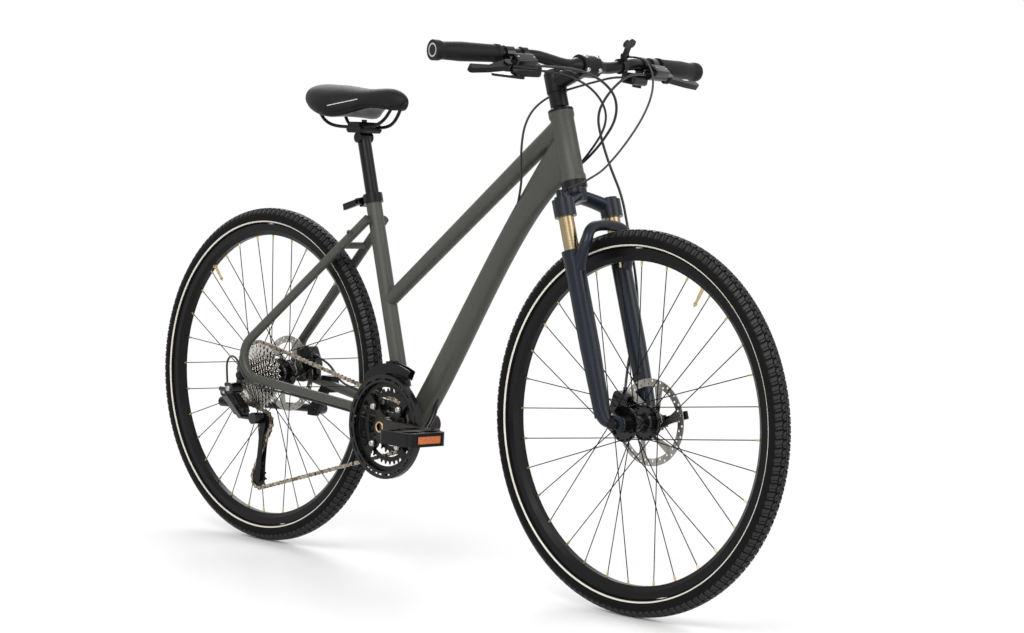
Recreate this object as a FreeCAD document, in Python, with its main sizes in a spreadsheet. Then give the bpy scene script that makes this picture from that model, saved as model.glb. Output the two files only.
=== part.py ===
import FreeCAD, Part
import math
import os
import Sketcher
from FreeCAD import Placement, Rotation, Vector

# Sizes in millimetres and degrees, grouped by the piece that they belong to
SIZES = {
    # general fits
    "running_fit": 0.05, "seat_gap": 0.05, "free_gap": 0.4, "cut_overrun": 2,
    # wheels
    "wheel_base": 1050, "bead_seat_radius": 311, "valve_radius": 3, "valve_length": 62,
    "rear_valve_angle": 132, "front_valve_angle": 60,
    # tyres and inner tubes
    "tyre_height": 40, "tyre_width": 40, "tyre_wall": 4.5, "tyre_bead_thick": 3, "tyre_bead_lift": 7.4,
    "tube_radius": 13.5, "tube_wall": 1,
    # rims
    "rim_flange_height": 6, "rim_width": 25, "rim_flange_wall": 1.8, "rim_well_depth": 7,
    "rim_well_width": 12,
    "rim_shoulder_drop": 8, "rim_inner_drop": 17, "rim_nose_width": 12, "rim_wall": 1.6,
    "rim_side_wall": 3.4,
    # spokes
    "spoke_radius": 0.95, "spoke_count": 32, "spoke_cross_angle": 67.5, "spoke_hole_fit": 0.15,
    "spoke_stand": 1,
    "spoke_head_radius": 1.8, "spoke_head_thick": 1, "spoke_rim_offset": 2, "nipple_radius": 2,
    "nipple_length": 12, "nipple_inside": 3,
    # hubs and axles
    "axle_radius": 5, "axle_bore": 3, "skewer_radius": 2.6, "skewer_nut_radius": 10,
    "skewer_nut_length": 11, "skewer_nut_share": 0.7,
    "hub_bore": 12, "hub_shell_radius": 16, "flange_radius": 33, "flange_thick": 3.2,
    "spoke_circle_radius": 29,
    "bearing_width": 7, "locknut_radius": 9, "disc_boss_radius": 26, "hub_end_radius": 15.5,
    "front_hub_length": 100, "front_flange_right": 32, "front_flange_left": 24, "front_rotor_inset": 10.5,
    "rear_hub_length": 135, "rear_flange_right": 20, "rear_flange_left": 33, "rear_rotor_inset": 15.3,
    "locknut_length": 7,
    # quick-release levers
    "qr_pivot_rise": 8, "qr_flange_radius": 7.8, "qr_flange_thick": 2, "qr_neck_radius": 4.5,
    "qr_barrel_radius": 5.5, "qr_barrel_half": 7.6, "qr_lever_length": 58, "qr_lever_width": 15,
    "qr_lever_thick": 6, "qr_ear": 3, "qr_pin_radius": 2.5,
    # brake rotors
    "rotor_radius": 80, "rotor_thick": 1.8, "rotor_band": 14, "rotor_bolt_circle": 22,
    "rotor_bolt_radius": 2.5,
    "rotor_centre_radius": 17.6, "rotor_hub_radius": 28, "rotor_arm_count": 6, "rotor_arm_angle": 16,
    "rotor_sweep_angle": 24, "rotor_hole_radius": 2.2, "rotor_hole_count": 24, "rotor_hole_inset": 4,
    "rotor_hole_step": 6,
    # main frame
    "chainstay_length": 444, "bottom_bracket_drop": 65, "head_angle": 72.5, "seat_angle": 74,
    "fork_rake": 42,
    "axle_to_crown": 452, "lower_stack": 14, "head_tube_length": 133, "head_tube_radius": 22,
    "head_tube_bore": 18.5, "head_ring_radius": 24, "head_ring_height": 9, "head_ring_taper": 5,
    "seat_tube_length": 473, "seat_tube_radius": 15.9, "seat_slot_width": 2.4, "seat_slot_depth": 28,
    "shell_radius": 20.5, "shell_bore": 17.3, "shell_width": 68,
    "top_tube_seat_height": 251.5, "top_tube_head_drop": 22, "top_tube_head_radius": 18.2,
    "top_tube_seat_radius": 14.6, "tube_wall_thick": 2,
    "down_tube_offset": 15, "down_tube_angle": 56.4, "down_tube_radius": 23.5,
    "down_tube_flare_start": 500, "flare_middle_share": 0.6,
    "down_tube_head_centre": 60, "down_tube_head_half": 50, "down_tube_head_width": 41,
    "bottle_boss_radius": 5, "bottle_boss_rise": 1.6, "bottle_hole_radius": 2.5, "bottle_boss_depth": 12,
    "bottle_first": 300, "bottle_spacing": 64,
    # stays and dropouts
    "stay_radius": 9.5, "stay_bend_radius": 48, "seatstay_top": 422, "seatstay_top_side": 22,
    "stay_corner_back": 56, "stay_corner_rise": 8.4, "stay_corner_side": 86, "chainstay_end_rise": 14,
    "chainstay_end_back": 8, "chainstay_end_side": 22,
    "bridge_radius": 7, "bridge_share": 0.17, "rack_share": 0.09, "rack_boss_radius": 6,
    "rack_boss_reach": 15,
    "rack_hole_radius": 2.5, "rack_hole_depth": 10,
    "dropout_thick": 6, "dropout_rear": 16, "dropout_top": 46, "dropout_front": 58, "dropout_foot": 16,
    "dropout_heel": 3, "dropout_apex_forward": 10, "dropout_apex_rise": 30, "dropout_waist_forward": 22,
    "dropout_waist_rise": 9,
    "dropout_neck": 30, "hanger_back": 9, "hanger_drop": 28, "hanger_radius": 9.5, "hanger_bolt_radius": 5,
    # headset and bottom bracket cups
    "steerer_radius": 14.3, "cup_inset": 9, "upper_stack": 10, "upper_cover_top_radius": 17,
    "shell_cup_radius": 22, "shell_cup_width": 11, "spindle_radius": 12,
    # seatpost, clamp and saddle
    "post_radius": 13.6, "post_bore": 11.2, "post_exposed": 118, "post_inserted": 205,
    "clamp_wall": 4, "clamp_height": 18, "clamp_lug_depth": 14, "clamp_lug_width": 16,
    "clamp_bolt_radius": 2.5,
    "clamp_lever_length": 46, "clamp_lever_width": 13, "clamp_lever_thick": 6, "clamp_eye_radius": 7,
    "rail_radius": 3.5, "rail_spacing": 44, "rail_half_length": 55, "rail_front_reach": 102,
    "rail_front_half": 15,
    "rail_rear_reach": 104, "rail_rear_half": 35, "rail_height": 22,
    "cradle_length": 42, "cradle_height": 13, "cradle_chamfer": 5, "cradle_width": 58, "cap_height": 9,
    "cap_length": 34, "cradle_gap": 0.6, "post_barrel_radius": 11, "post_barrel_width": 34,
    "post_bolt_radius": 3, "post_bolt_head_radius": 5.5, "post_bolt_head_height": 5,
    "saddle_length": 268, "saddle_width": 158, "saddle_height": 54,
    "saddle_tip_forward": 129, "saddle_base": 43, "saddle_shell_thick": 5, "saddle_inset": 5,
    # cranks and chainrings
    "crank_length": 170, "crank_boss_radius": 19, "crank_end_radius": 14, "crank_end_thick": 13,
    "crank_boss_inner": 46, "crank_boss_outer": 75, "crank_end_middle": 84, "crank_root_width": 33,
    "crank_root_thick": 17, "crank_tip_width": 25, "crank_centre_bore": 8, "crank_bore_depth": 8,
    "left_boss_inner": 45.6, "left_boss_outer": 72, "crank_waist_share": 0.5, "crank_corner": 5,
    "ring_chainline": 50, "ring_spacing": 7.5, "ring_thick": 1.7, "ring_seat_thick": 2.4,
    "ring_bolt_circle": 52, "inner_bolt_circle": 32, "ring_bolt_radius": 4, "ring_lug_radius": 8.5,
    "outer_ring_bore": 78, "middle_ring_bore": 60, "inner_ring_bore": 39, "spider_arm_width": 15,
    "ring_bolt_head_radius": 6.5, "ring_bolt_head_thick": 2.2, "ring_bolt_socket": 2.8,
    "guard_radius": 103, "guard_bore": 88, "guard_thick": 2.2, "guard_lip": 7, "guard_lip_wall": 2,
    "guard_slot_count": 20, "guard_slot_width": 3.4, "guard_slot_angle": 12, "guard_stand_radius": 4,
    # pedals
    "pedal_axle_radius": 6, "pedal_thread_radius": 7, "pedal_length": 96, "pedal_width": 92,
    "pedal_height": 26,
    "pedal_start": 4, "pedal_tube_radius": 11, "pedal_wall": 12, "pedal_corner": 14, "pedal_rib": 8,
    "reflector_length": 58, "reflector_height": 15, "reflector_thick": 4, "reflector_sink": 2.5,
    "pedal_collar_radius": 8.5,
    # cassette
    "cog_pitch": 3.95, "cog_thick": 1.6, "cog_first_side": 28, "freehub_radius": 17, "freehub_inner": 26,
    "freehub_outer": 66, "freehub_shoulder": 64.6, "lockring_radius": 13,
    # chain
    "chain_pitch": 12.7, "roller_radius": 3.85, "roller_bore": 2, "pin_radius": 1.8, "inner_plate_in": 1.15,
    "plate_thick": 0.85, "plate_gap": 0.22, "plate_radius": 4.1, "plate_waist_share": 0.72,
    "seat_relief": 0.15, "tooth_height": 2.5, "tooth_tip_share": 0.16,
    # rear derailleur
    "pulley_teeth": 11, "pulley_bore": 2.6, "pulley_thick": 1.3, "pulley_boss_radius": 6,
    "pulley_boss_half": 5.1,
    "guide_back": -25, "guide_drop": 99, "cage_pivot_back": 6, "cage_pivot_rise": 9, "cage_centres": 118,
    "cage_plate_thick": 1.8, "cage_half_gap": 5.2, "cage_plate_radius": 10.5, "cage_waist_share": 0.62,
    "cage_bolt_radius": 2.5, "cage_start_angle": -98,
    "link_length_side": 36, "link_length_drop": 42, "link_width": 20, "link_offset_side": 14.5,
    "link_offset_rise": 8, "link_pin_radius": 2.2, "link_end_radius": 6, "knuckle_radius": 12,
    "knuckle_reach": 26, "link_pivot_back": 24, "link_pivot_drop": 12,
    "link_pivot_side": 4, "link_ear": 2.6, "link_bar_gap": 1.5,
    # front derailleur
    "mech_height": 86, "mech_band_height": 17, "mech_band_thick": 3, "mech_pivot_side": 30,
    "mech_link_side": 7.5,
    "mech_link_rise": 39, "mech_cage_gap": 12, "mech_plate_thick": 1.6, "mech_guard_clearance": 2,
    "mech_cage_depth": 20, "mech_start_angle": 64, "mech_end_angle": 128, "mech_tail_drop": 24,
    "mech_tail_rise": 2, "mech_tail_angle": 14, "mech_bridge_share": 0.12, "mech_bridge_radius": 2.5,
    # kickstand
    "stand_pivot_forward": 74, "stand_pivot_drop": 70, "stand_side": 74, "stand_plate_side": 57,
    "stand_plate_thick": 9, "stand_plate_half": 13, "stand_block_half": 16, "stand_block_height": 34,
    "stand_block_width": 22, "stand_block_forward": 118, "stand_splay_angle": 17.5,
    "stand_boss_radius": 12, "stand_boss_length": 13,
    "stand_eye_length": 20, "stand_length": 322, "stand_drop": 15, "stand_root_radius": 9,
    "stand_tip_radius": 7,
    "stand_pin_radius": 4, "stand_foot_length": 26, "stand_foot_radius": 11,
    # fork
    "leg_spacing": 124, "leg_forward": 22, "stanchion_radius": 14, "stanchion_inserted": 150,
    "fork_travel": 50,
    "seal_height": 327, "leg_radius": 18.5, "leg_foot_radius": 15, "leg_foot": 18, "seal_radius": 20,
    "seal_rise": 7, "crown_socket_bottom": 391, "crown_socket_top": 424, "crown_socket_radius": 20.5,
    "crown_core_radius": 21, "crown_core_bottom": 424, "crown_arm_height": 26, "crown_arm_depth": 34,
    "crown_cap_radius": 15, "crown_cap_rise": 5, "arch_radius": 9, "arch_forward": 34, "arch_rise": 66,
    "arch_start": 300, "fork_end_thick": 9, "fork_end_radius": 17, "arch_shoulder_share": 0.62,
    "arch_knee_share": 1, "crown_arm_middle": 425, "hub_room_height": 190, "post_height": 40,
    "post_low": 16,
    "post_high": 22, "post_reach": 34,
    # lockout
    "spool_radius": 10, "spool_height": 12, "spool_arm_length": 18, "spool_arm_width": 7,
    "spool_arm_thick": 5,
    # stem, spacers and handlebar
    "spacer_radius": 17.5, "spacer_height": 28, "spacer_count": 3, "stem_clamp_height": 38,
    "stem_reach": 83.5,
    "stem_rise": 6, "stem_clamp_radius": 19.5, "stem_tube_radius": 16.5, "bar_clamp_radius": 15.9,
    "bar_clamp_width": 44, "bar_clamp_wall": 5, "stem_cap_height": 5, "face_gap": 2,
    "bar_half": 347, "bar_radius": 11.1, "bar_straight": 62, "bar_bend": 128, "bar_bend_rise": 12,
    "bar_bend_back": 4, "bar_end_rise": 9, "bar_end_back": 40, "bar_taper": 20, "bar_bend_share": 0.25,
    # grips
    "grip_length": 138, "grip_radius": 16, "grip_palm_radius": 17.6, "grip_end_radius": 18.5,
    "grip_end_length": 9,
    "grip_ring_radius": 17.2, "grip_ring_length": 8, "grip_palm_share": 0.42,
    # brake controls
    "control_tilt": 38, "brake_clamp_reach": 158, "brake_clamp_wall": 4.2, "brake_clamp_width": 17,
    "cylinder_offset": 31, "cylinder_radius": 9.5, "cylinder_inner": 46, "cylinder_outer": 10,
    "reservoir_width": 22, "reservoir_length": 44, "reservoir_height": 9, "reservoir_corner": 3,
    "hose_stub_radius": 4, "hose_stub_length": 8, "brake_bridge_half": 6.5,
    "lever_pivot_offset": 34, "lever_pivot_out": 20, "lever_pin_radius": 3, "lever_length": 88,
    "lever_tip_offset": 48,
    "lever_width": 11, "lever_root": 9, "lever_tip": 6.5, "lever_ear_thick": 3, "lever_ear_radius": 7,
    "lever_neck_share": 0.2, "lever_waist_share": 0.5,
    "lever_waist": 6,
    # gear shifters
    "shifter_clamp_reach": 192, "shifter_clamp_width": 11, "shifter_clamp_wall": 3.5, "shifter_tilt": 100,
    "pod_offset": 27, "pod_length": 52, "pod_width": 32, "pod_height": 22, "pod_corner": 6, "pod_shift": 12,
    "thumb_reach": 36, "thumb_back": 24, "thumb_eye_radius": 9, "thumb_tip_radius": 8, "thumb_thick": 5,
    "thumb_pin_radius": 4,
    # remote lockout lever
    "remote_run_reach": 33, "remote_tilt": -60, "remote_clamp_width": 12, "remote_clamp_wall": 3.5,
    "remote_length": 26, "remote_lobe_radius": 8, "remote_lobe_spread": 7, "remote_thick": 6,
    "remote_pivot_offset": 22, "remote_eye_radius": 6, "remote_pin_radius": 2.5, "remote_ear": 2.5,
    # disc calipers
    "caliper_length": 50, "caliper_height": 36, "caliper_inner": 10, "caliper_outer": 15,
    "caliper_slot": 4.4, "caliper_corner": 9,
    "caliper_rim_gap": 2, "pad_length": 24, "pad_height": 18, "pad_thick": 1, "caliper_angle_front": 162,
    "caliper_angle_rear": 28, "caliper_overlap": 20, "caliper_arm_thick": 10, "caliper_piston_radius": 12,
    "caliper_piston_rise": 2, "caliper_stub_length": 18, "front_foot_depth": 18, "front_foot_height": 28,
    "rear_foot_start": 52,
    "rear_foot_length": 34, "rear_foot_side": 58, "rear_foot_width": 12, "rear_foot_drop": 8,
    "rear_foot_height": 32,
    # cables
    "hose_radius": 2.5, "cable_radius": 2.2, "lockout_cable_radius": 2, "port_clearance": 0.6,
    "cable_lead": 38,
}
CHAINRING_TEETH = (26, 36, 48)
COG_TEETH = (34, 30, 26, 23, 21, 19, 17, 15, 13, 11)

DOC = FreeCAD.newDocument("HybridBike")
SHEET = DOC.addObject("Spreadsheet::Sheet", "Sizes")
for row, (alias, value) in enumerate(SIZES.items(), start=1):
    SHEET.set(f"A{row}", alias)
    SHEET.set(f"B{row}", str(value))
    SHEET.setAlias(f"B{row}", alias)
DOC.recompute()


class Size(float):
    """A number from the sheet, or worked out from it, with the expression that gives it."""

    def __new__(cls, number, text):
        made = float.__new__(cls, number)
        made.text = text
        return made

    def __add__(self, other):
        return Size(float(self) + float(other), f"({self.text} + {text_of(other)})")

    def __sub__(self, other):
        return Size(float(self) - float(other), f"({self.text} - {text_of(other)})")

    def __mul__(self, other):
        return Size(float(self) * float(other), f"({self.text} * {text_of(other)})")

    def __truediv__(self, other):
        return Size(float(self) / float(other), f"({self.text} / {text_of(other)})")

    def __radd__(self, other):
        return Size(float(other) + float(self), f"({text_of(other)} + {self.text})")

    def __rsub__(self, other):
        return Size(float(other) - float(self), f"({text_of(other)} - {self.text})")

    def __rmul__(self, other):
        return Size(float(other) * float(self), f"({text_of(other)} * {self.text})")

    def __neg__(self):
        return Size(-float(self), f"(-{self.text})")


class Sizes:
    """Reads the sheet's cells by their alias."""

    def __getattr__(self, name):
        return Size(SHEET.get(name), f"Sizes.{name}")


S = Sizes()


def text_of(value):
    return value.text if isinstance(value, Size) else repr(float(value))


def root(value):
    return Size(math.sqrt(float(value)), f"sqrt({text_of(value)})")


def bind(target, name, value):
    if isinstance(value, Size):
        target.setExpression(name, value.text)
    else:
        setattr(target, name, value)


# Sketches and bodies
def sketch_on(body, role, offset=0):
    sketch = body.newObject("Sketcher::SketchObject", body.Name + "_sketch")
    plane = next(item for item in body.Origin.OriginFeatures if item.Role == role)
    sketch.AttachmentSupport = [(plane, "")]
    sketch.MapMode = "FlatFace"
    if offset:
        sketch.setExpression("AttachmentOffset.Base.z", text_of(offset))
    return sketch


def fix_point(sketch, edge, end, x, y):
    for kind, axis, value in (("DistanceX", -2, x), ("DistanceY", -1, y)):
        if float(value) == 0:
            sketch.addConstraint(Sketcher.Constraint("PointOnObject", edge, end, axis))
        else:
            index = sketch.addConstraint(Sketcher.Constraint(kind, -1, 1, edge, end, float(value)))
            if isinstance(value, Size):
                sketch.setExpression(f"Constraints[{index}]", value.text)


def arc_between(start, end, radius):
    """The shorter arc from start to end, turning left where radius is positive."""
    chord = end - start
    half = chord.Length / 2
    side = Vector(-chord.y, chord.x, 0).normalize()
    rise = math.sqrt(max(radius * radius - half * half, 0))
    centre = (start + end) * 0.5 + side * (rise if radius > 0 else -rise)
    first, last = (start, end) if radius > 0 else (end, start)
    angles = [math.atan2(point.y - centre.y, point.x - centre.x) for point in (first, last)]
    return Part.ArcOfCircle(Part.Circle(centre, Vector(0, 0, 1), abs(radius)), angles[0], angles[1])


def outline(sketch, points, arcs=None):
    """A closed outline; arcs gives the radius of the edges that are round, by their number."""
    arcs = arcs or {}
    first = sketch.GeometryCount
    corners = [Vector(float(x), float(y), 0) for x, y in points]
    count = len(points)
    ends = []
    for number in range(count):
        start, end = corners[number], corners[(number + 1) % count]
        if number in arcs:
            sketch.addGeometry(arc_between(start, end, float(arcs[number])), False)
            ends.append((1, 2) if arcs[number] > 0 else (2, 1))
        else:
            sketch.addGeometry(Part.LineSegment(start, end), False)
            ends.append((1, 2))
    for number in range(count):
        after = (number + 1) % count
        link = Sketcher.Constraint("Coincident", first + number, ends[number][1], first + after,
                                   ends[after][0])
        sketch.addConstraint(link)
    for number, (x, y) in enumerate(points):
        fix_point(sketch, first + number, ends[number][0], x, y)
    for number, radius in arcs.items():
        size = radius if radius > 0 else -radius
        index = sketch.addConstraint(Sketcher.Constraint("Radius", first + number, float(size)))
        if isinstance(size, Size):
            sketch.setExpression(f"Constraints[{index}]", size.text)


def circle(sketch, x, y, radius):
    centre = Vector(float(x), float(y), 0)
    edge = sketch.addGeometry(Part.Circle(centre, Vector(0, 0, 1), float(radius)), False)
    fix_point(sketch, edge, 3, x, y)
    index = sketch.addConstraint(Sketcher.Constraint("Radius", edge, float(radius)))
    if isinstance(radius, Size):
        sketch.setExpression(f"Constraints[{index}]", radius.text)


def new_body(name):
    body = DOC.addObject("PartDesign::Body", name)
    body.Label = name
    return body


def revolve(name, points, arcs=None, holes=(), upright=False):
    """A turned piece; its axis is Y, or Z where upright, and points are radius and height."""
    body = new_body(name)
    sketch = sketch_on(body, "XZ_Plane" if upright else "XY_Plane")
    outline(sketch, points, arcs)
    for hole in holes:
        outline(sketch, hole)
    turned = body.newObject("PartDesign::Revolution", name + "_turned")
    turned.Profile = sketch
    turned.ReferenceAxis = (sketch, ["V_Axis"])
    turned.Angle = 360
    return body


def plate(name, points, thick, arcs=None, middle=0, circles=(), role="XZ_Plane"):
    """A plate in the side plane, its middle at Y = middle, with round holes."""
    body = new_body(name)
    sketch = sketch_on(body, role, -middle if role == "XZ_Plane" else middle)
    outline(sketch, points, arcs)
    for x, y, radius in circles:
        circle(sketch, x, y, radius)
    pad = body.newObject("PartDesign::Pad", name + "_pad")
    pad.Profile = sketch
    bind(pad, "Length", thick)
    pad.SideType = "Symmetric"
    return body


def pocket(body, draw, role="XZ_Plane"):
    sketch = sketch_on(body, role)
    draw(sketch)
    cut_out = body.newObject("PartDesign::Pocket", body.Name + "_pocket")
    cut_out.Profile = sketch
    cut_out.SideType = "Symmetric"
    cut_out.Type = "ThroughAll"
    return cut_out


def polar(body, feature, count):
    pattern = body.newObject("PartDesign::PolarPattern", body.Name + "_pattern")
    pattern.Originals = [feature]
    axis = next(item for item in body.Origin.OriginFeatures if item.Role == "Y_Axis")
    pattern.Axis = (axis, [""])
    pattern.Angle = 360
    bind(pattern, "Occurrences", count)
    body.Tip = pattern
    return pattern


# Solids and booleans
def cylinder(name, radius, length, start, direction):
    solid = DOC.addObject("Part::Cylinder", name)
    bind(solid, "Radius", radius)
    bind(solid, "Height", length)
    solid.Placement = Placement(start, Rotation(Vector(0, 0, 1), direction))
    return solid


def feature(name, shape, placement=None):
    made = DOC.addObject("Part::Feature", name)
    made.Shape = shape
    if placement:
        made.Placement = placement
    return made


def group(name, pieces):
    made = DOC.addObject("Part::Compound", name)
    made.Links = pieces
    return made


def fuse(name, pieces):
    made = DOC.addObject("Part::MultiFuse", name)
    made.Shapes = pieces
    made.Refine = True
    return made


def cut(name, base, tools):
    tool = tools[0] if len(tools) == 1 else group(name + "_tools", tools)
    made = DOC.addObject("Part::Cut", name)
    made.Base = base
    made.Tool = tool
    return made


def mirror(name, source):
    made = DOC.addObject("Part::Mirroring", name)
    made.Source = source
    made.Normal = Vector(0, 1, 0)
    return made


def shape_of(item):
    DOC.recompute([item], True)
    return item.Shape


def bar_between(start, end, radius):
    run = end - start
    return Part.makeCylinder(radius, run.Length, start, run)


def rounded_path(points, share=0.45):
    """Straight runs joined by tangent arcs as large as the runs allow; returns the edges and radii."""
    edges, radii = [], []
    last = points[0]
    for before, corner, after in zip(points, points[1:], points[2:]):
        inward, outward = (corner - before), (after - corner)
        turn = inward.getAngle(outward)
        if turn == 0:
            continue
        reach = share * min(inward.Length, outward.Length)
        inward.normalize()
        outward.normalize()
        radius = reach / math.tan(turn / 2)
        start, end = corner - inward * reach, corner + outward * reach
        bisector = (outward - inward).normalize()
        middle = corner + bisector * (radius / math.cos(turn / 2) - radius)
        edges.append(Part.LineSegment(last, start).toShape())
        edges.append(Part.Arc(start, middle, end).toShape())
        radii.append(radius)
        last = end
    edges.append(Part.LineSegment(last, points[-1]).toShape())
    return edges, radii


def tube_along(points, radius, share=0.45):
    edges, radii = rounded_path(points, share)
    path = Part.Wire(edges)
    start = points[0]
    ring = Part.Wire(Part.makeCircle(radius, start, points[1] - start))
    return path.makePipeShell([ring], True, False), path.Length, radii


# Places that the pieces share
def turned(degrees):
    return Rotation(Vector(0, 1, 0), -(90 - degrees))


WHEEL_RADIUS = S.bead_seat_radius + S.tyre_height
REAR_AXLE = Vector(-S.wheel_base / 2, 0, WHEEL_RADIUS)
FRONT_AXLE = Vector(S.wheel_base / 2, 0, WHEEL_RADIUS)
SHELL_RUN = math.sqrt(S.chainstay_length ** 2 - S.bottom_bracket_drop ** 2)
SHELL_CENTRE = REAR_AXLE + Vector(SHELL_RUN, 0, -S.bottom_bracket_drop)
STEER_TURN = turned(float(S.head_angle))
STEER_UP = STEER_TURN.multVec(Vector(0, 0, 1))
STEER_AHEAD = STEER_TURN.multVec(Vector(1, 0, 0))
STEER_FOOT = FRONT_AXLE - STEER_AHEAD * float(S.fork_rake)
STEER = Placement(STEER_FOOT, STEER_TURN)
SEAT_TURN = turned(float(S.seat_angle))
SEAT = Placement(SHELL_CENTRE, SEAT_TURN)
SEAT_UP = SEAT_TURN.multVec(Vector(0, 0, 1))
HEAD_BOTTOM = S.axle_to_crown + S.lower_stack
HEAD_TOP = HEAD_BOTTOM + S.head_tube_length
X_AXIS = Vector(1, 0, 0)
Y_AXIS = Vector(0, 1, 0)
UP = Vector(0, 0, 1)


def on_steer(ahead, side, height):
    return STEER.multVec(Vector(ahead, side, height))


def at_steer(height):
    return Placement(on_steer(0, 0, height), STEER_TURN)


# Wheels
def rim_body(name):
    outer = S.bead_seat_radius + S.rim_flange_height
    half = S.rim_width / 2
    seat = half - S.rim_flange_wall
    well = S.bead_seat_radius - S.rim_well_depth
    shoulder = S.bead_seat_radius - S.rim_shoulder_drop
    inner = S.bead_seat_radius - S.rim_inner_drop
    nose = S.rim_nose_width / 2
    bed = S.rim_well_width / 2
    points = [(outer, half), (outer, seat), (S.bead_seat_radius, seat), (well, bed), (well, -bed),
              (S.bead_seat_radius, -seat), (outer, -seat), (outer, -half), (shoulder, -half),
              (inner, -nose), (inner, nose), (shoulder, half)]
    top, low = well - S.rim_wall, inner + S.rim_wall
    wide, narrow = half - S.rim_side_wall, nose - S.rim_wall
    cavity = [(top, wide), (top, -wide), (low, -narrow), (low, narrow)]
    return revolve(name, points, holes=[cavity])


def tyre_body(name):
    section = S.tyre_width / 2
    centre = WHEEL_RADIUS - section
    inside = section - S.tyre_wall
    lip = S.bead_seat_radius + S.rim_flange_height + S.free_gap
    join = S.bead_seat_radius + S.tyre_bead_lift
    edge = root(section * section - (centre - lip) * (centre - lip))
    throat = root(inside * inside - (centre - join) * (centre - join))
    bead = S.rim_width / 2 - S.rim_flange_wall - S.seat_gap
    toe = bead - S.tyre_bead_thick
    seat = S.bead_seat_radius + S.seat_gap
    points = [(lip, edge), (lip, bead), (seat, bead), (seat, toe), (join, throat), (centre + inside, 0),
              (join, -throat), (seat, -toe), (seat, -bead), (lip, -bead), (lip, -edge), (centre + section,
                                                                                         0)]
    return revolve(name, points, arcs={4: -inside, 5: -inside, 10: section, 11: section})


def inner_tube(name, valve_angle):
    inside = S.tyre_width / 2 - S.tyre_wall
    centre = WHEEL_RADIUS - S.tyre_width / 2 + inside - S.tube_radius - S.seat_gap
    ring = Part.makeTorus(centre, S.tube_radius, Vector(0, 0, 0), Y_AXIS)
    hollow = Part.makeTorus(centre, S.tube_radius - S.tube_wall, Vector(0, 0, 0), Y_AXIS)
    out = Vector(math.cos(math.radians(valve_angle)), 0, math.sin(math.radians(valve_angle)))
    start = centre - S.tube_radius + S.tube_wall / 2
    valve = Part.makeCylinder(S.valve_radius, S.valve_length, out * start, -out)
    return feature(name, ring.fuse(valve).cut(hollow))


def spoke_places(flange_right, flange_left):
    """The four kinds of spoke: its hub end, rim end, and the side of the flange that its head is on."""
    per_side = int(S.spoke_count / 2)
    inner = S.bead_seat_radius - S.rim_inner_drop
    kinds = []
    for side, flange, start in ((-1, -flange_right, 0), (1, flange_left, 180 / per_side)):
        for face, lead in ((1, 1), (-1, -1)):
            angle = start + (0 if lead > 0 else 360 / per_side)
            hub = Rotation(Y_AXIS, angle).multVec(Vector(S.spoke_circle_radius, 0, 0))
            hub.y = flange + side * face * (S.flange_thick / 2 + S.spoke_radius + S.spoke_stand)
            rim = Rotation(Y_AXIS, angle + lead * S.spoke_cross_angle).multVec(Vector(inner, 0, 0))
            rim.y = side * S.spoke_rim_offset
            kinds.append((hub, rim, side * face))
    return kinds, per_side // 2


def round_copies(shape, count):
    step = 360 / count
    copies = []
    for number in range(count):
        copy = shape.copy()
        copy.rotate(Vector(0, 0, 0), Y_AXIS, number * step)
        copies.append(copy)
    return copies


def spoke_set(name, flange_right, flange_left):
    """Spokes with their heads and nipples, and the holes that the rim and hub need for them."""
    kinds, count = spoke_places(flange_right, flange_left)
    spokes, rim_holes, hub_holes = [], [], []
    for hub, rim, away in kinds:
        run = (rim - hub).normalize()
        through = S.flange_thick + S.spoke_radius + S.spoke_stand + S.seat_gap
        back = Vector(0, -away, 0)
        wire = bar_between(hub, rim, S.spoke_radius)
        elbow = Part.makeCylinder(S.spoke_radius, through, hub, back)
        ball = Part.makeSphere(S.spoke_radius, hub)
        head = Part.makeCylinder(S.spoke_head_radius, S.spoke_head_thick, hub + back * through, back)
        neck = rim - run * (S.nipple_length - S.nipple_inside)
        nipple = Part.makeCylinder(S.nipple_radius, S.nipple_length, neck, run)
        spokes += round_copies(wire.multiFuse([elbow, ball, head, nipple]), count)
        drill = Part.makeCylinder(S.nipple_radius + S.seat_gap, S.nipple_length,
                                  rim - run * S.nipple_inside, run)
        rim_holes += round_copies(drill, count)
        bore = Part.makeCylinder(S.spoke_radius + S.spoke_hole_fit, through * 2, hub - back * through / 2,
                                 back)
        hub_holes += round_copies(bore, count)
    made = feature(name, Part.makeCompound(spokes))
    return made, Part.makeCompound(rim_holes), Part.makeCompound(hub_holes)


def hub_body(name, length, flanges, rotor_inset, plain_end):
    """The hub shell with its two flanges, the rotor's boss and, with no freehub, a plain right end."""
    flange_right, flange_left = flanges
    half = length / 2
    thick = S.flange_thick / 2
    rotor = half - rotor_inset - S.rotor_thick / 2
    end = half - S.locknut_length
    stop = -flange_right - thick
    start = [(S.hub_bore, -end), (S.hub_end_radius, -end), (S.hub_end_radius, stop)] if plain_end else [
        (S.hub_bore, stop)]
    points = start + [
              (S.flange_radius, stop),
              (S.flange_radius, -flange_right + thick), (S.hub_end_radius + S.flange_thick,
                                                         -flange_right + thick),
              (S.hub_shell_radius, -flange_right + thick + S.flange_thick),
              (S.hub_shell_radius, flange_left - thick - S.flange_thick),
              (S.hub_end_radius + S.flange_thick, flange_left - thick), (S.flange_radius,
                                                                         flange_left - thick),
              (S.flange_radius, flange_left + thick), (S.disc_boss_radius, flange_left + thick),
              (S.disc_boss_radius, rotor), (S.hub_end_radius, rotor), (S.hub_end_radius, end), (S.hub_bore,
                                                                                                end)]
    return revolve(name, points)


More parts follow.
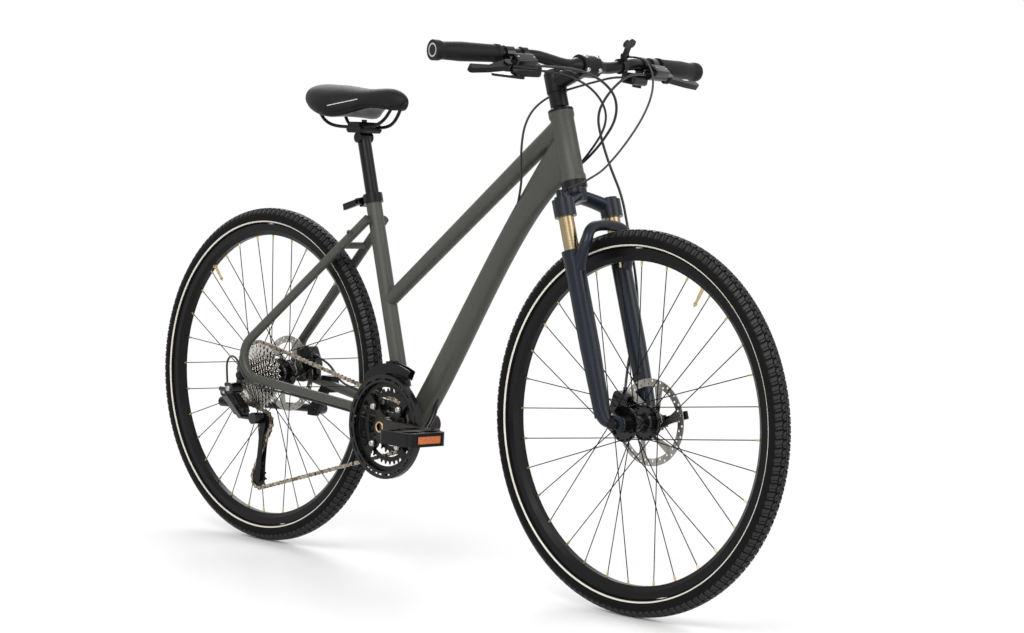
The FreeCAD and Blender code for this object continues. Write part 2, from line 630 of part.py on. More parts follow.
def bearing(name, at):
    points = [(S.axle_radius + S.running_fit, -S.bearing_width / 2), (S.hub_bore, -S.bearing_width / 2),
              (S.hub_bore, S.bearing_width / 2), (S.axle_radius + S.running_fit, S.bearing_width / 2)]
    ring = revolve(name, points)
    ring.Placement.Base = Vector(0, at, 0)
    return ring


def rotor_body(name):
    body = new_body(name)
    sketch = sketch_on(body, "XZ_Plane")
    circle(sketch, 0, 0, S.rotor_radius)
    circle(sketch, 0, 0, S.rotor_centre_radius)
    pad = body.newObject("PartDesign::Pad", name + "_pad")
    pad.Profile = sketch
    bind(pad, "Length", S.rotor_thick)
    pad.SideType = "Symmetric"
    inner, outer = S.rotor_hub_radius, S.rotor_radius - S.rotor_band
    gap = 360 / float(S.rotor_arm_count) - float(S.rotor_arm_angle)

    def at(radius, degrees):
        angle = math.radians(degrees)
        return radius * math.cos(angle), radius * math.sin(angle)

    def window(sketch):
        sweep = float(S.rotor_sweep_angle)
        corners = [at(inner, 0), at(inner, gap), at(outer, gap + sweep), at(outer, sweep)]
        outline(sketch, corners, arcs={0: inner, 2: -outer})

    polar(body, pocket(body, window), S.rotor_arm_count)
    rows = ((S.rotor_radius - S.rotor_hole_inset, 0, S.rotor_hole_count, S.rotor_hole_radius),
            (S.rotor_radius - S.rotor_hole_inset - S.rotor_hole_step, 180, S.rotor_hole_count,
             S.rotor_hole_radius),
            (S.rotor_bolt_circle, 0, S.rotor_arm_count, S.rotor_bolt_radius))
    for radius, half_turn, count, hole in rows:
        x, y = at(radius, half_turn / float(count))
        polar(body, pocket(body, lambda sketch: circle(sketch, x, y, hole)), count)
    return body


def axle_piece(name, length, end_thick, pin_axis):
    """The hollow axle with its locknuts, and the skewer with its nut on the right."""
    half = length / 2
    tip = half + end_thick - S.free_gap
    nut = half - S.locknut_length + S.running_fit
    hollow = revolve(name + "_axle_tube", [
        (S.axle_bore, -tip), (S.axle_radius, -tip), (S.axle_radius, -half), (S.locknut_radius, -half),
        (S.locknut_radius, -nut), (S.axle_radius, -nut), (S.axle_radius, nut), (S.locknut_radius, nut),
        (S.locknut_radius, half), (S.axle_radius, half), (S.axle_radius, tip), (S.axle_bore, tip)])
    face = half + end_thick
    end = face + S.skewer_nut_length
    pivot = face + S.qr_pivot_rise
    rim = S.skewer_nut_radius
    turned_skewer = revolve(name + "_skewer_turned", [
        (0, -end), (rim * S.skewer_nut_share, -end), (rim, -face - S.skewer_nut_length / 2), (rim, -face),
        (S.skewer_radius, -face), (S.skewer_radius, face), (S.qr_flange_radius, face),
        (S.qr_flange_radius, face + S.qr_flange_thick), (S.qr_neck_radius, face + S.qr_flange_thick),
        (S.qr_neck_radius, pivot), (0, pivot)])
    centre = Y_AXIS * pivot
    barrel = cylinder(name + "_lever_barrel", S.qr_barrel_radius, S.qr_barrel_half * 2,
                      centre - pin_axis * S.qr_barrel_half, pin_axis)
    reach = S.qr_barrel_half + S.free_gap + S.qr_ear
    pin = cylinder(name + "_lever_pin", S.qr_pin_radius, reach * 2, centre - pin_axis * reach, pin_axis)
    return [hollow, fuse(name + "_skewer", [turned_skewer, barrel, pin])]


def wheel(prefix, axle, length, flanges, rotor_inset, valve_angle, end_thick, pin_axis, plain_end):
    here = Placement(axle, Rotation())
    spokes, rim_holes, hub_holes = spoke_set(prefix + "_spokes", *flanges)
    out = Vector(math.cos(math.radians(valve_angle)), 0, math.sin(math.radians(valve_angle)))
    valve_hole = Part.makeCylinder(S.valve_radius + S.spoke_hole_fit, WHEEL_RADIUS, Vector(0, 0, 0), out)
    rim = cut(prefix + "_rim", rim_body(prefix + "_rim_section"),
              [feature(prefix + "_rim_holes", Part.makeCompound([rim_holes, valve_hole]))])
    tyre = group(prefix + "_tyre",
                 [tyre_body(prefix + "_tyre_case"), inner_tube(prefix + "_tube", valve_angle)])
    shell = cut(prefix + "_hub_shell",
                hub_body(prefix + "_hub_turned", length, flanges, rotor_inset, plain_end),
                [feature(prefix + "_hub_holes", hub_holes)])
    left = length / 2 - S.locknut_length - S.bearing_width / 2
    right = -left if plain_end else -flanges[0] - S.flange_thick / 2 + S.bearing_width / 2
    hub = group(prefix + "_hub", [shell, bearing(prefix + "_bearing_left", left),
                                  bearing(prefix + "_bearing_right", right)])
    rotor = rotor_body(prefix + "_rotor")
    for piece in (spokes, rim, tyre, hub):
        piece.Placement = here
    rotor.Placement.Base = axle + Vector(0, length / 2 - rotor_inset, 0)
    axles = group(prefix + "_axle", axle_piece(prefix, length, end_thick, pin_axis))
    axles.Placement = here
    return [tyre, rim, spokes, hub, rotor, axles]


# Frame
def head_tube():
    length, ring, taper = S.head_tube_length, S.head_ring_height, S.head_ring_taper
    tube = revolve("head_tube", [
        (S.head_tube_bore, 0), (S.head_ring_radius, 0), (S.head_ring_radius, ring), (S.head_tube_radius,
                                                                                     ring + taper),
        (S.head_tube_radius, length - ring - taper), (S.head_ring_radius, length - ring),
        (S.head_ring_radius, length), (S.head_tube_bore, length)], upright=True)
    tube.Placement = at_steer(HEAD_BOTTOM)
    core = cylinder("head_core", S.head_tube_radius, length, on_steer(0, 0, HEAD_BOTTOM), STEER_UP)
    return tube, core


def seat_tube():
    bore = S.post_radius + S.running_fit
    tube = revolve("seat_tube_turned",
                   [(bore, 0), (S.seat_tube_radius, 0), (S.seat_tube_radius, S.seat_tube_length),
                                        (bore, S.seat_tube_length)], upright=True)
    tube.Placement = SEAT
    core = cylinder("seat_core", S.seat_tube_radius, S.seat_tube_length, SHELL_CENTRE, SEAT_UP)
    slot = DOC.addObject("Part::Box", "seat_slot")
    bind(slot, "Length", S.seat_tube_radius * 2)
    bind(slot, "Width", S.seat_slot_width)
    bind(slot, "Height", S.seat_slot_depth + S.cut_overrun)
    corner = Vector(-S.seat_tube_radius * 2, -S.seat_slot_width / 2, S.seat_tube_length - S.seat_slot_depth)
    slot.Placement = SEAT.multiply(Placement(corner, Rotation()))
    return tube, core, slot


def bottom_shell():
    half = S.shell_width / 2
    shell = revolve("bottom_bracket_shell", [(S.shell_bore, -half), (S.shell_radius, -half),
                                             (S.shell_radius, half), (S.shell_bore, half)])
    shell.Placement.Base = SHELL_CENTRE
    core = cylinder("shell_core", S.shell_radius, S.shell_width, SHELL_CENTRE - Vector(0, half, 0), Y_AXIS)
    return shell, core


def cone_between(name, start, end, first, last):
    solid = DOC.addObject("Part::Cone", name)
    bind(solid, "Radius1", first)
    bind(solid, "Radius2", last)
    solid.Height = (end - start).Length
    solid.Placement = Placement(start, Rotation(Vector(0, 0, 1), end - start))
    return solid


def top_tube_blank():
    low = SHELL_CENTRE + SEAT_UP * S.top_tube_seat_height
    high = on_steer(0, 0, HEAD_TOP - S.top_tube_head_drop)
    outer = cone_between("top_tube_outer", low, high, S.top_tube_seat_radius, S.top_tube_head_radius)
    inner = cone_between("top_tube_inner", low, high, S.top_tube_seat_radius - S.tube_wall_thick,
                         S.top_tube_head_radius - S.tube_wall_thick)
    return outer, inner


def down_tube_place():
    """A place on the down tube's axis: Z runs up the tube and X points to its underside."""
    lean = Rotation(Vector(0, 1, 0), 90 - S.down_tube_angle)
    start = SHELL_CENTRE + lean.multVec(Vector(S.down_tube_offset, 0, 0))
    return Placement(start, lean)


def ellipse_wire(centre, tall, wide, along, half_tall, half_wide):
    big = half_tall >= half_wide
    first, second = (tall, wide) if big else (wide, tall)
    long, short = max(half_tall, half_wide), min(half_tall, half_wide)
    oval = Part.Ellipse(centre + first * long, centre + second * short, centre)
    return Part.Wire(oval.toShape())


def down_tube_loft(name, wall):
    """A round tube that grows into a tall oval where it meets the head tube."""
    place = down_tube_place()
    along = place.Rotation.multVec(Vector(0, 0, 1))
    down = place.Rotation.multVec(Vector(1, 0, 0))
    radius = S.down_tube_radius - wall
    sections = []
    for height in (0, S.down_tube_flare_start * S.flare_middle_share, S.down_tube_flare_start):
        centre = place.multVec(Vector(0, 0, height))
        sections.append(Part.Wire(Part.makeCircle(radius, centre, along)))
    centre = on_steer(0, 0, HEAD_BOTTOM + S.down_tube_head_centre)
    mouth = ellipse_wire(centre, -STEER_UP, Y_AXIS, STEER_AHEAD, S.down_tube_head_half - wall,
                         S.down_tube_head_width / 2 - wall)
    sections.append(mouth)
    return feature(name, Part.makeLoft(sections, True, False))


def bottle_bosses():
    """Two threaded inserts on the upper side of the down tube: sleeves and their holes."""
    place = down_tube_place()
    out = place.Rotation.multVec(Vector(-1, 0, 0))
    sleeves, holes = [], []
    for number in range(2):
        height = S.bottle_first + number * S.bottle_spacing
        top = place.multVec(Vector(-(S.down_tube_radius + S.bottle_boss_rise), 0, height))
        sleeves.append(cylinder(f"bottle_boss_{number}", S.bottle_boss_radius, S.bottle_boss_depth, top,
                                -out))
        hole = top + out * S.cut_overrun
        depth = S.bottle_boss_depth + S.cut_overrun * 2
        holes.append(cylinder(f"bottle_hole_{number}", S.bottle_hole_radius, depth, hole, -out))
    return sleeves, holes


def stay_points(side):
    """A stay's run: down from the seat tube, round the bend by the axle and on to the bottom bracket."""
    top = SHELL_CENTRE + SEAT_UP * S.seatstay_top + Vector(0, side * S.seatstay_top_side, 0)
    corner = REAR_AXLE + Vector(-S.stay_corner_back, side * S.stay_corner_side, S.stay_corner_rise)
    end = SHELL_CENTRE + Vector(-S.chainstay_end_back, side * S.chainstay_end_side, S.chainstay_end_rise)
    return [top, corner, end]


def stay_solid(side):
    top, corner, end = stay_points(side)
    inward, outward = (corner - top), (end - corner)
    turn = inward.getAngle(outward)
    reach = S.stay_bend_radius * math.tan(turn / 2)
    share = reach / min(inward.Length, outward.Length)
    tube, _, _ = tube_along([top, corner, end], S.stay_radius, share)
    return tube


def along_seatstay(side, share):
    top, corner, _ = stay_points(side)
    return top + (corner - top) * share


def dropout(name, side, hanger):
    back, front, foot, neck = S.dropout_rear, S.dropout_front, S.dropout_foot, S.dropout_neck
    slot = S.axle_radius + S.seat_gap
    points = [(S.dropout_apex_forward, S.dropout_top + back), (-S.dropout_heel, S.dropout_top),
              (-back, S.dropout_top / 2)]
    arcs = {}
    if hanger:
        low = S.hanger_drop
        points += [(-S.hanger_back - S.hanger_radius, -low), (-S.hanger_back, -low - S.hanger_radius),
                   (-S.hanger_back + S.hanger_radius, -low), (-slot, -foot)]
        arcs = {3: S.hanger_radius, 4: S.hanger_radius}
        first = 7
    else:
        points += [(-back, -foot), (-slot, -foot)]
        first = 5
    points += [(-slot, 0), (0, slot), (slot, 0), (slot, -foot), (neck, -foot), (front, -foot / 2),
               (front, 0), (S.dropout_waist_forward, S.dropout_waist_rise),
               (S.dropout_apex_forward, S.dropout_apex_rise)]
    arcs.update({first: -slot, first + 1: -slot})
    middle = side * (S.rear_hub_length / 2 + S.dropout_thick / 2)
    holes = [(-S.hanger_back, -S.hanger_drop, S.hanger_bolt_radius + S.seat_gap)] if hanger else []
    body = plate(name, points, S.dropout_thick, arcs, middle, holes)
    body.Placement.Base = REAR_AXLE
    return body


def frame(port_tools):
    tube, head_core = head_tube()
    seat, seat_core, slot = seat_tube()
    shell, shell_core = bottom_shell()
    seat_piece = cut("seat_tube", seat, [shell_core, slot])
    down_outer = down_tube_loft("down_tube_outer", 0)
    down_inner = down_tube_loft("down_tube_inner", S.tube_wall_thick)
    sleeves, holes = bottle_bosses()
    down_wall = cut("down_tube_wall", down_outer, [down_inner])
    down_full = fuse("down_tube_full", [down_wall] + sleeves)
    down = cut("down_tube", down_full, [head_core, tube, shell_core, seat_core] + holes + port_tools)
    outer, inner = top_tube_blank()
    top = cut("top_tube", outer, [inner, head_core, seat_core, down_outer])
    stays = [feature(f"stay_{'right' if side < 0 else 'left'}_full", stay_solid(side)) for side in (-1, 1)]
    pieces = [tube, seat_piece, shell, down, top]
    for side, full in zip((-1, 1), stays):
        word = "right" if side < 0 else "left"
        place = along_seatstay(side, S.rack_share)
        boss = cylinder(f"rack_boss_{word}", S.rack_boss_radius, S.rack_boss_reach, place,
                        Vector(0, side, 0))
        hole_start = place + Vector(0, side * (S.rack_boss_reach - S.rack_hole_depth), 0)
        hole = cylinder(f"rack_hole_{word}", S.rack_hole_radius, S.rack_hole_depth + S.cut_overrun,
                        hole_start,
                        Vector(0, side, 0))
        joined = fuse(f"stay_{word}_boss", [full, boss])
        pieces.append(cut(f"stay_{word}", joined, [seat_core, shell_core, hole]))
        end = dropout(f"dropout_{word}_plate", side, side < 0)
        pieces.append(cut(f"dropout_{word}", end, [full]))
    low = along_seatstay(-1, S.bridge_share)
    wide = along_seatstay(1, S.bridge_share) - low
    span = cylinder("stay_bridge_span", S.bridge_radius, wide.Length, low, Y_AXIS)
    pieces.append(cut("stay_bridge", span, stays))
    return group("frame", pieces)


def bearing_cups():
    steerer = S.steerer_radius + S.running_fit
    upper = revolve("upper_cup", [
        (steerer, -S.cup_inset), (S.head_tube_bore, -S.cup_inset), (S.head_tube_bore,
                                                                    0), (S.head_ring_radius, 0),
        (S.head_ring_radius, S.upper_stack / 2), (S.upper_cover_top_radius, S.upper_stack),
        (steerer, S.upper_stack)], upright=True)
    upper.Placement = at_steer(HEAD_TOP)
    lower = revolve("lower_cup", [
        (steerer, S.cup_inset), (S.head_tube_bore, S.cup_inset), (S.head_tube_bore,
                                                                  0), (S.head_ring_radius, 0),
        (S.head_ring_radius, -S.lower_stack + S.free_gap), (steerer,
                                                            -S.lower_stack + S.free_gap)], upright=True)
    lower.Placement = at_steer(HEAD_BOTTOM)
    spindle = S.spindle_radius + S.running_fit
    half = S.shell_width / 2
    right = revolve("right_cup", [
        (spindle, -half - S.shell_cup_width), (S.shell_cup_radius, -half - S.shell_cup_width),
        (S.shell_cup_radius, -half), (S.shell_bore, -half), (S.shell_bore, -half + S.shell_cup_width),
        (spindle, -half + S.shell_cup_width)])
    right.Placement.Base = SHELL_CENTRE
    left = mirror("left_cup", right)
    return group("bearing_cups", [upper, lower, right, left])


# Fork
def fork_crown():
    """The steerer and crown: two leg sockets joined to the steerer by arched arms."""
    top = HEAD_TOP + S.upper_stack + S.spacer_height + S.stem_clamp_height - S.stem_cap_height / 2
    steerer = cylinder("steerer", S.steerer_radius, top - S.crown_core_bottom,
                       on_steer(0, 0, S.crown_core_bottom), STEER_UP)
    core = cylinder("crown_core", S.crown_core_radius, S.axle_to_crown - S.crown_core_bottom,
                    on_steer(0, 0, S.crown_core_bottom), STEER_UP)
    half = S.leg_spacing / 2
    tall = S.crown_socket_top - S.crown_socket_bottom
    pieces = [steerer, core]
    bores = []
    for side in (-1, 1):
        word = "right" if side < 0 else "left"
        low = on_steer(S.leg_forward, side * half, S.crown_socket_bottom)
        pieces.append(cylinder(f"crown_socket_{word}", S.crown_socket_radius, tall, low, STEER_UP))
        cap = on_steer(S.leg_forward, side * half, S.crown_socket_top)
        pieces.append(cylinder(f"crown_cap_{word}", S.crown_cap_radius, S.crown_cap_rise, cap, STEER_UP))
        bores.append(cylinder(f"crown_bore_{word}", S.stanchion_radius, tall - S.crown_cap_rise, low,
                              STEER_UP))
        pieces.append(feature(f"crown_arm_{word}", crown_arm(side * half)))
    return cut("fork_crown", fuse("crown_full", pieces), bores)


def crown_arm(side):
    """An arm that drops from the steerer to the leg socket, with a rounded section at each end."""
    sections = []
    for ahead, across, height, depth, tall in (
            (0, 0, S.axle_to_crown - S.crown_arm_height / 2 - S.cut_overrun / 2,
             S.crown_core_radius * 2 - S.cut_overrun,
             S.crown_arm_height - S.cut_overrun),
            (S.leg_forward / 2, side / 2, S.crown_arm_middle, S.crown_arm_depth, S.crown_arm_height),
            (S.leg_forward, side, (S.crown_socket_top + S.crown_socket_bottom) / 2, S.crown_arm_depth,
             S.crown_socket_top - S.crown_socket_bottom - S.cut_overrun)):
        centre = Vector(ahead, across, height)
        oval = ellipse_wire(centre, Vector(0, 0, 1), Vector(1, 0, 0), Y_AXIS, tall / 2, depth / 2)
        sections.append(oval)
    arm = Part.makeLoft(sections, True, False)
    arm.Placement = STEER
    return arm


def stanchions():
    half = S.leg_spacing / 2
    top = S.crown_socket_top - S.crown_cap_rise
    low = S.seal_height - S.stanchion_inserted
    tubes = [cylinder(f"stanchion_{number}", S.stanchion_radius, top - low,
                      on_steer(S.leg_forward, side * half, low), STEER_UP)
             for number, side in enumerate((-1, 1))]
    return group("stanchions", tubes)


def fork_leg(side):
    """A lower leg: seal collar, tapered tube, and a bore for the stanchion."""
    bore = S.stanchion_radius + S.running_fit
    depth = S.seal_height - S.stanchion_inserted - S.fork_travel - S.free_gap
    word = "right" if side < 0 else "left"
    leg = revolve(f"leg_{word}", [
        (0, S.leg_foot), (S.leg_foot_radius, S.leg_foot), (S.leg_radius, S.arch_start / 2),
        (S.leg_radius, S.seal_height - S.seal_rise * 2), (S.seal_radius, S.seal_height - S.seal_rise),
        (S.seal_radius, S.seal_height), (bore, S.seal_height), (bore, depth), (0, depth)], upright=True)
    leg.Placement = Placement(on_steer(S.leg_forward, side * S.leg_spacing / 2, 0), STEER_TURN)
    return leg


def fork_lowers():
    """Both legs, the arch in front of the tyre and the slotted ends for the axle."""
    half = S.leg_spacing / 2
    pieces = [fork_leg(-1), fork_leg(1)]
    near = Vector(S.leg_forward, half, S.arch_start)
    crest = Vector(S.leg_forward + S.arch_forward, 0, S.arch_start + S.arch_rise)
    shoulder = Vector(S.leg_forward + S.arch_forward, half * S.arch_shoulder_share, crest.z)
    knee = Vector(S.leg_forward + S.arch_forward * S.arch_knee_share, half, crest.z - S.arch_rise / 2)
    route = [near, knee, shoulder, Vector(shoulder.x, -shoulder.y, shoulder.z),
             Vector(knee.x, -half, knee.z),
             Vector(near.x, -half, near.z)]
    arch, _, _ = tube_along(route, S.arch_radius)
    arch.Placement = STEER
    pieces.append(feature("fork_arch", arch))
    for side in (-1, 1):
        word = "right" if side < 0 else "left"
        middle = side * (S.front_hub_length / 2 + S.fork_end_thick / 2)
        slot = S.axle_radius + S.seat_gap
        reach, radius = S.fork_rake - S.leg_forward, S.fork_end_radius
        end = plate(f"fork_end_{word}", [
            (-reach - slot, radius * 2), (0, radius), (radius, 0), (slot * 2,
                                                                    -radius), (slot, -radius), (slot, 0),
            (0, slot), (-slot, 0), (-slot, -radius), (-reach - slot, S.leg_foot)], S.fork_end_thick,
            arcs={1: -radius, 5: slot, 6: slot}, middle=middle)
        end.Placement = Placement(FRONT_AXLE, STEER_TURN)
        pieces.append(end)
    mount = S.caliper_arm_thick
    arm = plate("caliper_post", [
        (0, -S.post_low), (-S.post_reach, -S.post_low / 2), (-S.post_reach,
                                                             S.post_high), (0, S.post_high + mount)],
        mount, middle=half)
    arm.Placement = Placement(on_steer(S.leg_forward, 0, S.post_height), STEER_TURN)
    pieces.append(arm)
    wide = S.front_hub_length + S.free_gap
    room = DOC.addObject("Part::Box", "hub_room")
    bind(room, "Length", S.fork_rake * 3)
    bind(room, "Width", wide)
    bind(room, "Height", S.hub_room_height)
    room.Placement = STEER.multiply(Placement(Vector(-S.fork_rake, -wide / 2, -S.hub_room_height / 2),
                                              Rotation()))
    bores = [cylinder(f"leg_bore_{number}", S.stanchion_radius + S.running_fit, S.seal_height,
                      on_steer(S.leg_forward, side * half,
                               S.seal_height - S.stanchion_inserted - S.fork_travel),
                      STEER_UP) for number, side in enumerate((-1, 1))]
    return cut("fork_lowers", fuse("fork_lowers_full", pieces), [room] + bores)


# Stem, handlebar and grips
BAR_HEIGHT = HEAD_TOP + S.upper_stack + S.spacer_height + S.stem_clamp_height / 2 + S.stem_rise
BAR_CENTRE = on_steer(S.stem_reach, 0, BAR_HEIGHT)


def stem():
    """Spacers, the stem body, its front plate and the top cap."""
    base = HEAD_TOP + S.upper_stack
    clamp_low = base + S.spacer_height
    bore = S.steerer_radius + S.seat_gap
    each = S.spacer_height / S.spacer_count
    spacers = []
    for number in range(int(S.spacer_count)):
        ring = revolve(f"spacer_{number}",
                       [(bore, 0), (S.spacer_radius, 0), (S.spacer_radius, each), (bore, each)],
                       upright=True)
        ring.Placement = at_steer(base + each * number)
        spacers.append(ring)
    post = cylinder("stem_post", S.stem_clamp_radius, S.stem_clamp_height, on_steer(0, 0, clamp_low),
                    STEER_UP)
    middle = on_steer(0, 0, clamp_low + S.stem_clamp_height / 2)
    neck = cone_between("stem_neck", middle, BAR_CENTRE, S.stem_tube_radius, S.stem_tube_radius)
    jaw_radius = S.bar_clamp_radius + S.bar_clamp_wall
    half = S.bar_clamp_width / 2
    jaw = cylinder("stem_jaw", jaw_radius, S.bar_clamp_width, BAR_CENTRE - Vector(0, half, 0), Y_AXIS)
    reach = jaw_radius * 2
    split = Placement(BAR_CENTRE, STEER_TURN)
    tall = jaw_radius * 2 + S.cut_overrun
    rear_box = DOC.addObject("Part::Box", "stem_split_rear")
    front_box = DOC.addObject("Part::Box", "stem_split_front")
    for box, start in ((rear_box, -S.face_gap / 2), (front_box, -reach * 2 + S.face_gap / 2)):
        bind(box, "Length", reach * 2)
        bind(box, "Width", S.bar_clamp_width + S.cut_overrun)
        bind(box, "Height", tall)
        corner = Vector(start, -half - S.cut_overrun / 2, -tall / 2)
        box.Placement = split.multiply(Placement(corner, Rotation()))
    steer_bore = cylinder("stem_bore", bore, S.stem_clamp_height * 2, on_steer(0, 0, clamp_low - half),
                          STEER_UP)
    bar_bore = cylinder("stem_bar_bore", S.bar_clamp_radius + S.seat_gap, S.bar_clamp_width * 2,
                        BAR_CENTRE - Vector(0, half * 2, 0), Y_AXIS)
    body = cut("stem_body", fuse("stem_full", [post, neck, jaw]), [steer_bore, bar_bore, rear_box])
    face = cut("stem_face", cylinder("stem_face_full", jaw_radius, S.bar_clamp_width,
                                     BAR_CENTRE - Vector(0, half, 0), Y_AXIS), [bar_bore, front_box])
    cap = cylinder("stem_cap", S.stem_clamp_radius - S.cut_overrun, S.stem_cap_height,
                   on_steer(0, 0, clamp_low + S.stem_clamp_height), STEER_UP)
    return group("stem", spacers + [body, face, cap])


def bar_points():
    """The bar's bends from the right end to the left, about its clamp."""
    right = [Vector(-S.bar_end_back, -S.bar_half, S.bar_end_rise),
             Vector(-S.bar_bend_back, -S.bar_bend, S.bar_bend_rise), Vector(0, -S.bar_straight, 0)]
    left = [Vector(point.x, -point.y, point.z) for point in reversed(right)]
    return [BAR_CENTRE + point for point in right + left]


def handlebar():
    bar, _, _ = tube_along(bar_points(), S.bar_radius, S.bar_bend_share)
    half = S.bar_clamp_width / 2 + S.cut_overrun
    sleeve = revolve("bar_sleeve", [
        (0, -half - S.bar_taper), (S.bar_radius, -half - S.bar_taper), (S.bar_clamp_radius, -half),
        (S.bar_clamp_radius, half), (S.bar_radius, half + S.bar_taper), (0, half + S.bar_taper)])
    sleeve.Placement.Base = BAR_CENTRE
    return fuse("handlebar", [feature("bar_bent", bar), sleeve])


def bar_place(reach, tilt, run=0):
    """A place on the right of the bar, reach from a run's end: Z runs outward, X ahead and down by tilt."""
    end, bend = bar_points()[run], bar_points()[run + 1]
    out = (end - bend).normalize()
    down = math.radians(tilt)
    ahead = Vector(math.cos(down), 0, -math.sin(down))
    turn = Rotation(ahead, Vector(0, 0, 0), out, "ZXY")
    return Placement(end - out * reach, turn)


def grips():
    bore = S.bar_radius + S.seat_gap
    length, ring, cap = S.grip_length, S.grip_ring_length, S.grip_end_length
    grip = revolve("grip_right", [
        (bore, -length), (S.grip_ring_radius, -length), (S.grip_ring_radius, -length + ring),
        (S.grip_radius, -length + ring), (S.grip_palm_radius, -length * S.grip_palm_share),
        (S.grip_radius, -cap * 2), (S.grip_end_radius, -cap), (S.grip_end_radius, S.cut_overrun),
        (0, S.cut_overrun), (0, S.seat_gap), (bore, S.seat_gap)], upright=True)
    grip.Placement = bar_place(0, S.control_tilt)
    return group("grips", [grip, mirror("grip_left", grip)])


# Sprockets and chain
def pitch_radius(teeth):
    return float(S.chain_pitch) / (2 * math.sin(math.pi / teeth))


def polar_point(radius, angle):
    return Vector(radius * math.cos(angle), 0, radius * math.sin(angle))


def sprocket(teeth, thick, bore, phase):
    """A toothed disc about Y with a roller seat at the angle phase."""
    seat = S.roller_radius + S.seat_relief
    pitch = pitch_radius(teeth)
    tip = pitch + S.tooth_height
    step = 2 * math.pi / teeth
    narrow = step * S.tooth_tip_share / 2
    edges = []
    first = None
    for number in range(teeth):
        angle = phase + number * step
        centre = polar_point(pitch, angle)
        start = centre + polar_point(seat, angle + math.pi + math.pi / 3)
        middle = centre + polar_point(seat, angle + math.pi)
        end = centre + polar_point(seat, angle + math.pi - math.pi / 3)
        corners = [polar_point(tip, angle + step / 2 - narrow), polar_point(tip, angle + step / 2 + narrow)]
        if first is None:
            first = start
        else:
            edges.append(Part.LineSegment(last, start).toShape())
        edges.append(Part.Arc(start, middle, end).toShape())
        edges.append(Part.LineSegment(end, corners[0]).toShape())
        edges.append(Part.LineSegment(corners[0], corners[1]).toShape())
        last = corners[1]
    edges.append(Part.LineSegment(last, first).toShape())
    teeth_wire = Part.Wire(edges)
    hole = Part.Wire(Part.makeCircle(bore, Vector(0, 0, 0), Y_AXIS))
    face = Part.Face([teeth_wire, hole])
    disc = face.extrude(Vector(0, thick, 0))
    disc.translate(Vector(0, -thick / 2, 0))
    return disc


def chain_stops(cage_angle):
    """The wheels that the chain goes round, in order: centre, pitch radius, turn and side."""
    ring_side = -float(S.ring_chainline - S.ring_spacing)
    cog_side = -float(S.cog_first_side)
    guide, tension = cage_centres(cage_angle)
    small = pitch_radius(S.pulley_teeth)
    return [(SHELL_CENTRE, pitch_radius(CHAINRING_TEETH[0]), -1, ring_side), (tension, small, -1, cog_side),
            (guide, small, 1, cog_side), (REAR_AXLE, pitch_radius(COG_TEETH[0]), -1, cog_side)]


def cage_centres(cage_angle):
    """Where the two pulleys of the cage stand in the side plane."""
    guide = REAR_AXLE + Vector(-S.guide_back, 0, -S.guide_drop)
    return guide, guide + polar_point(S.cage_centres, cage_angle)


def chain_route(stops):
    """The chain's straight and round stretches, each with its length and a function along it."""
    spans = []
    for (c1, r1, o1, y1), (c2, r2, o2, y2) in zip(stops, stops[1:] + stops[:1]):
        gap = c2 - c1
        heading = math.atan2(gap.z, gap.x)
        normal = heading - math.acos((r1 * o1 - r2 * o2) / math.hypot(gap.x, gap.z))
        spans.append((c1 + polar_point(r1 * o1, normal), c2 + polar_point(r2 * o2, normal), normal))
    route = []
    for number, (centre, radius, turn, side) in enumerate(stops):
        enter = spans[number - 1]
        leave = spans[number]
        start = enter[2] + (0 if turn > 0 else math.pi)
        sweep = (leave[2] - enter[2]) * turn % (2 * math.pi)
        route.append(("round", radius * sweep, centre, radius, start, turn, side))
        following = stops[(number + 1) % len(stops)][3]
        route.append(("line", (leave[1] - leave[0]).Length, leave[0], leave[1], side, following))
    return route


def route_point(route, distance):
    total = sum(piece[1] for piece in route)
    distance %= total
    for piece in route:
        if distance <= piece[1]:
            break
        distance -= piece[1]
    if piece[0] == "round":
        _, _, centre, radius, start, turn, side = piece
        point = centre + polar_point(radius, start + turn * distance / radius)
        return Vector(point.x, side, point.z)
    _, length, start, end, side, following = piece
    point = start + (end - start) * (distance / length)
    return Vector(point.x, side + (following - side) * distance / length, point.z)


def next_pin(route, distance):
    """The place one pitch further along the route, measured straight from pin to pin."""
    here = route_point(route, distance)
    pitch = float(S.chain_pitch)
    low, high = distance + pitch / 2, distance + pitch * 2
    for _ in range(40):
        middle = (low + high) / 2
        if (route_point(route, middle) - here).Length < pitch:
            low = middle
        else:
            high = middle
    return middle


def walk_chain(cage_angle, links):
    route = chain_route(chain_stops(cage_angle))
    places = [0]
    for _ in range(links):
        places.append(next_pin(route, places[-1]))
    return route, places, places[-1] - sum(piece[1] for piece in route)


def settle_chain():
    """Turns the cage until a whole and even number of links closes the loop."""
    start = math.radians(S.cage_start_angle)
    route = chain_route(chain_stops(start))
    links = 2 * round(sum(piece[1] for piece in route) / float(S.chain_pitch) / 2)
    low, high = start - 0.35, start + 0.35
    rising = walk_chain(high, links)[2] < walk_chain(low, links)[2]
    for _ in range(30):
        middle = (low + high) / 2
        longer = walk_chain(middle, links)[2] > 0
        if longer == rising:
            low = middle
        else:
            high = middle
    route, places, _ = walk_chain(middle, links)
    pins = [route_point(route, place) for place in places[:-1]]
    return middle, pins


CAGE_ANGLE, CHAIN_PINS = settle_chain()


def seat_angle_on(centre, radius):
    """The angle of a chain pin that lies on the wheel about centre."""
    near = min(CHAIN_PINS, key=lambda pin: abs(math.hypot(pin.x - centre.x, pin.z - centre.z) - radius))
    return math.atan2(near.z - centre.z, near.x - centre.x)


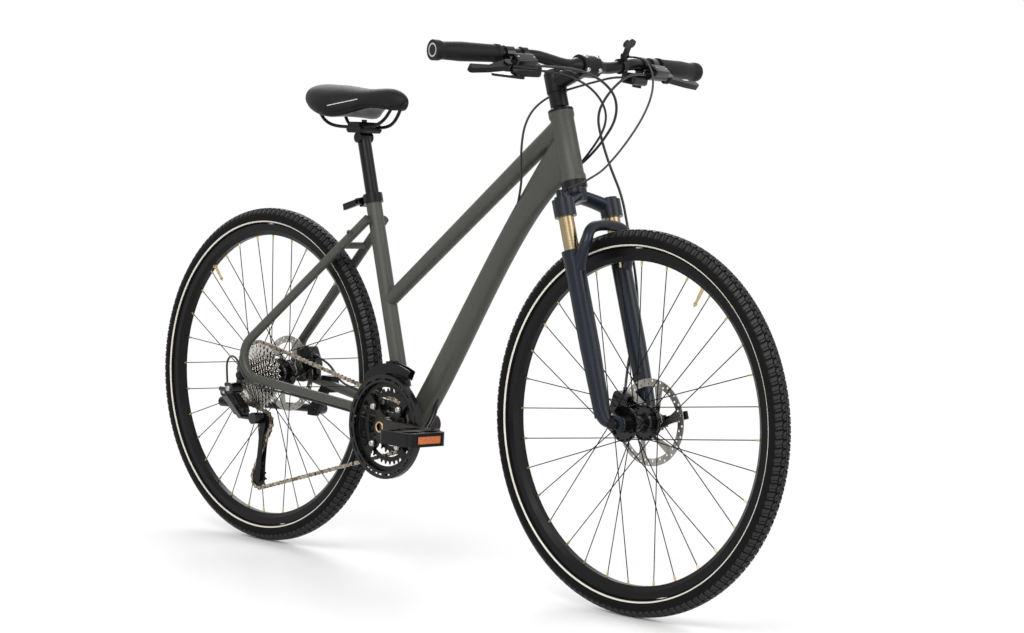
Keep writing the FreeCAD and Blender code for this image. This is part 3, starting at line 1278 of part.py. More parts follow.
def link_plate(inner_face, thick, side):
    """One side plate of a link, with round ends and a drawn-in waist, along X from the first pin."""
    pitch, radius = S.chain_pitch, S.plate_radius
    waist = radius * S.plate_waist_share
    away = radius * math.cos(math.pi / 4)
    up = Vector(0, 0, 1)
    left, right = Vector(0, 0, 0), Vector(pitch, 0, 0)
    top_left, top_right = Vector(away, 0, away), Vector(pitch - away, 0, away)
    low_left, low_right = Vector(away, 0, -away), Vector(pitch - away, 0, -away)
    edges = [Part.Arc(top_left, left - Vector(radius, 0, 0), low_left).toShape(),
             Part.Arc(low_left, Vector(pitch / 2, 0, 0) - up * waist, low_right).toShape(),
             Part.Arc(low_right, right + Vector(radius, 0, 0), top_right).toShape(),
             Part.Arc(top_right, Vector(pitch / 2, 0, 0) + up * waist, top_left).toShape()]
    solid = Part.Face(Part.Wire(edges)).extrude(Vector(0, side * thick, 0))
    solid.translate(Vector(0, side * inner_face, 0))
    return solid


def chain_link(outer):
    """An outer link with its two pins, or an inner link with its two rollers."""
    thick = S.plate_thick
    inner_face = S.inner_plate_in + (thick + S.plate_gap if outer else 0)
    half = inner_face + thick
    plates = [link_plate(inner_face, thick, side) for side in (-1, 1)]
    rounds = []
    for x in (0, S.chain_pitch):
        radius = S.pin_radius if outer else S.roller_radius
        rounds.append(Part.makeCylinder(radius, half * 2, Vector(x, -half, 0), Y_AXIS))
    if outer:
        return plates[0].multiFuse(plates[1:] + rounds)
    rollers = []
    for x in (0, S.chain_pitch):
        width = S.inner_plate_in * 2
        rollers.append(Part.makeCylinder(S.roller_radius, width, Vector(x, -width / 2, 0), Y_AXIS))
    solid = plates[0].multiFuse(plates[1:] + rollers)
    bores = [Part.makeCylinder(S.roller_bore, half * 4, Vector(x, -half * 2, 0),
                               Y_AXIS) for x in (0, S.chain_pitch)]
    return solid.cut(Part.makeCompound(bores))


def chain():
    kinds = [chain_link(True), chain_link(False)]
    links = []
    for number, pin in enumerate(CHAIN_PINS):
        after = CHAIN_PINS[(number + 1) % len(CHAIN_PINS)]
        link = kinds[number % 2].copy()
        turn = Rotation(after - pin, Y_AXIS, Vector(0, 0, 0), "XYZ")
        link.Placement = Placement(pin, turn)
        links.append(link)
    return feature("chain", Part.makeCompound(links))


def cassette():
    """Ten cogs on the freehub, with the lockring outside."""
    cogs = []
    phase = seat_angle_on(REAR_AXLE, pitch_radius(COG_TEETH[0]))
    for number, teeth in enumerate(COG_TEETH):
        cog = sprocket(teeth, S.cog_thick, S.freehub_radius + S.seat_gap, phase)
        cog.translate(REAR_AXLE + Vector(0, -S.cog_first_side - S.cog_pitch * number, 0))
        cogs.append(feature(f"cog_{teeth}", cog))
    bore = S.axle_radius + S.running_fit
    mouth = S.locknut_radius + S.free_gap
    floor = S.rear_hub_length / 2 - S.locknut_length
    body = revolve("freehub", [
        (mouth, -S.freehub_outer), (S.lockring_radius, -S.freehub_outer), (S.freehub_radius,
                                                                           -S.freehub_shoulder),
        (S.freehub_radius, -S.freehub_inner), (bore, -S.freehub_inner), (bore, -floor), (mouth, -floor)])
    body.Placement.Base = REAR_AXLE
    return group("cassette", cogs + [body])


# Cranks
def ring_with_lugs(name, teeth, bore, bolt_circle, side, phase):
    """A chainring: teeth, an open middle and four lugs with bolt holes."""
    ring = sprocket(teeth, S.ring_thick, bore, phase)
    lugs, holes = [], []
    for number in range(4):
        angle = math.pi / 4 + number * math.pi / 2
        centre = polar_point(bolt_circle, angle)
        thick = S.ring_seat_thick
        down = Vector(0, -thick / 2, 0)
        lugs.append(Part.makeCylinder(S.ring_lug_radius, thick, centre + down, Y_AXIS))
        web = Part.makeBox(bore + S.ring_thick - bolt_circle, thick, S.ring_lug_radius * 2,
                           Vector(bolt_circle, -thick / 2, -S.ring_lug_radius))
        web.rotate(Vector(0, 0, 0), Y_AXIS, -math.degrees(angle))
        lugs.append(web)
        holes.append(Part.makeCylinder(S.ring_bolt_radius + S.seat_gap, thick * 2, centre + down * 2,
                                       Y_AXIS))
    made = ring.multiFuse(lugs).cut(Part.makeCompound(holes))
    made.translate(SHELL_CENTRE + Vector(0, side, 0))
    return feature(name, made)


def chainrings():
    line, gap = S.ring_chainline, S.ring_spacing
    phase = seat_angle_on(SHELL_CENTRE, pitch_radius(CHAINRING_TEETH[0]))
    small, middle, large = CHAINRING_TEETH
    rings = [ring_with_lugs("inner_ring", small, S.inner_ring_bore, S.inner_bolt_circle, -(line - gap),
                            phase),
             ring_with_lugs("middle_ring", middle, S.middle_ring_bore, S.ring_bolt_circle, -line, 0),
             ring_with_lugs("outer_ring", large, S.outer_ring_bore, S.ring_bolt_circle, -(line + gap), 0)]
    bolts = []
    seat = S.ring_seat_thick / 2
    for number in range(4):
        angle = math.pi / 4 + number * math.pi / 2
        for circle_radius, outer, inner in ((S.ring_bolt_circle, line + gap + seat, line - seat),
                                            (S.inner_bolt_circle, None, line - gap - seat)):
            start = SHELL_CENTRE + polar_point(circle_radius, angle)
            if outer:
                shank = Part.makeCylinder(S.ring_bolt_radius, outer - inner, start + Vector(0, -outer, 0),
                                          Y_AXIS)
                head = Part.makeCylinder(S.ring_bolt_head_radius, S.ring_bolt_head_thick,
                                         start + Vector(0, -outer, 0), -Y_AXIS)
                socket = Part.makeCylinder(S.ring_bolt_socket, S.ring_bolt_head_thick,
                                           start + Vector(0, -outer - S.ring_bolt_head_thick, 0), Y_AXIS)
                bolts.append(shank.fuse(head).cut(socket))
            else:
                length = S.ring_seat_thick + S.ring_bolt_head_thick
                shank = Part.makeCylinder(S.ring_bolt_radius, length, start + Vector(0, -inner, 0), -Y_AXIS)
                head = Part.makeCylinder(S.ring_bolt_head_radius, S.ring_bolt_head_thick,
                                         start + Vector(0, -inner, 0), Y_AXIS)
                bolts.append(shank.fuse(head))
    return group("chainrings", rings + [feature("ring_bolts", Part.makeCompound(bolts))])


def crank_arm(direction, boss_middle):
    """A tapered arm from the boss to the pedal eye, bowed outward."""
    sections = []
    for share, wide, thick in ((0, S.crank_root_width, S.crank_root_thick),
                               (S.crank_waist_share,
                                S.crank_root_width * S.crank_waist_share + S.crank_tip_width / 2,
                                S.crank_root_thick), (1, S.crank_tip_width, S.crank_end_thick)):
        across = boss_middle + (S.crank_end_middle - boss_middle) * share
        centre = Vector(direction * S.crank_length * share, -across, 0)
        oval = squared_wire(centre, wide / 2, thick / 2, S.crank_corner)
        sections.append(oval)
    return Part.makeLoft(sections, True, False)


def squared_wire(centre, half_tall, half_thick, corner):
    """A rounded rectangle across X, half_tall in Z and half_thick in Y."""
    up, out = Vector(0, 0, half_tall), Vector(0, half_thick, 0)
    round_up, round_out = Vector(0, 0, corner), Vector(0, corner, 0)
    bevel = 1 - math.cos(math.pi / 4)
    edges = []
    signs = ((1, 1), (-1, 1), (-1, -1), (1, -1))
    for number, (a, b) in enumerate(signs):
        tip = centre + up * a + out * b
        middle = tip - (round_up * a + round_out * b) * bevel
        before, after = tip - round_up * a, tip - round_out * b
        if a * b > 0:
            before, after = after, before
        edges.append(Part.Arc(before, middle, after).toShape())
        c, d = signs[(number + 1) % 4]
        nearer = centre + up * c + out * d
        following = nearer - (round_out * d if c * d > 0 else round_up * c)
        edges.append(Part.LineSegment(after, following).toShape())
    return Part.Wire(edges)


def right_crank():
    boss = revolve("right_boss", [
        (0, -S.crank_boss_outer), (S.crank_boss_radius - S.cut_overrun, -S.crank_boss_outer),
        (S.crank_boss_radius, -S.crank_boss_outer + S.cut_overrun), (S.crank_boss_radius,
                                                                     -S.crank_boss_inner),
        (S.spindle_radius, -S.crank_boss_inner), (S.spindle_radius, S.left_boss_outer),
        (0, S.left_boss_outer)])
    outer = S.crank_boss_outer - S.crank_root_thick / 2
    arm = feature("right_arm", crank_arm(1, outer))
    eye = cylinder("right_eye", S.crank_end_radius, S.crank_end_thick,
                   Vector(S.crank_length, -S.crank_end_middle - S.crank_end_thick / 2, 0), Y_AXIS)
    gap = S.ring_spacing - S.ring_seat_thick
    inner = S.ring_chainline + S.ring_seat_thick / 2
    arms = []
    for number in range(4):
        angle = math.pi / 4 + number * math.pi / 2
        end = polar_point(S.ring_bolt_circle, angle)
        web = Part.makeBox(S.ring_bolt_circle, gap, S.spider_arm_width,
                           Vector(0, -inner - gap, -S.spider_arm_width / 2))
        web.rotate(Vector(0, 0, 0), Y_AXIS, -math.degrees(angle))
        eye_disc = Part.makeCylinder(S.spider_arm_width / 2, gap, end + Vector(0, -inner - gap, 0), Y_AXIS)
        low = S.ring_chainline - S.ring_spacing + S.ring_seat_thick / 2
        stand = Part.makeCylinder(S.ring_lug_radius, inner - low,
                                  polar_point(S.inner_bolt_circle, angle) + Vector(0, -inner, 0), Y_AXIS)
        arms += [web, eye_disc, stand]
    spider = feature("spider", arms[0].multiFuse(arms[1:]))
    holes = []
    for number in range(4):
        angle = math.pi / 4 + number * math.pi / 2
        for radius in (S.ring_bolt_circle, S.inner_bolt_circle):
            start = polar_point(radius, angle) + Vector(0, -inner - gap - S.cut_overrun, 0)
            depth = gap + S.cut_overrun * 2
            if radius == S.inner_bolt_circle:
                start = polar_point(radius, angle) + Vector(0, -low - S.ring_bolt_head_thick - S.seat_gap, 0)
                depth = S.ring_bolt_head_thick + S.cut_overrun
            holes.append(Part.makeCylinder(S.ring_bolt_radius + S.seat_gap, depth, start, Y_AXIS))
    socket = Part.makeCylinder(S.crank_centre_bore, S.crank_bore_depth, Vector(0, -S.crank_boss_outer, 0),
                               Y_AXIS)
    thread = Part.makeCylinder(S.pedal_thread_radius + S.seat_gap, S.crank_end_thick * 3,
                               Vector(S.crank_length, -S.crank_end_middle - S.crank_end_thick * 1.5,
                                      0), Y_AXIS)
    tools = feature("right_crank_holes", Part.makeCompound(holes + [socket, thread]))
    made = cut("right_crank_arm", fuse("right_crank_full", [boss, arm, eye, spider]), [tools])
    both = group("right_crank", [made, pedal_axle("right", 1)])
    both.Placement.Base = SHELL_CENTRE
    return both


def left_crank():
    bore = S.spindle_radius + S.seat_gap
    boss = revolve("left_boss", [(bore, S.left_boss_inner), (S.crank_boss_radius, S.left_boss_inner),
                                 (S.crank_boss_radius, S.left_boss_outer), (bore, S.left_boss_outer)])
    shape = crank_arm(-1, S.left_boss_outer - S.crank_root_thick / 2 - S.cut_overrun)
    arm = feature("left_arm", shape.mirror(Vector(0, 0, 0), Y_AXIS))
    eye = cylinder("left_eye", S.crank_end_radius, S.crank_end_thick,
                   Vector(-S.crank_length, S.crank_end_middle - S.crank_end_thick / 2, 0), Y_AXIS)
    thread = cylinder("left_thread", S.pedal_thread_radius + S.seat_gap, S.crank_end_thick * 3,
                      Vector(-S.crank_length, S.crank_end_middle - S.crank_end_thick * 1.5, 0), Y_AXIS)
    middle = cylinder("left_spindle_bore", bore, S.left_boss_outer + S.cut_overrun, Vector(0, 0, 0), Y_AXIS)
    made = cut("left_crank_arm", fuse("left_crank_full", [boss, arm, eye]), [thread, middle])
    both = group("left_crank", [made, pedal_axle("left", -1)])
    both.Placement.Base = SHELL_CENTRE
    return both


def pedal_axle(word, direction):
    """The axle that is screwed into a crank's eye: right where direction is 1."""
    inner = S.crank_end_middle - S.crank_end_thick / 2
    face = S.crank_end_middle + S.crank_end_thick / 2
    tip = face + S.pedal_start + S.pedal_length - S.pedal_rib
    points = [(0, -inner), (0, -tip), (S.pedal_axle_radius, -tip),
              (S.pedal_axle_radius, -face - S.pedal_start),
              (S.pedal_collar_radius, -face - S.pedal_start), (S.pedal_collar_radius, -face),
              (S.pedal_thread_radius, -face), (S.pedal_thread_radius, -inner)]
    axle = revolve(f"pedal_axle_{word}_turned", points)
    axle.Placement.Base = Vector(S.crank_length, 0, 0)
    if direction > 0:
        return axle
    flipped = DOC.addObject("Part::Mirroring", f"pedal_axle_{word}")
    flipped.Source = axle
    flipped.Normal = Vector(0, 1, 0)
    back = group(f"pedal_axle_{word}_place", [flipped])
    back.Placement.Base = Vector(-S.crank_length * 2, 0, 0)
    return back


def chain_guard():
    """A thin ring outside the large chainring, with slots and a lip over the teeth."""
    side = S.ring_chainline + S.ring_spacing + S.ring_seat_thick / 2
    face = side + S.guard_lip
    ring = revolve("chain_guard_turned", [
        (S.guard_bore, -face), (S.guard_radius, -face), (S.guard_radius, -side + S.guard_lip / 2),
        (S.guard_radius - S.guard_lip_wall, -side + S.guard_lip / 2),
        (S.guard_radius - S.guard_lip_wall, -face + S.guard_thick), (S.guard_bore, -face + S.guard_thick)])
    slots = []
    low = (S.guard_bore + S.guard_radius - S.guard_lip_wall) / 2 - S.guard_slot_width / 2
    for number in range(int(S.guard_slot_count)):
        outer = Part.makeCylinder(low + S.guard_slot_width, S.guard_lip,
                                  Vector(0, -face - S.guard_lip / 2, 0), Y_AXIS,
                                  S.guard_slot_angle)
        inner = Part.makeCylinder(low, S.guard_lip, Vector(0, -face - S.guard_lip / 2, 0), Y_AXIS,
                                  S.guard_slot_angle)
        slot = outer.cut(inner)
        slot.rotate(Vector(0, 0, 0), Y_AXIS, number * 360 / float(S.guard_slot_count))
        slots.append(slot)
    stands = []
    for number in range(4):
        angle = math.pi / 4 + number * math.pi / 2
        foot = polar_point(S.guard_bore + S.guard_stand_radius / 2, angle)
        start = foot + Vector(0, -face + S.guard_thick / 2, 0)
        reach = face - S.guard_thick / 2 - (S.ring_chainline + S.ring_spacing + S.ring_thick / 2)
        stands.append(Part.makeCylinder(S.guard_stand_radius, reach, start, Y_AXIS))
    whole = fuse("chain_guard_full", [ring, feature("guard_stands", Part.makeCompound(stands))])
    made = cut("chain_guard", whole, [feature("guard_slots", Part.makeCompound(slots))])
    made.Placement.Base = SHELL_CENTRE
    return made


# Pedals
def pedal(word, side):
    """A moulded platform with two windows, a bore for the axle and a reflector at each end."""
    face = S.crank_end_middle + S.crank_end_thick / 2 + S.pedal_start + S.free_gap
    half, low, high = S.pedal_width / 2, face, face + S.pedal_length - S.free_gap
    turn = S.pedal_corner
    points = [(-half + turn, -low), (-half, -low - turn), (-half, -high + turn), (-half + turn, -high),
              (half - turn, -high), (half, -high + turn), (half, -low - turn), (half - turn, -low)]
    body = plate(f"{word}_platform_pad", points, S.pedal_height, arcs={0: turn, 2: turn, 4: turn, 6: turn},
                 role="XY_Plane")
    inner, outer = S.pedal_tube_radius, half - S.pedal_wall
    rib = (high - low) / 2

    def windows(sketch):
        for sign in (-1, 1):
            for start in (low + S.pedal_rib, low + rib + S.pedal_rib / 2):
                end = start + rib - S.pedal_rib * 1.5
                outline(sketch, [(sign * inner, -start), (sign * inner, -end), (sign * outer, -end),
                                 (sign * outer, -start)])

    pocket(body, windows, role="XY_Plane")
    reflectors = []
    middle = (low + high) / 2
    for sign in (-1, 1):
        box = DOC.addObject("Part::Box", f"{word}_reflector_{'rear' if sign < 0 else 'front'}")
        bind(box, "Length", S.reflector_thick)
        bind(box, "Width", S.reflector_length)
        bind(box, "Height", S.reflector_height)
        start = half - S.reflector_sink if sign > 0 else -half + S.reflector_sink - S.reflector_thick
        box.Placement.Base = Vector(start, -middle - S.reflector_length / 2, -S.reflector_height / 2)
        reflectors.append(box)
    bore = cylinder(f"{word}_pedal_bore", S.pedal_axle_radius + S.running_fit,
                    S.pedal_length - S.pedal_rib + S.free_gap,
                    Vector(0, -face + S.free_gap, 0), -Y_AXIS)
    platform = cut(f"{word}_platform", body, [bore] + reflectors)
    whole = group(f"{word}_pedal_pieces", [platform] + reflectors)
    if side > 0:
        whole = mirror(f"{word}_pedal_flipped", whole)
    made = group(f"{word}_pedal", [whole])
    made.Placement.Base = SHELL_CENTRE + Vector(-side * S.crank_length, 0, 0)
    return made


# Rear derailleur
HANGER = REAR_AXLE + Vector(-S.hanger_back, -S.rear_hub_length / 2 - S.dropout_thick, -S.hanger_drop)
LINK_RUN = Vector(0, S.link_length_side, -S.link_length_drop)
LINK_STEP = Vector(0, S.link_offset_side, S.link_offset_rise)
OUTER_PIVOT = HANGER + Vector(-S.link_pivot_back, -S.knuckle_reach + S.link_end_radius + S.link_pivot_side,
                              -S.link_pivot_drop)
INNER_PIVOT = OUTER_PIVOT + LINK_STEP
GUIDE, TENSION = cage_centres(CAGE_ANGLE)
CAGE_PIVOT = GUIDE + Vector(-S.cage_pivot_back, 0, S.cage_pivot_rise)


def link_lug(at):
    """A lug between a link's ears, with the pin through it."""
    wide = S.link_width - S.link_ear * 2 - S.free_gap
    lug = Part.makeCylinder(S.link_end_radius - S.link_ear / 2, wide, at - X_AXIS * (wide / 2), X_AXIS)
    pin = Part.makeCylinder(S.link_pin_radius, S.link_width, at - X_AXIS * (S.link_width / 2), X_AXIS)
    return lug.fuse(pin)


def link_piece(name, pivot):
    """A derailleur link: two round ends with ears that take the pins, and a web between them."""
    radius, wide = S.link_end_radius, S.link_width
    start = pivot - X_AXIS * (wide / 2)
    ends = [Part.makeCylinder(radius, wide, start + shift, X_AXIS) for shift in (Vector(0, 0, 0), LINK_RUN)]
    web = Part.makeBox(wide, LINK_RUN.Length, radius * 2, Vector(-wide / 2, 0, -radius))
    web.Placement = Placement(pivot,
                              Rotation(X_AXIS, LINK_RUN, Vector(0, 0, 0), "YXZ")).multiply(web.Placement)
    room = (radius + S.free_gap) * 2
    gap = wide - S.link_ear * 2
    tools = []
    for shift in (Vector(0, 0, 0), LINK_RUN):
        tools.append(Part.makeCylinder(S.link_pin_radius + S.running_fit, wide * 2,
                                       start + shift - X_AXIS * wide / 2,
                                       X_AXIS))
        tools.append(Part.makeCylinder(room / 2, gap, pivot + shift - X_AXIS * (gap / 2), X_AXIS))
    return feature(name, web.multiFuse(ends).cut(Part.makeCompound(tools)))


LINK_SLAB = S.link_end_radius - S.link_ear / 2
LINK_STEP_OUT = Vector(LINK_RUN).normalize() * (S.link_end_radius + LINK_SLAB + S.link_bar_gap)


def link_neck(start, end):
    """The neck from a lug to its cross bar, as wide as the lug."""
    wide = S.link_width - S.link_ear * 2 - S.free_gap
    run = end - start
    neck = Part.makeBox(wide, run.Length, LINK_SLAB * 2, Vector(-wide / 2, 0, -LINK_SLAB))
    neck.Placement = Placement(start, Rotation(X_AXIS, run, Vector(0, 0, 0), "YXZ")).multiply(neck.Placement)
    return neck


def link_bar(root, ahead):
    """A round bar along X from behind a neck to a barrel ahead of it."""
    wide = S.link_width - S.link_ear * 2 - S.free_gap
    return Part.makeCylinder(LINK_SLAB, ahead - root.x + wide / 2, root - X_AXIS * (wide / 2), X_AXIS)


def derailleur_knuckle():
    """The piece on the hanger: the bolt, its barrel and the lugs of the two links."""
    reach = S.knuckle_reach
    barrel = Part.makeCylinder(S.knuckle_radius, reach, HANGER, -Y_AXIS)
    bolt = Part.makeCylinder(S.hanger_bolt_radius, S.dropout_thick, HANGER, Y_AXIS)
    outer, inner = OUTER_PIVOT, INNER_PIVOT
    pieces = [bolt, link_lug(outer), link_lug(inner)]
    for pivot in (outer, inner):
        root = pivot - LINK_STEP_OUT
        pieces += [link_neck(pivot, root), link_bar(root, HANGER.x)]
    made = barrel.multiFuse(pieces)
    return feature("derailleur_knuckle", made)


def derailleur_body():
    """The lower knuckle: the links' far lugs and the barrel that the cage turns on."""
    outer, inner = OUTER_PIVOT + LINK_RUN, INNER_PIVOT + LINK_RUN
    face = -S.cog_first_side - S.cage_half_gap - S.cage_plate_thick - S.free_gap / 2
    barrel_start = Vector(CAGE_PIVOT.x, face, CAGE_PIVOT.z)
    length = face - outer.y + LINK_SLAB
    barrel = Part.makeCylinder(S.knuckle_radius, length, barrel_start, -Y_AXIS)
    roots = [pivot + LINK_STEP_OUT for pivot in (outer, inner)]
    made = barrel.multiFuse([link_lug(outer), link_lug(inner), link_neck(outer, roots[0]),
                             link_neck(inner, roots[1]),
                             link_neck(roots[0], roots[1]), link_bar(roots[0], CAGE_PIVOT.x)])
    pin = Part.makeCylinder(S.link_pin_radius * 2 + S.running_fit, length / 2, barrel_start, -Y_AXIS)
    return feature("derailleur_body", made.cut(pin))


def cage_plate(side):
    """One cage plate: round ends about the pulleys, drawn in between."""
    run = TENSION - GUIDE
    along = Vector(run.x, 0, run.z).normalize()
    across = Vector(-along.z, 0, along.x)
    radius = S.cage_plate_radius
    middle = (GUIDE + TENSION) * 0.5
    waist = radius * S.cage_waist_share
    corners = [GUIDE + across * radius, GUIDE - across * radius, TENSION - across * radius,
               TENSION + across * radius]
    edges = [Part.Arc(corners[0], GUIDE - along * radius, corners[1]).toShape(),
             Part.Arc(corners[1], middle - across * waist, corners[2]).toShape(),
             Part.Arc(corners[2], TENSION + along * radius, corners[3]).toShape(),
             Part.Arc(corners[3], middle + across * waist, corners[0]).toShape()]
    solid = Part.Face(Part.Wire(edges)).extrude(Vector(0, side * S.cage_plate_thick, 0))
    solid.translate(Vector(0, -S.cog_first_side + side * S.cage_half_gap, 0))
    return solid


def derailleur_cage():
    half = S.cage_half_gap + S.cage_plate_thick
    plates = [cage_plate(-1), cage_plate(1)]
    bolts = [Part.makeCylinder(S.cage_bolt_radius, half * 2,
                               centre + Vector(0, -S.cog_first_side - half, 0), Y_AXIS)
             for centre in (GUIDE, TENSION)]
    disc = Vector(CAGE_PIVOT.x, -S.cog_first_side - S.cage_half_gap, CAGE_PIVOT.z)
    round_plate = Part.makeCylinder(S.cage_plate_radius, S.cage_plate_thick, disc, -Y_AXIS)
    outer = OUTER_PIVOT + LINK_RUN
    pin_length = (disc.y - outer.y) / 2
    pin = Part.makeCylinder(S.link_pin_radius * 2, pin_length, disc, -Y_AXIS)
    return feature("derailleur_cage", plates[0].multiFuse(plates[1:] + bolts + [round_plate, pin]))


def pulley(name, centre):
    phase = seat_angle_on(centre, pitch_radius(S.pulley_teeth))
    wheel_disc = sprocket(int(S.pulley_teeth), S.pulley_thick, S.pulley_bore, phase)
    boss = Part.makeCylinder(S.pulley_boss_radius, S.pulley_boss_half * 2,
                             Vector(0, -S.pulley_boss_half, 0), Y_AXIS)
    bore = Part.makeCylinder(S.pulley_bore, S.pulley_boss_half * 4, Vector(0, -S.pulley_boss_half * 2, 0),
                             Y_AXIS)
    made = wheel_disc.fuse(boss).cut(bore)
    made.translate(centre + Vector(0, -S.cog_first_side, 0))
    return feature(name, made)


# Front derailleur
MECH_CENTRE = SHELL_CENTRE + SEAT_UP * S.mech_height
MECH_PIVOT = MECH_CENTRE + Vector(0, -S.mech_pivot_side, 0)
MECH_LINK = Vector(0, S.mech_link_side, S.mech_link_rise)


def mech_clamp():
    """The band round the seat tube with the lug that carries the link."""
    bore = S.seat_tube_radius + S.seat_gap
    band = revolve("mech_band", [
        (bore, -S.mech_band_height / 2), (bore + S.mech_band_thick, -S.mech_band_height / 2),
        (bore + S.mech_band_thick, S.mech_band_height / 2), (bore, S.mech_band_height / 2)], upright=True)
    band.Placement = Placement(MECH_CENTRE, SEAT_TURN)
    wide = S.link_width - S.link_ear * 2 - S.free_gap
    slab = S.link_end_radius - S.link_ear / 2
    lug = link_lug(MECH_PIVOT)
    reach = S.mech_pivot_side - S.seat_tube_radius
    block = Part.makeBox(wide, reach, slab, MECH_PIVOT - Vector(wide / 2, 0, slab))
    tube = Part.makeCylinder(bore, S.mech_height * 2, SHELL_CENTRE, SEAT_UP)
    arm = feature("mech_lug", block.fuse(lug).cut(tube))
    return fuse("front_derailleur_clamp", [band, arm])


def mech_link():
    radius, wide = S.link_end_radius, S.link_width
    start = MECH_PIVOT - X_AXIS * (wide / 2)
    ends = [Part.makeCylinder(radius, wide, start + shift, X_AXIS) for shift in (Vector(0, 0, 0), MECH_LINK)]
    web = Part.makeBox(wide, MECH_LINK.Length, radius * 2, Vector(-wide / 2, 0, -radius))
    web.Placement = Placement(MECH_PIVOT,
                              Rotation(X_AXIS, MECH_LINK, Vector(0, 0, 0), "YXZ")).multiply(web.Placement)
    gap = wide - S.link_ear * 2
    tools = []
    for shift in (Vector(0, 0, 0), MECH_LINK):
        tools.append(Part.makeCylinder(S.link_pin_radius + S.running_fit, wide * 2,
                                       start + shift - X_AXIS * wide / 2,
                                       X_AXIS))
        tools.append(Part.makeCylinder(radius + S.free_gap, gap, MECH_PIVOT + shift - X_AXIS * (gap / 2),
                                       X_AXIS))
    return feature("front_derailleur_link", web.multiFuse(ends).cut(Part.makeCompound(tools)))


def mech_cage():
    """Two curved plates either side of the chain, the inner one deeper, joined across the top."""
    low = S.guard_radius + S.mech_guard_clearance
    high = low + S.mech_cage_depth
    first, last = math.radians(S.mech_start_angle), math.radians(S.mech_end_angle)
    middle = (first + last) / 2

    def arc(radius):
        return Part.Arc(*[polar_point(radius, angle) for angle in (first, middle, last)]).toShape()

    tips = [polar_point(radius, angle) for radius in (low, high) for angle in (first, last)]
    side = S.ring_chainline - S.ring_spacing
    thick = S.mech_plate_thick
    plates = []
    for sign, tail_radius in ((-1, low + S.mech_tail_rise), (1, low - S.mech_tail_drop)):
        tail = polar_point(tail_radius, last + math.radians(S.mech_tail_angle))
        edges = [arc(low), Part.LineSegment(tips[1], tail).toShape(),
                 Part.LineSegment(tail, tips[3]).toShape(), arc(high),
                 Part.LineSegment(tips[2], tips[0]).toShape()]
        face = Part.Face(Part.Wire(Part.__sortEdges__(edges)))
        solid = face.extrude(Vector(0, sign * thick, 0))
        solid.translate(SHELL_CENTRE + Vector(0, -side + sign * S.mech_cage_gap / 2, 0))
        plates.append(solid)
    wide = S.mech_cage_gap + thick * 2
    bridges = []
    for angle in (first + (last - first) * S.mech_bridge_share, last - (last - first) * S.mech_bridge_share):
        start = SHELL_CENTRE + polar_point(high - S.mech_bridge_radius * 2,
                                           angle) + Vector(0, -side - wide / 2, 0)
        bridges.append(Part.makeCylinder(S.mech_bridge_radius, wide, start, Y_AXIS))
    at = MECH_PIVOT + MECH_LINK
    inner_plate = -side + S.mech_cage_gap / 2 + thick
    slab = S.link_end_radius - S.link_ear / 2
    lug_wide = S.link_width - S.link_ear * 2 - S.free_gap
    arm = Part.makeBox(lug_wide, at.y - inner_plate + thick, slab,
                       Vector(at.x - lug_wide / 2, inner_plate - thick, at.z))
    return feature("front_derailleur_cage", plates[0].multiFuse(plates[1:] + bridges + [arm, link_lug(at)]))


# Seatpost, clamp and saddle
POST_TOP = SHELL_CENTRE + SEAT_UP * (S.seat_tube_length + S.post_exposed)


def seatpost():
    """The post with its barrel and lower cradle, the cap over the rails and the bolt through both."""
    low, high = S.seat_tube_length - S.post_inserted, S.seat_tube_length + S.post_exposed
    wall = S.post_radius - S.post_bore
    tube = revolve("post_tube", [(S.post_bore, low), (S.post_radius, low), (S.post_radius, high), (0, high),
                                 (0, high - wall), (S.post_bore, high - wall)], upright=True)
    tube.Placement = SEAT
    barrel = cylinder("post_barrel", S.post_barrel_radius, S.post_barrel_width,
                      POST_TOP - Y_AXIS * (S.post_barrel_width / 2), Y_AXIS)
    half, top = S.cradle_length / 2, S.rail_height - S.cradle_gap / 2
    low, chamfer = S.rail_height - S.cradle_height, S.cradle_chamfer
    cradle = plate("post_cradle", [(-half, low + chamfer), (-half + chamfer, low), (half - chamfer, low),
                                   (half, low + chamfer), (half, top), (-half, top)], S.cradle_width)
    cradle.Placement.Base = POST_TOP
    start, end = S.rail_height + S.cradle_gap / 2, S.rail_height + S.cap_height
    half = S.cap_length / 2
    cap = plate("post_cap_block",
                [(-half, start), (half, start), (half, end - chamfer), (half - chamfer, end),
                                   (-half + chamfer, end), (-half, end - chamfer)], S.cradle_width)
    cap.Placement.Base = POST_TOP
    grooves = []
    for number, side in enumerate((-1, 1)):
        place = POST_TOP + Vector(-S.cradle_length, side * S.rail_spacing / 2, S.rail_height)
        grooves.append(cylinder(f"rail_groove_{number}", S.rail_radius + S.seat_gap, S.cradle_length * 2,
                                place, X_AXIS))
    foot = POST_TOP + Vector(0, 0, S.rail_height - S.cradle_height / 2)
    shank = S.cap_height + S.cradle_height / 2
    hole = cylinder("post_bolt_hole", S.post_bolt_radius + S.seat_gap, shank + S.cut_overrun, foot,
                    Vector(0, 0, 1))
    bolt = revolve("post_bolt", [(0, 0), (S.post_bolt_radius, 0), (S.post_bolt_radius, shank),
                                 (S.post_bolt_head_radius, shank), (S.post_bolt_head_radius,
                                                                    shank + S.post_bolt_head_height),
                                 (0, shank + S.post_bolt_head_height)], upright=True)
    bolt.Placement.Base = foot
    post = cut("post_body", fuse("post_full", [tube, barrel, cradle]), grooves + [hole])
    held = cut("post_cap", cap, grooves + [hole])
    return group("seatpost", [post, held, bolt])


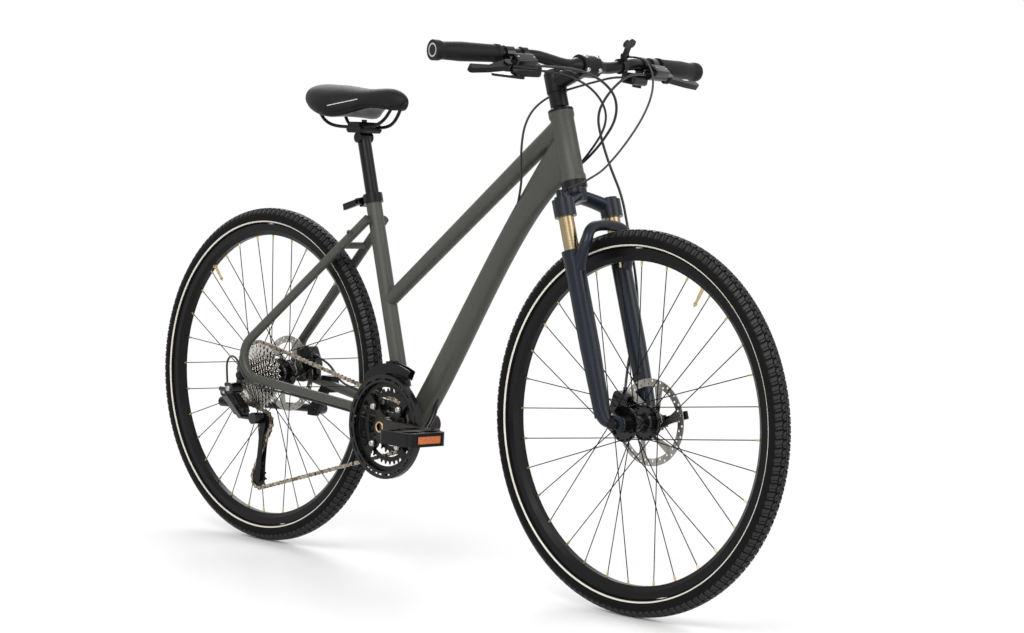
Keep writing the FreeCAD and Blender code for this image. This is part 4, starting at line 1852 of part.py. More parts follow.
# Along the saddle from its rear: share of the length, of the half width and of the height
SADDLE_SHARES = ((0, 0.5, 0.62), (0.02, 0.73, 0.8), (0.06, 0.9, 0.93), (0.14, 1, 1), (0.3, 0.88, 0.94),
                 (0.45, 0.64, 0.85), (0.6, 0.45, 0.8), (0.75, 0.345, 0.785), (0.88, 0.3,
                                                                              0.77), (0.95, 0.262, 0.73),
                 (0.985, 0.2, 0.65), (1, 0.11, 0.52))
SADDLE_SIDE_SHARES = {"foot": 0.86, "side": 0.45, "bulge": 0.98, "shoulder": 0.72, "shoulder_drop": 0.24}


def saddle_places():
    tip = POST_TOP + Vector(S.saddle_tip_forward, 0, S.saddle_base)
    for along, wide, tall in SADDLE_SHARES:
        x = tip.x - S.saddle_length * (1 - along)
        yield x, float(S.saddle_width / 2 * wide), tip.z, tip.z + float(S.saddle_height * tall)


def saddle_cover():
    """The padded cover: a crowned loft with drawn-in sides, wide at the back and narrow at the nose."""
    share = SADDLE_SIDE_SHARES
    sections = []
    for x, wide, low, high in saddle_places():
        side = low + (high - low) * share["side"]
        middle = (low + side) / 2
        shoulder = high - (high - side) * share["shoulder_drop"]
        crown = Vector(x, 0, high)
        edges = []
        for hand in (1, -1):
            foot = Vector(x, hand * wide * share["foot"], low)
            out = Vector(x, hand * wide, side)
            edges.append(Part.Arc(foot, Vector(x, hand * wide * share["bulge"], middle), out).toShape())
            edges.append(Part.Arc(out, Vector(x, hand * wide * share["shoulder"], shoulder),
                                  crown).toShape())
        feet = [Vector(x, hand * wide * share["foot"], low) for hand in (-1, 1)]
        edges = [Part.LineSegment(*feet).toShape(), edges[0], edges[1], edges[3], edges[2]]
        sections.append(Part.Wire(edges))
    return feature("saddle_cover", Part.makeLoft(sections, True, False))


def saddle_base():
    """The moulded shell under the cover and the two rails that the post holds."""
    sections = []
    for x, wide, low, _ in saddle_places():
        half = wide * SADDLE_SIDE_SHARES["foot"] - S.saddle_inset * wide / (S.saddle_width / 2)
        base = low - S.saddle_shell_thick
        corners = [Vector(x, -half, base), Vector(x, half, base), Vector(x, half, low),
                   Vector(x, -half, low)]
        sections.append(Part.makePolygon(corners + corners[:1]))
    shell = feature("saddle_shell", Part.makeLoft(sections, True, False))
    top = S.saddle_base - S.saddle_shell_thick - S.rail_radius - S.seat_gap
    rails = []
    for side in (-1, 1):
        middle = side * S.rail_spacing / 2
        route = [Vector(S.rail_front_reach, side * S.rail_front_half, top),
                 Vector(S.rail_half_length, middle, S.rail_height),
                 Vector(-S.rail_half_length, middle, S.rail_height),
                 Vector(-S.rail_rear_reach, side * S.rail_rear_half, top)]
        rod, _, _ = tube_along([POST_TOP + point for point in route], S.rail_radius)
        rails.append(feature(f"saddle_rail_{'right' if side < 0 else 'left'}", rod))
    return group("saddle_base", [shell] + rails)


def clamp_pivot():
    bore = S.seat_tube_radius + S.seat_gap
    back = bore + S.clamp_wall + S.clamp_lug_depth / 2
    return Vector(-back, -S.clamp_lug_width / 2 - S.clamp_eye_radius - S.free_gap,
                  S.seat_tube_length - S.clamp_height / 2)


def seat_clamp():
    """A split ring round the top of the seat tube, with its bolt and the pin that the lever turns on."""
    bore, height = S.seat_tube_radius + S.seat_gap, S.clamp_height
    low = S.seat_tube_length - height
    ring = revolve("clamp_ring",
                   [(bore, low), (bore + S.clamp_wall, low), (bore + S.clamp_wall, low + height),
                                  (bore, low + height)], upright=True)
    ring.Placement = SEAT
    pivot = clamp_pivot()
    lug = Part.makeBox(S.clamp_lug_depth + S.clamp_wall, S.clamp_lug_width, height,
                       Vector(-bore - S.clamp_wall - S.clamp_lug_depth, -S.clamp_lug_width / 2, low))
    core = Part.makeCylinder(bore, S.seat_tube_length)
    lugs = feature("clamp_lugs", lug.cut(core), SEAT)
    slit = Part.makeBox(bore * 3, S.seat_slot_width, height * 2,
                        Vector(-bore * 3, -S.seat_slot_width / 2, low - height / 2))
    reach = S.clamp_lug_width / 2 - pivot.y
    shank = Part.makeCylinder(S.clamp_bolt_radius, reach, Vector(pivot.x, S.clamp_lug_width / 2, pivot.z),
                              -Y_AXIS)
    half = S.clamp_lever_width / 2
    pin = Part.makeCylinder(S.clamp_bolt_radius, half * 2, pivot - Vector(0, 0, half))
    opened = cut("clamp_split", fuse("clamp_full", [ring, lugs]), [feature("clamp_slit", slit, SEAT)])
    return fuse("seat_clamp", [opened, feature("clamp_bolt", shank.fuse(pin), SEAT)])


def seat_clamp_lever():
    pivot = clamp_pivot()
    wide, radius = S.clamp_lever_width, S.clamp_eye_radius
    low = pivot - Vector(0, 0, wide / 2)
    eye = Part.makeCylinder(radius, wide, low)
    arm = Part.makeBox(S.clamp_lever_length, S.clamp_lever_thick, wide,
                       low - Vector(S.clamp_lever_length, S.clamp_lever_thick / 2, 0))
    bore = Part.makeCylinder(S.clamp_bolt_radius + S.running_fit, wide, low)
    gap = (S.clamp_bolt_radius + S.free_gap) * 2
    slot = Part.makeCylinder(radius + S.free_gap, gap, pivot - Vector(0, 0, gap / 2))
    return feature("seat_clamp_lever", eye.fuse(arm).cut(Part.makeCompound([bore, slot])), SEAT)


# Kickstand
STAND_PIVOT = REAR_AXLE + Vector(S.stand_pivot_forward, S.stand_side, -S.stand_pivot_drop)
STAND_AXIS = Rotation(Vector(0, 0, 1), S.stand_splay_angle).multVec(Y_AXIS)


def kickstand_mount():
    """A block clamped round the left stay, with a plate down to the pivot's boss and pin."""
    half, low = S.stand_plate_half, STAND_PIVOT.z - S.stand_plate_half
    _, corner, end = stay_points(1)
    ahead = REAR_AXLE.x + S.stand_block_forward
    stay = corner + (end - corner) * ((ahead - corner.x) / (end.x - corner.x))
    block = Part.makeBox(S.stand_block_half * 2, S.stand_block_width, S.stand_block_height,
                         Vector(stay.x - S.stand_block_half, S.stand_plate_side,
                                stay.z - S.stand_block_height / 2))
    side = S.stand_plate_side
    corners = [Vector(ahead - half, side, stay.z), Vector(ahead + half, side, stay.z),
               Vector(STAND_PIVOT.x + half, side, low), Vector(STAND_PIVOT.x - half, side, low),
               Vector(STAND_PIVOT.x - half, side, low + half)]
    drop = Part.Face(Part.makePolygon(corners + corners[:1])).extrude(Y_AXIS * S.stand_plate_thick)
    start = STAND_PIVOT - STAND_AXIS * S.stand_boss_length
    boss = Part.makeCylinder(S.stand_boss_radius, S.stand_boss_length - S.free_gap / 2, start, STAND_AXIS)
    pin = Part.makeCylinder(S.stand_pin_radius, S.stand_boss_length + S.stand_eye_length, start, STAND_AXIS)
    inside = Part.makeBox(S.stand_length, S.stand_plate_side, S.stand_length,
                          Vector(ahead - S.stand_length / 2, 0, low - S.stand_plate_half))
    tools = Part.makeCompound([stay_solid(1), inside])
    return feature("kickstand_mount", block.multiFuse([drop, boss, pin]).cut(tools))


def kickstand_leg():
    """A tapered leg with an eye at the pivot and a rubber foot."""
    eye = Part.makeCylinder(S.stand_boss_radius, S.stand_eye_length, STAND_PIVOT, STAND_AXIS)
    start = STAND_PIVOT + STAND_AXIS * (S.stand_eye_length / 2)
    run = Vector(-S.stand_length, 0, -S.stand_drop)
    leg = Part.makeCone(S.stand_root_radius, S.stand_tip_radius, run.Length, start, run)
    hole = Part.makeCylinder(S.stand_pin_radius + S.running_fit, S.stand_eye_length * 2, STAND_PIVOT,
                             STAND_AXIS)
    tip = start + run
    cup_run = Vector(run).normalize() * S.stand_foot_length
    cup = Part.makeCylinder(S.stand_foot_radius, S.stand_foot_length, tip - cup_run / 2, run)
    foot = feature("stand_foot", cup.cut(leg))
    return group("kickstand_leg", [feature("stand_bar", leg.fuse(eye).cut(hole)), foot])


# Disc calipers
def caliper(word, axle, rotor_side, angle, foot):
    """A caliper over the rotor's edge: a slotted block with foot and hose stub, and a pad on each side."""
    inner = S.rotor_radius - S.caliper_overlap
    outer, half, turn = inner + S.caliper_height, S.caliper_length / 2, S.caliper_corner
    block = plate(f"{word}_caliper_block", [
        (-half, inner), (half, inner), (half, outer - turn), (half - turn, outer), (-half + turn, outer),
        (-half, outer - turn)], S.caliper_inner + S.caliper_outer, arcs={2: turn, 4: turn},
        middle=(S.caliper_outer - S.caliper_inner) / 2)
    place = Placement(axle + Vector(0, rotor_side, 0), Rotation(Y_AXIS, 90 - angle))
    block.Placement = place
    slot = DOC.addObject("Part::Box", f"{word}_caliper_slot")
    bind(slot, "Length", S.caliper_length * 2)
    bind(slot, "Width", S.caliper_slot)
    bind(slot, "Height", S.rotor_radius + S.caliper_rim_gap)
    slot.Placement = place.multiply(Placement(Vector(-S.caliper_length, -S.caliper_slot / 2, 0), Rotation()))
    middle = inner + S.pad_height / 2
    piston = cylinder(f"{word}_piston_cover", S.caliper_piston_radius,
                      S.caliper_outer + S.caliper_piston_rise,
                      place.multVec(Vector(0, 0, middle)), Y_AXIS)
    body = cut(f"{word}_caliper_body",
               fuse(f"{word}_caliper_full", [block, piston, foot, hose_stub(word)]), [slot])
    pads = []
    for side in (-1, 1):
        pad = DOC.addObject("Part::Box", f"{word}_pad_{'right' if side < 0 else 'left'}")
        bind(pad, "Length", S.pad_length)
        bind(pad, "Width", S.pad_thick)
        bind(pad, "Height", S.pad_height)
        edge = S.caliper_slot / 2
        start = edge - S.pad_thick if side > 0 else -edge
        pad.Placement = place.multiply(Placement(Vector(-S.pad_length / 2, start, inner), Rotation()))
        pads.append(pad)
    return group(f"{word}_caliper", [body] + pads)


def hose_stub(word):
    """The stub that the hose's end meets, in line with the hose's last run."""
    route = cable_route(word + "_hose")
    run = (route[-1] - route[-2]).normalize()
    start = route[-1] + run * S.seat_gap
    return cylinder(word + "_caliper_stub", S.hose_stub_radius, S.caliper_stub_length, start, run)


def front_caliper():
    side = S.front_hub_length / 2 - S.front_rotor_inset
    ahead = S.leg_forward - S.post_reach
    wide = S.leg_spacing / 2 + S.caliper_arm_thick / 2 - side
    box = Part.makeBox(S.front_foot_depth, wide, S.front_foot_height,
                       Vector(ahead - S.front_foot_depth, side, S.post_height - S.post_low / 2))
    room = Part.makeBox(S.front_foot_depth, S.caliper_inner, S.front_foot_height * 2,
                        Vector(ahead - S.front_foot_depth, side, 0))
    foot = feature("front_caliper_foot", box.cut(room), STEER)
    return caliper("front", FRONT_AXLE, side, float(S.caliper_angle_front), foot)


def rear_caliper():
    start = REAR_AXLE + Vector(S.rear_foot_start, S.rear_foot_side, -S.rear_foot_drop)
    box = Part.makeBox(S.rear_foot_length, S.rear_foot_width, S.rear_foot_height, start)
    foot = feature("rear_caliper_foot", box.cut(stay_solid(1)))
    side = S.rear_hub_length / 2 - S.rear_rotor_inset
    return caliper("rear", REAR_AXLE, side, float(S.caliper_angle_rear), foot)


# Quick-release levers
def qr_lever(name, axle, face, along, hinge):
    """A lever whose two ears hold the pin of the skewer's head."""
    place = Placement(axle, Rotation(along, Vector(0, 0, 0), hinge, "ZXY"))
    out = 1 if place.Rotation.multVec(Y_AXIS).y > 0 else -1
    middle = face + S.qr_pivot_rise
    back = S.qr_barrel_radius
    start = middle + back + S.free_gap
    half = S.qr_lever_width / 2
    arm = Part.makeBox(S.qr_lever_length + back, S.qr_lever_thick, half * 2, Vector(-back, start, -half))
    near = S.qr_barrel_half + S.free_gap
    span = Part.makeBox(back * 2, S.qr_lever_thick, (near + S.qr_ear) * 2,
                        Vector(-back, start, -near - S.qr_ear))
    ears = []
    for low in (-near - S.qr_ear, near):
        ears.append(Part.makeBox(back * 2, start - middle + back / 2, S.qr_ear,
                                 Vector(-back, middle - back / 2, low)))
    hole = Part.makeCylinder(S.qr_pin_radius + S.running_fit, near * 4, Vector(0, middle, -near * 2))
    made = arm.multiFuse([span] + ears).cut(hole)
    if out < 0:
        made = made.mirror(Vector(0, 0, 0), Y_AXIS)
    return feature(name, made, place)


# Brake controls
def clamp_ring(width, wall):
    ring = Part.makeCylinder(S.bar_radius + wall, width, Vector(0, 0, -width / 2))
    return ring.cut(Part.makeCylinder(S.bar_radius + S.seat_gap, width * 2, Vector(0, 0, -width)))


def brake_body():
    """The lever's body: bar clamp, master cylinder, reservoir, hose outlet, and the ears with their pin."""
    offset, radius = S.cylinder_offset, S.cylinder_radius
    ring = clamp_ring(S.brake_clamp_width, S.brake_clamp_wall)
    long = S.cylinder_inner + S.cylinder_outer
    barrel = Part.makeCylinder(radius, long, Vector(offset, 0, -S.cylinder_inner))
    stub = Part.makeCylinder(S.hose_stub_radius, S.hose_stub_length,
                             Vector(offset, 0, -S.cylinder_inner - S.hose_stub_length))
    half = S.brake_bridge_half
    near = S.bar_radius + S.brake_clamp_wall / 2
    bridge = Part.makeBox(offset - near, half * 2, half * 2, Vector(near, -half, -half))
    tank = Part.makeBox(S.reservoir_width, S.reservoir_height + radius / 2, S.reservoir_length,
                        Vector(offset - S.reservoir_width / 2, radius / 2,
                               S.cylinder_outer / 2 - S.reservoir_length))
    tank = tank.makeFillet(S.reservoir_corner, tank.Edges)
    pieces = [barrel, stub, bridge, tank]
    pivot = Vector(S.lever_pivot_offset, 0, S.lever_pivot_out)
    face, thick, round_end = S.lever_width / 2 + S.free_gap, S.lever_ear_thick, S.lever_ear_radius
    for start in (face, -face - thick):
        pieces.append(Part.makeCylinder(round_end, thick, pivot + Vector(0, start, 0), Y_AXIS))
        pieces.append(Part.makeBox(round_end * 2, thick, S.lever_pivot_out - S.cylinder_outer / 2,
                                   Vector(pivot.x - round_end, start, S.cylinder_outer / 2)))
    pieces.append(Part.makeCylinder(S.lever_pin_radius, (face + thick) * 2,
                                    pivot - Vector(0, face + thick, 0), Y_AXIS))
    body = ring.multiFuse(pieces)
    return feature("right_brake_body", body, bar_place(S.brake_clamp_reach, S.control_tilt))


def brake_lever(name):
    """The lever's blade: a round root on the pin, a slim neck and a rounded tip."""
    pivot, out = S.lever_pivot_offset, S.lever_pivot_out
    root_radius, tip, reach = S.lever_root, S.lever_tip, S.lever_tip_offset
    end = out + S.lever_length
    waist = out + S.lever_length * S.lever_waist_share
    neck = out + S.lever_length * S.lever_neck_share
    points = [(pivot - root_radius, out), (pivot, out - root_radius), (pivot + root_radius, out),
              (reach + S.lever_waist / 2, waist), (reach + tip, end - tip), (reach, end), (reach - tip,
                                                                                           end - tip),
              (reach - S.lever_waist, waist), (pivot - S.lever_waist / 2, neck)]
    blade = plate(name, points, S.lever_width, arcs={0: root_radius, 1: root_radius, 4: tip, 5: tip},
                  circles=[(pivot, out, S.lever_pin_radius + S.running_fit)])
    blade.Placement = bar_place(S.brake_clamp_reach, S.control_tilt)
    return blade


# Gear shifters
def shifter_body():
    """A shifter: bar clamp, neck, rounded pod and the pin under it that the thumb lever turns on."""
    ring = clamp_ring(S.shifter_clamp_width, S.shifter_clamp_wall)
    low, high = S.pod_offset - S.pod_height / 2, S.pod_offset + S.pod_height / 2
    pod = Part.makeBox(S.pod_height, S.pod_width, S.pod_length,
                       Vector(low, -S.pod_width / 2, -S.pod_shift - S.pod_length / 2))
    pod = pod.makeFillet(S.pod_corner, pod.Edges)
    half = S.shifter_clamp_width / 2
    near = S.bar_radius + S.shifter_clamp_wall / 2
    neck = Part.makeBox(S.pod_offset - near, half * 2, half * 2, Vector(near, -half, -half))
    pin = Part.makeCylinder(S.thumb_pin_radius, S.thumb_thick + S.pod_corner,
                            Vector(high - S.pod_corner, 0, 0), X_AXIS)
    return feature("right_shifter", ring.multiFuse([pod, neck, pin]),
                   bar_place(S.shifter_clamp_reach, S.shifter_tilt))


def thumb_lever(name):
    """A paddle under the pod that reaches back and outward to the thumb."""
    start = S.pod_offset + S.pod_height / 2 + S.free_gap / 2
    thick = S.thumb_thick - S.free_gap / 2
    tip = Vector(start, -S.thumb_back, S.thumb_reach)
    eye = Part.makeCylinder(S.thumb_eye_radius, thick, Vector(start, 0, 0), X_AXIS)
    end = Part.makeCylinder(S.thumb_tip_radius, thick, tip, X_AXIS)
    run = tip - Vector(start, 0, 0)
    across = Vector(0, -run.z, run.y).normalize()
    near, far = across * S.thumb_eye_radius, across * S.thumb_tip_radius
    corners = [Vector(start, 0, 0) + near, tip + far, tip - far, Vector(start, 0, 0) - near]
    blade = Part.Face(Part.makePolygon(corners + corners[:1])).extrude(X_AXIS * thick)
    bore = Part.makeCylinder(S.thumb_pin_radius + S.running_fit, thick * 2,
                             Vector(start - thick / 2, 0, 0), X_AXIS)
    return feature(name, blade.multiFuse([eye, end]).cut(bore),
                   bar_place(S.shifter_clamp_reach, S.shifter_tilt))


# Fork lockout
def remote_place():
    return bar_place(S.remote_run_reach, S.remote_tilt, run=1)


def remote_body():
    """The remote's bar clamp with a lug and pin for its lever, modelled on the right and then mirrored."""
    ring = clamp_ring(S.remote_clamp_width, S.remote_clamp_wall)
    offset, radius = S.remote_pivot_offset, S.remote_eye_radius
    wide = S.remote_clamp_width - S.remote_ear * 2 - S.free_gap
    near = S.bar_radius + S.remote_clamp_wall / 2
    arm = Part.makeBox(offset - near, radius * 2, wide, Vector(near, -radius, -wide / 2))
    lug = Part.makeCylinder(radius, wide, Vector(offset, 0, -wide / 2))
    pin = Part.makeCylinder(S.remote_pin_radius, S.remote_clamp_width,
                            Vector(offset, 0, -S.remote_clamp_width / 2))
    return feature("remote_body_right", ring.multiFuse([arm, lug, pin]), remote_place())


def remote_lever():
    """An upright paddle with two lobes, forked at its foot round the remote's lug."""
    offset, radius, wide = S.remote_pivot_offset, S.remote_eye_radius, S.remote_clamp_width
    low = Vector(offset, 0, -wide / 2)
    eye = Part.makeCylinder(radius, wide, low)
    blade = Part.makeBox(S.remote_length, S.remote_thick, wide, low - Vector(0, S.remote_thick / 2, 0))
    top = offset + S.remote_length
    lobes = []
    for hand in (-1, 1):
        centre = Vector(top, -S.remote_thick / 2, hand * S.remote_lobe_spread)
        lobes.append(Part.makeCylinder(S.remote_lobe_radius, S.remote_thick, centre, Y_AXIS))
    gap = wide - S.remote_ear * 2
    room = Part.makeCylinder(radius + S.free_gap, gap, Vector(offset, 0, -gap / 2))
    bore = Part.makeCylinder(S.remote_pin_radius + S.running_fit, wide * 2, Vector(offset, 0, -wide))
    made = eye.multiFuse([blade] + lobes).cut(Part.makeCompound([room, bore]))
    return feature("remote_lever_right", made, remote_place())


def lockout_spool():
    """A low drum on the right leg's cap with the arm that the cable pulls."""
    foot = S.crown_socket_top + S.crown_cap_rise + S.free_gap / 2
    centre = Vector(S.leg_forward, -S.leg_spacing / 2, foot)
    drum = Part.makeCylinder(S.spool_radius, S.spool_height, centre)
    half = S.spool_arm_width / 2
    arm = Part.makeBox(S.spool_arm_length, half * 2, S.spool_arm_thick,
                       centre + Vector(0, -half, S.spool_height - S.spool_arm_thick))
    return feature("lockout_spool", drum.fuse(arm), STEER)


# Cable routes beyond their first straight run, as shares of the wheel base ahead, to the left and up
CABLE_ROUTE_SHARES = {
    "rear_hose": (
        (0.38571, -0.05238, 0.9381), (0.39619, -0.01143, 0.92381), (0.4, 0.02381, 0.89714),
        (0.38571, 0.04286, 0.85905), (0.35714, 0.04286, 0.82095), (0.32381, 0.0381, 0.78667),
        (0.28571, 0.03429, 0.76), (0.23694, 0.02667, 0.72957), (0.20979, 0.00857, 0.69044),
        (0.17553, 0.00857, 0.63888), (0.13864, 0.00857, 0.58335), (0.10175, 0.00857, 0.52783),
        (0.06485, 0.00857, 0.4723), (0.03323, 0.00857, 0.42471), (0.00926, 0.01143, 0.38346),
        (-0.01287, 0.02571, 0.34671), (-0.04952, 0.03238, 0.32476), (-0.09048, 0.03048, 0.31048),
        (-0.13333, 0.02952, 0.30438), (-0.18095, 0.03448, 0.30867), (-0.23333, 0.04057, 0.31514),
        (-0.28571, 0.04705, 0.32152), (-0.33524, 0.05333, 0.32762), (-0.36, 0.05524, 0.34476),
        (-0.38286, 0.05381, 0.36571), (-0.40952, 0.05048, 0.37429)),
    "rear_shift": (
        (0.36571, -0.03333, 0.9219), (0.37714, 0, 0.9), (0.37905, 0.02476, 0.86857),
        (0.36381, 0.03429, 0.83619), (0.33524, 0.03429, 0.8019), (0.30286, 0.03143, 0.76762),
        (0.27048, 0.03048, 0.73905), (0.2222, 0.02667, 0.69363), (0.19559, 0.0019, 0.64842),
        (0.16397, 0, 0.60083), (0.12708, 0, 0.5453), (0.09018, 0, 0.48977), (0.05329, 0, 0.43425),
        (0.01719, -0.0019, 0.37819), (0.00249, -0.00571, 0.32164), (-0.02095, -0.00857, 0.27238),
        (-0.05238, -0.01143, 0.24714), (-0.09048, -0.01619, 0.24667), (-0.12857, -0.02381, 0.26571),
        (-0.17143, -0.03143, 0.28333), (-0.22381, -0.03905, 0.29095), (-0.27619, -0.04552, 0.29714),
        (-0.32857, -0.0519, 0.30343), (-0.38095, -0.05905, 0.30952), (-0.42381, -0.07333, 0.31381),
        (-0.4481, -0.08667, 0.3219), (-0.4679, -0.09, 0.33371), (-0.48257, -0.09, 0.35124),
        (-0.49371, -0.08905, 0.36905), (-0.51571, -0.08667, 0.37333), (-0.53381, -0.08238, 0.35933),
        (-0.53571, -0.08, 0.33838), (-0.53429, -0.07905, 0.31743)),
    "front_shift": (
        (0.31238, 0.05333, 0.9219), (0.28286, 0.03619, 0.91143), (0.25143, 0.01333, 0.8981),
        (0.23524, -0.01429, 0.87333), (0.23143, -0.03143, 0.8419), (0.23048, -0.03619, 0.80571),
        (0.22857, -0.03333, 0.76952), (0.22476, -0.02571, 0.7381), (0.19265, -0.00857, 0.67324),
        (0.15655, -0.00762, 0.61719), (0.11965, -0.00762, 0.56166), (0.08276, -0.00762, 0.50614),
        (0.04587, -0.00762, 0.45061), (0.01399, -0.00762, 0.39747), (0.00296, -0.00381, 0.35334),
        (-0.00225, 0.0019, 0.31107), (-0.02667, 0.00381, 0.27048), (-0.05524, 0.00286, 0.24762),
        (-0.08762, 0, 0.24476), (-0.11333, -0.00286, 0.26), (-0.12095, -0.00857, 0.28571),
        (-0.11238, -0.02, 0.30952), (-0.10571, -0.02429, 0.32667), (-0.10571, -0.02429, 0.34652)),
    "front_hose": (
        (0.37048, 0.06857, 0.92857), (0.35619, 0.04762, 0.90095), (0.33714, 0.04286, 0.86476),
        (0.34286, 0.05143, 0.82095), (0.35333, 0.06571, 0.77333), (0.36762, 0.08381, 0.72381),
        (0.38095, 0.08667, 0.67238), (0.39429, 0.08762, 0.62381), (0.40762, 0.08762, 0.57333),
        (0.41619, 0.08476, 0.52857), (0.41905, 0.07905, 0.48762), (0.41905, 0.06762, 0.45143),
        (0.42381, 0.05524, 0.42095), (0.43181, 0.04381, 0.38857)),
    "lockout": (
        (0.4219, 0.09238, 0.94476), (0.42857, 0.08762, 0.90667), (0.42286, 0.07238, 0.86476),
        (0.41238, 0.04952, 0.82476), (0.40762, 0.02095, 0.79238), (0.40952, -0.01143, 0.76762),
        (0.41143, -0.0381, 0.75524), (0.40143, -0.05905, 0.7421), (0.37238, -0.05905, 0.73295)),
}


def cable_starts():
    """Where each cable leaves its control and which way: a brake's stub, a pod's end or the remote's lug."""
    brake = bar_place(S.brake_clamp_reach, S.control_tilt)
    shifter = bar_place(S.shifter_clamp_reach, S.shifter_tilt)
    inward = brake.Rotation.multVec(-UP)
    hose = brake.multVec(Vector(S.cylinder_offset, 0, -S.cylinder_inner - S.hose_stub_length - S.seat_gap))
    wire = shifter.multVec(Vector(S.pod_offset, 0, -S.pod_shift - S.pod_length / 2 - S.seat_gap))
    remote = remote_place().multVec(Vector(S.remote_pivot_offset, 0, 0))
    remote += X_AXIS * (S.remote_eye_radius + S.free_gap / 2)
    return {"rear_hose": (hose, inward), "rear_shift": (wire, inward), "lockout": (left_of(remote), X_AXIS),
            "front_shift": (left_of(wire), left_of(inward)), "front_hose": (left_of(hose), left_of(inward))}


def left_of(point):
    return Vector(point.x, -point.y, point.z)


def cable_route(name):
    start, run = cable_starts()[name]
    rest = [Vector(*shares) * S.wheel_base for shares in CABLE_ROUTE_SHARES[name]]
    return [start, start + run * S.cable_lead] + rest


def cable(name, radius):
    solid, length, radii = tube_along(cable_route(name), radius)
    ideal = math.pi * radius * radius * length
    share = solid.Volume / ideal
    print(f"{name}: length {length:.1f}, smallest bend {min(radii):.1f}, volume share {share:.4f}")
    return feature(name, solid)


def port_tool(name, radius):
    solid, _, _ = tube_along(cable_route(name), radius + S.port_clearance)
    return feature(name + "_port", solid)


# The whole bike, one entry for each piece
def bicycle():
    cables = {name: radius for name, radius in (
        ("rear_hose", S.hose_radius), ("rear_shift", S.cable_radius), ("front_shift", S.cable_radius))}
    nodes = [frame([port_tool(name, radius) for name, radius in cables.items()]), bearing_cups(),
             seat_clamp(),
             seat_clamp_lever(), seatpost(), saddle_base(), saddle_cover()]
    front = wheel("front", FRONT_AXLE, S.front_hub_length, (S.front_flange_right, S.front_flange_left),
                  S.front_rotor_inset, S.front_valve_angle, S.fork_end_thick, STEER_UP, True)
    rear = wheel("rear", REAR_AXLE, S.rear_hub_length, (S.rear_flange_right, S.rear_flange_left),
                 S.rear_rotor_inset, S.rear_valve_angle, S.dropout_thick, UP, False)
    nodes += front + rear + [cassette(), chain(), chainrings(), chain_guard(), right_crank(), left_crank(),
                             pedal("right", -1), pedal("left", 1)]
    nodes += [derailleur_knuckle(), link_piece("derailleur_outer_link", OUTER_PIVOT),
              link_piece("derailleur_inner_link", INNER_PIVOT), derailleur_body(), derailleur_cage(),
              pulley("guide_pulley", GUIDE), pulley("tension_pulley",
                                                    TENSION), mech_clamp(), mech_link(), mech_cage()]
    nodes += [kickstand_mount(), kickstand_leg(), front_caliper(), rear_caliper(),
              qr_lever("front_qr_lever", FRONT_AXLE, S.front_hub_length / 2 + S.fork_end_thick,
                       STEER_AHEAD, STEER_UP),
              qr_lever("rear_qr_lever", REAR_AXLE, S.rear_hub_length / 2 + S.dropout_thick, -X_AXIS, UP)]
    nodes += [fork_crown(), stanchions(), fork_lowers(), stem(), handlebar(), grips()]
    body, lever = brake_body(), brake_lever("right_brake_lever")
    pod, thumb = shifter_body(), thumb_lever("right_thumb_lever")
    nodes += [group("brake_lever_bodies", [body, mirror("left_brake_body", body)]), lever,
              mirror("left_brake_lever", lever), thumb, mirror("left_thumb_lever", thumb)]
    nodes.append(group("shifter_bodies",
                       [pod, mirror("left_shifter", pod), mirror("remote_body", remote_body())]))
    nodes += [mirror("lockout_remote_lever", remote_lever()), lockout_spool()]
    nodes += [group("rear_brake_hose", [cable("rear_hose", S.hose_radius)]),
              group("shift_cables",
                    [cable("rear_shift", S.cable_radius), cable("front_shift", S.cable_radius)]),
              group("fork_cables",
                    [cable("front_hose", S.hose_radius), cable("lockout", S.lockout_cable_radius)])]
    return nodes


NODES = bicycle()
DOC.recompute()
faults = [item.Name for item in DOC.Objects if {"Invalid", "Error"} & set(item.State)]
faults += [node.Name for node in NODES if not node.Shape.isValid()]
if faults:
    raise RuntimeError("not sound: " + ", ".join(faults))
os.makedirs("parts", exist_ok=True)
for node in NODES:
    node.Label = node.Name
    node.Shape.exportStep(f"parts/{node.Name}.step")
    print(f"{node.Name}: {len(node.Shape.Solids)} solids, {node.Shape.Volume:.0f} cubic mm")
print(f"{len(NODES)} pieces")
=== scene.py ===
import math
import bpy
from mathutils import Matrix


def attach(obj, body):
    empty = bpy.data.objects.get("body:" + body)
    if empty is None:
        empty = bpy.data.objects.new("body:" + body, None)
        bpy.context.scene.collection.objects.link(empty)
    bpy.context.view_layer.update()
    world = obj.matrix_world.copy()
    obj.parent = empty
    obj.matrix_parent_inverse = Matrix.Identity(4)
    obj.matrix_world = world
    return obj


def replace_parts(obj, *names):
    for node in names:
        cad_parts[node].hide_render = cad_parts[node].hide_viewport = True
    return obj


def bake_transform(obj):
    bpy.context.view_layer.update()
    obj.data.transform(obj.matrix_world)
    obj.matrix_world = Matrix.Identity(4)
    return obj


bl_info = {
    "name": "Hybrid bicycle",
    "version": (1, 0, 0),
    "blender": (4, 5, 0),
    "location": "3D View > Sidebar > Bicycle",
    "description": "Dresses the packed bicycle: finishes, tyres, saddle, cables, trim and a plain studio",
    "category": "Object",
}

import bmesh
import bpy
from bpy.props import FloatProperty, FloatVectorProperty, IntProperty, PointerProperty
from mathutils import Matrix, Vector

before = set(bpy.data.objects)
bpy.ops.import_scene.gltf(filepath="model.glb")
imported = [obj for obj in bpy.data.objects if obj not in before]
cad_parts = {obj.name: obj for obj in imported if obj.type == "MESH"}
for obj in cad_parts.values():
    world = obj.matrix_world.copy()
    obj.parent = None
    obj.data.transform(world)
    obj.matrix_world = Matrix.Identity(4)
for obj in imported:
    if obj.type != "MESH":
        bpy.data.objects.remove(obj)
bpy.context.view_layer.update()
MM = 0.001

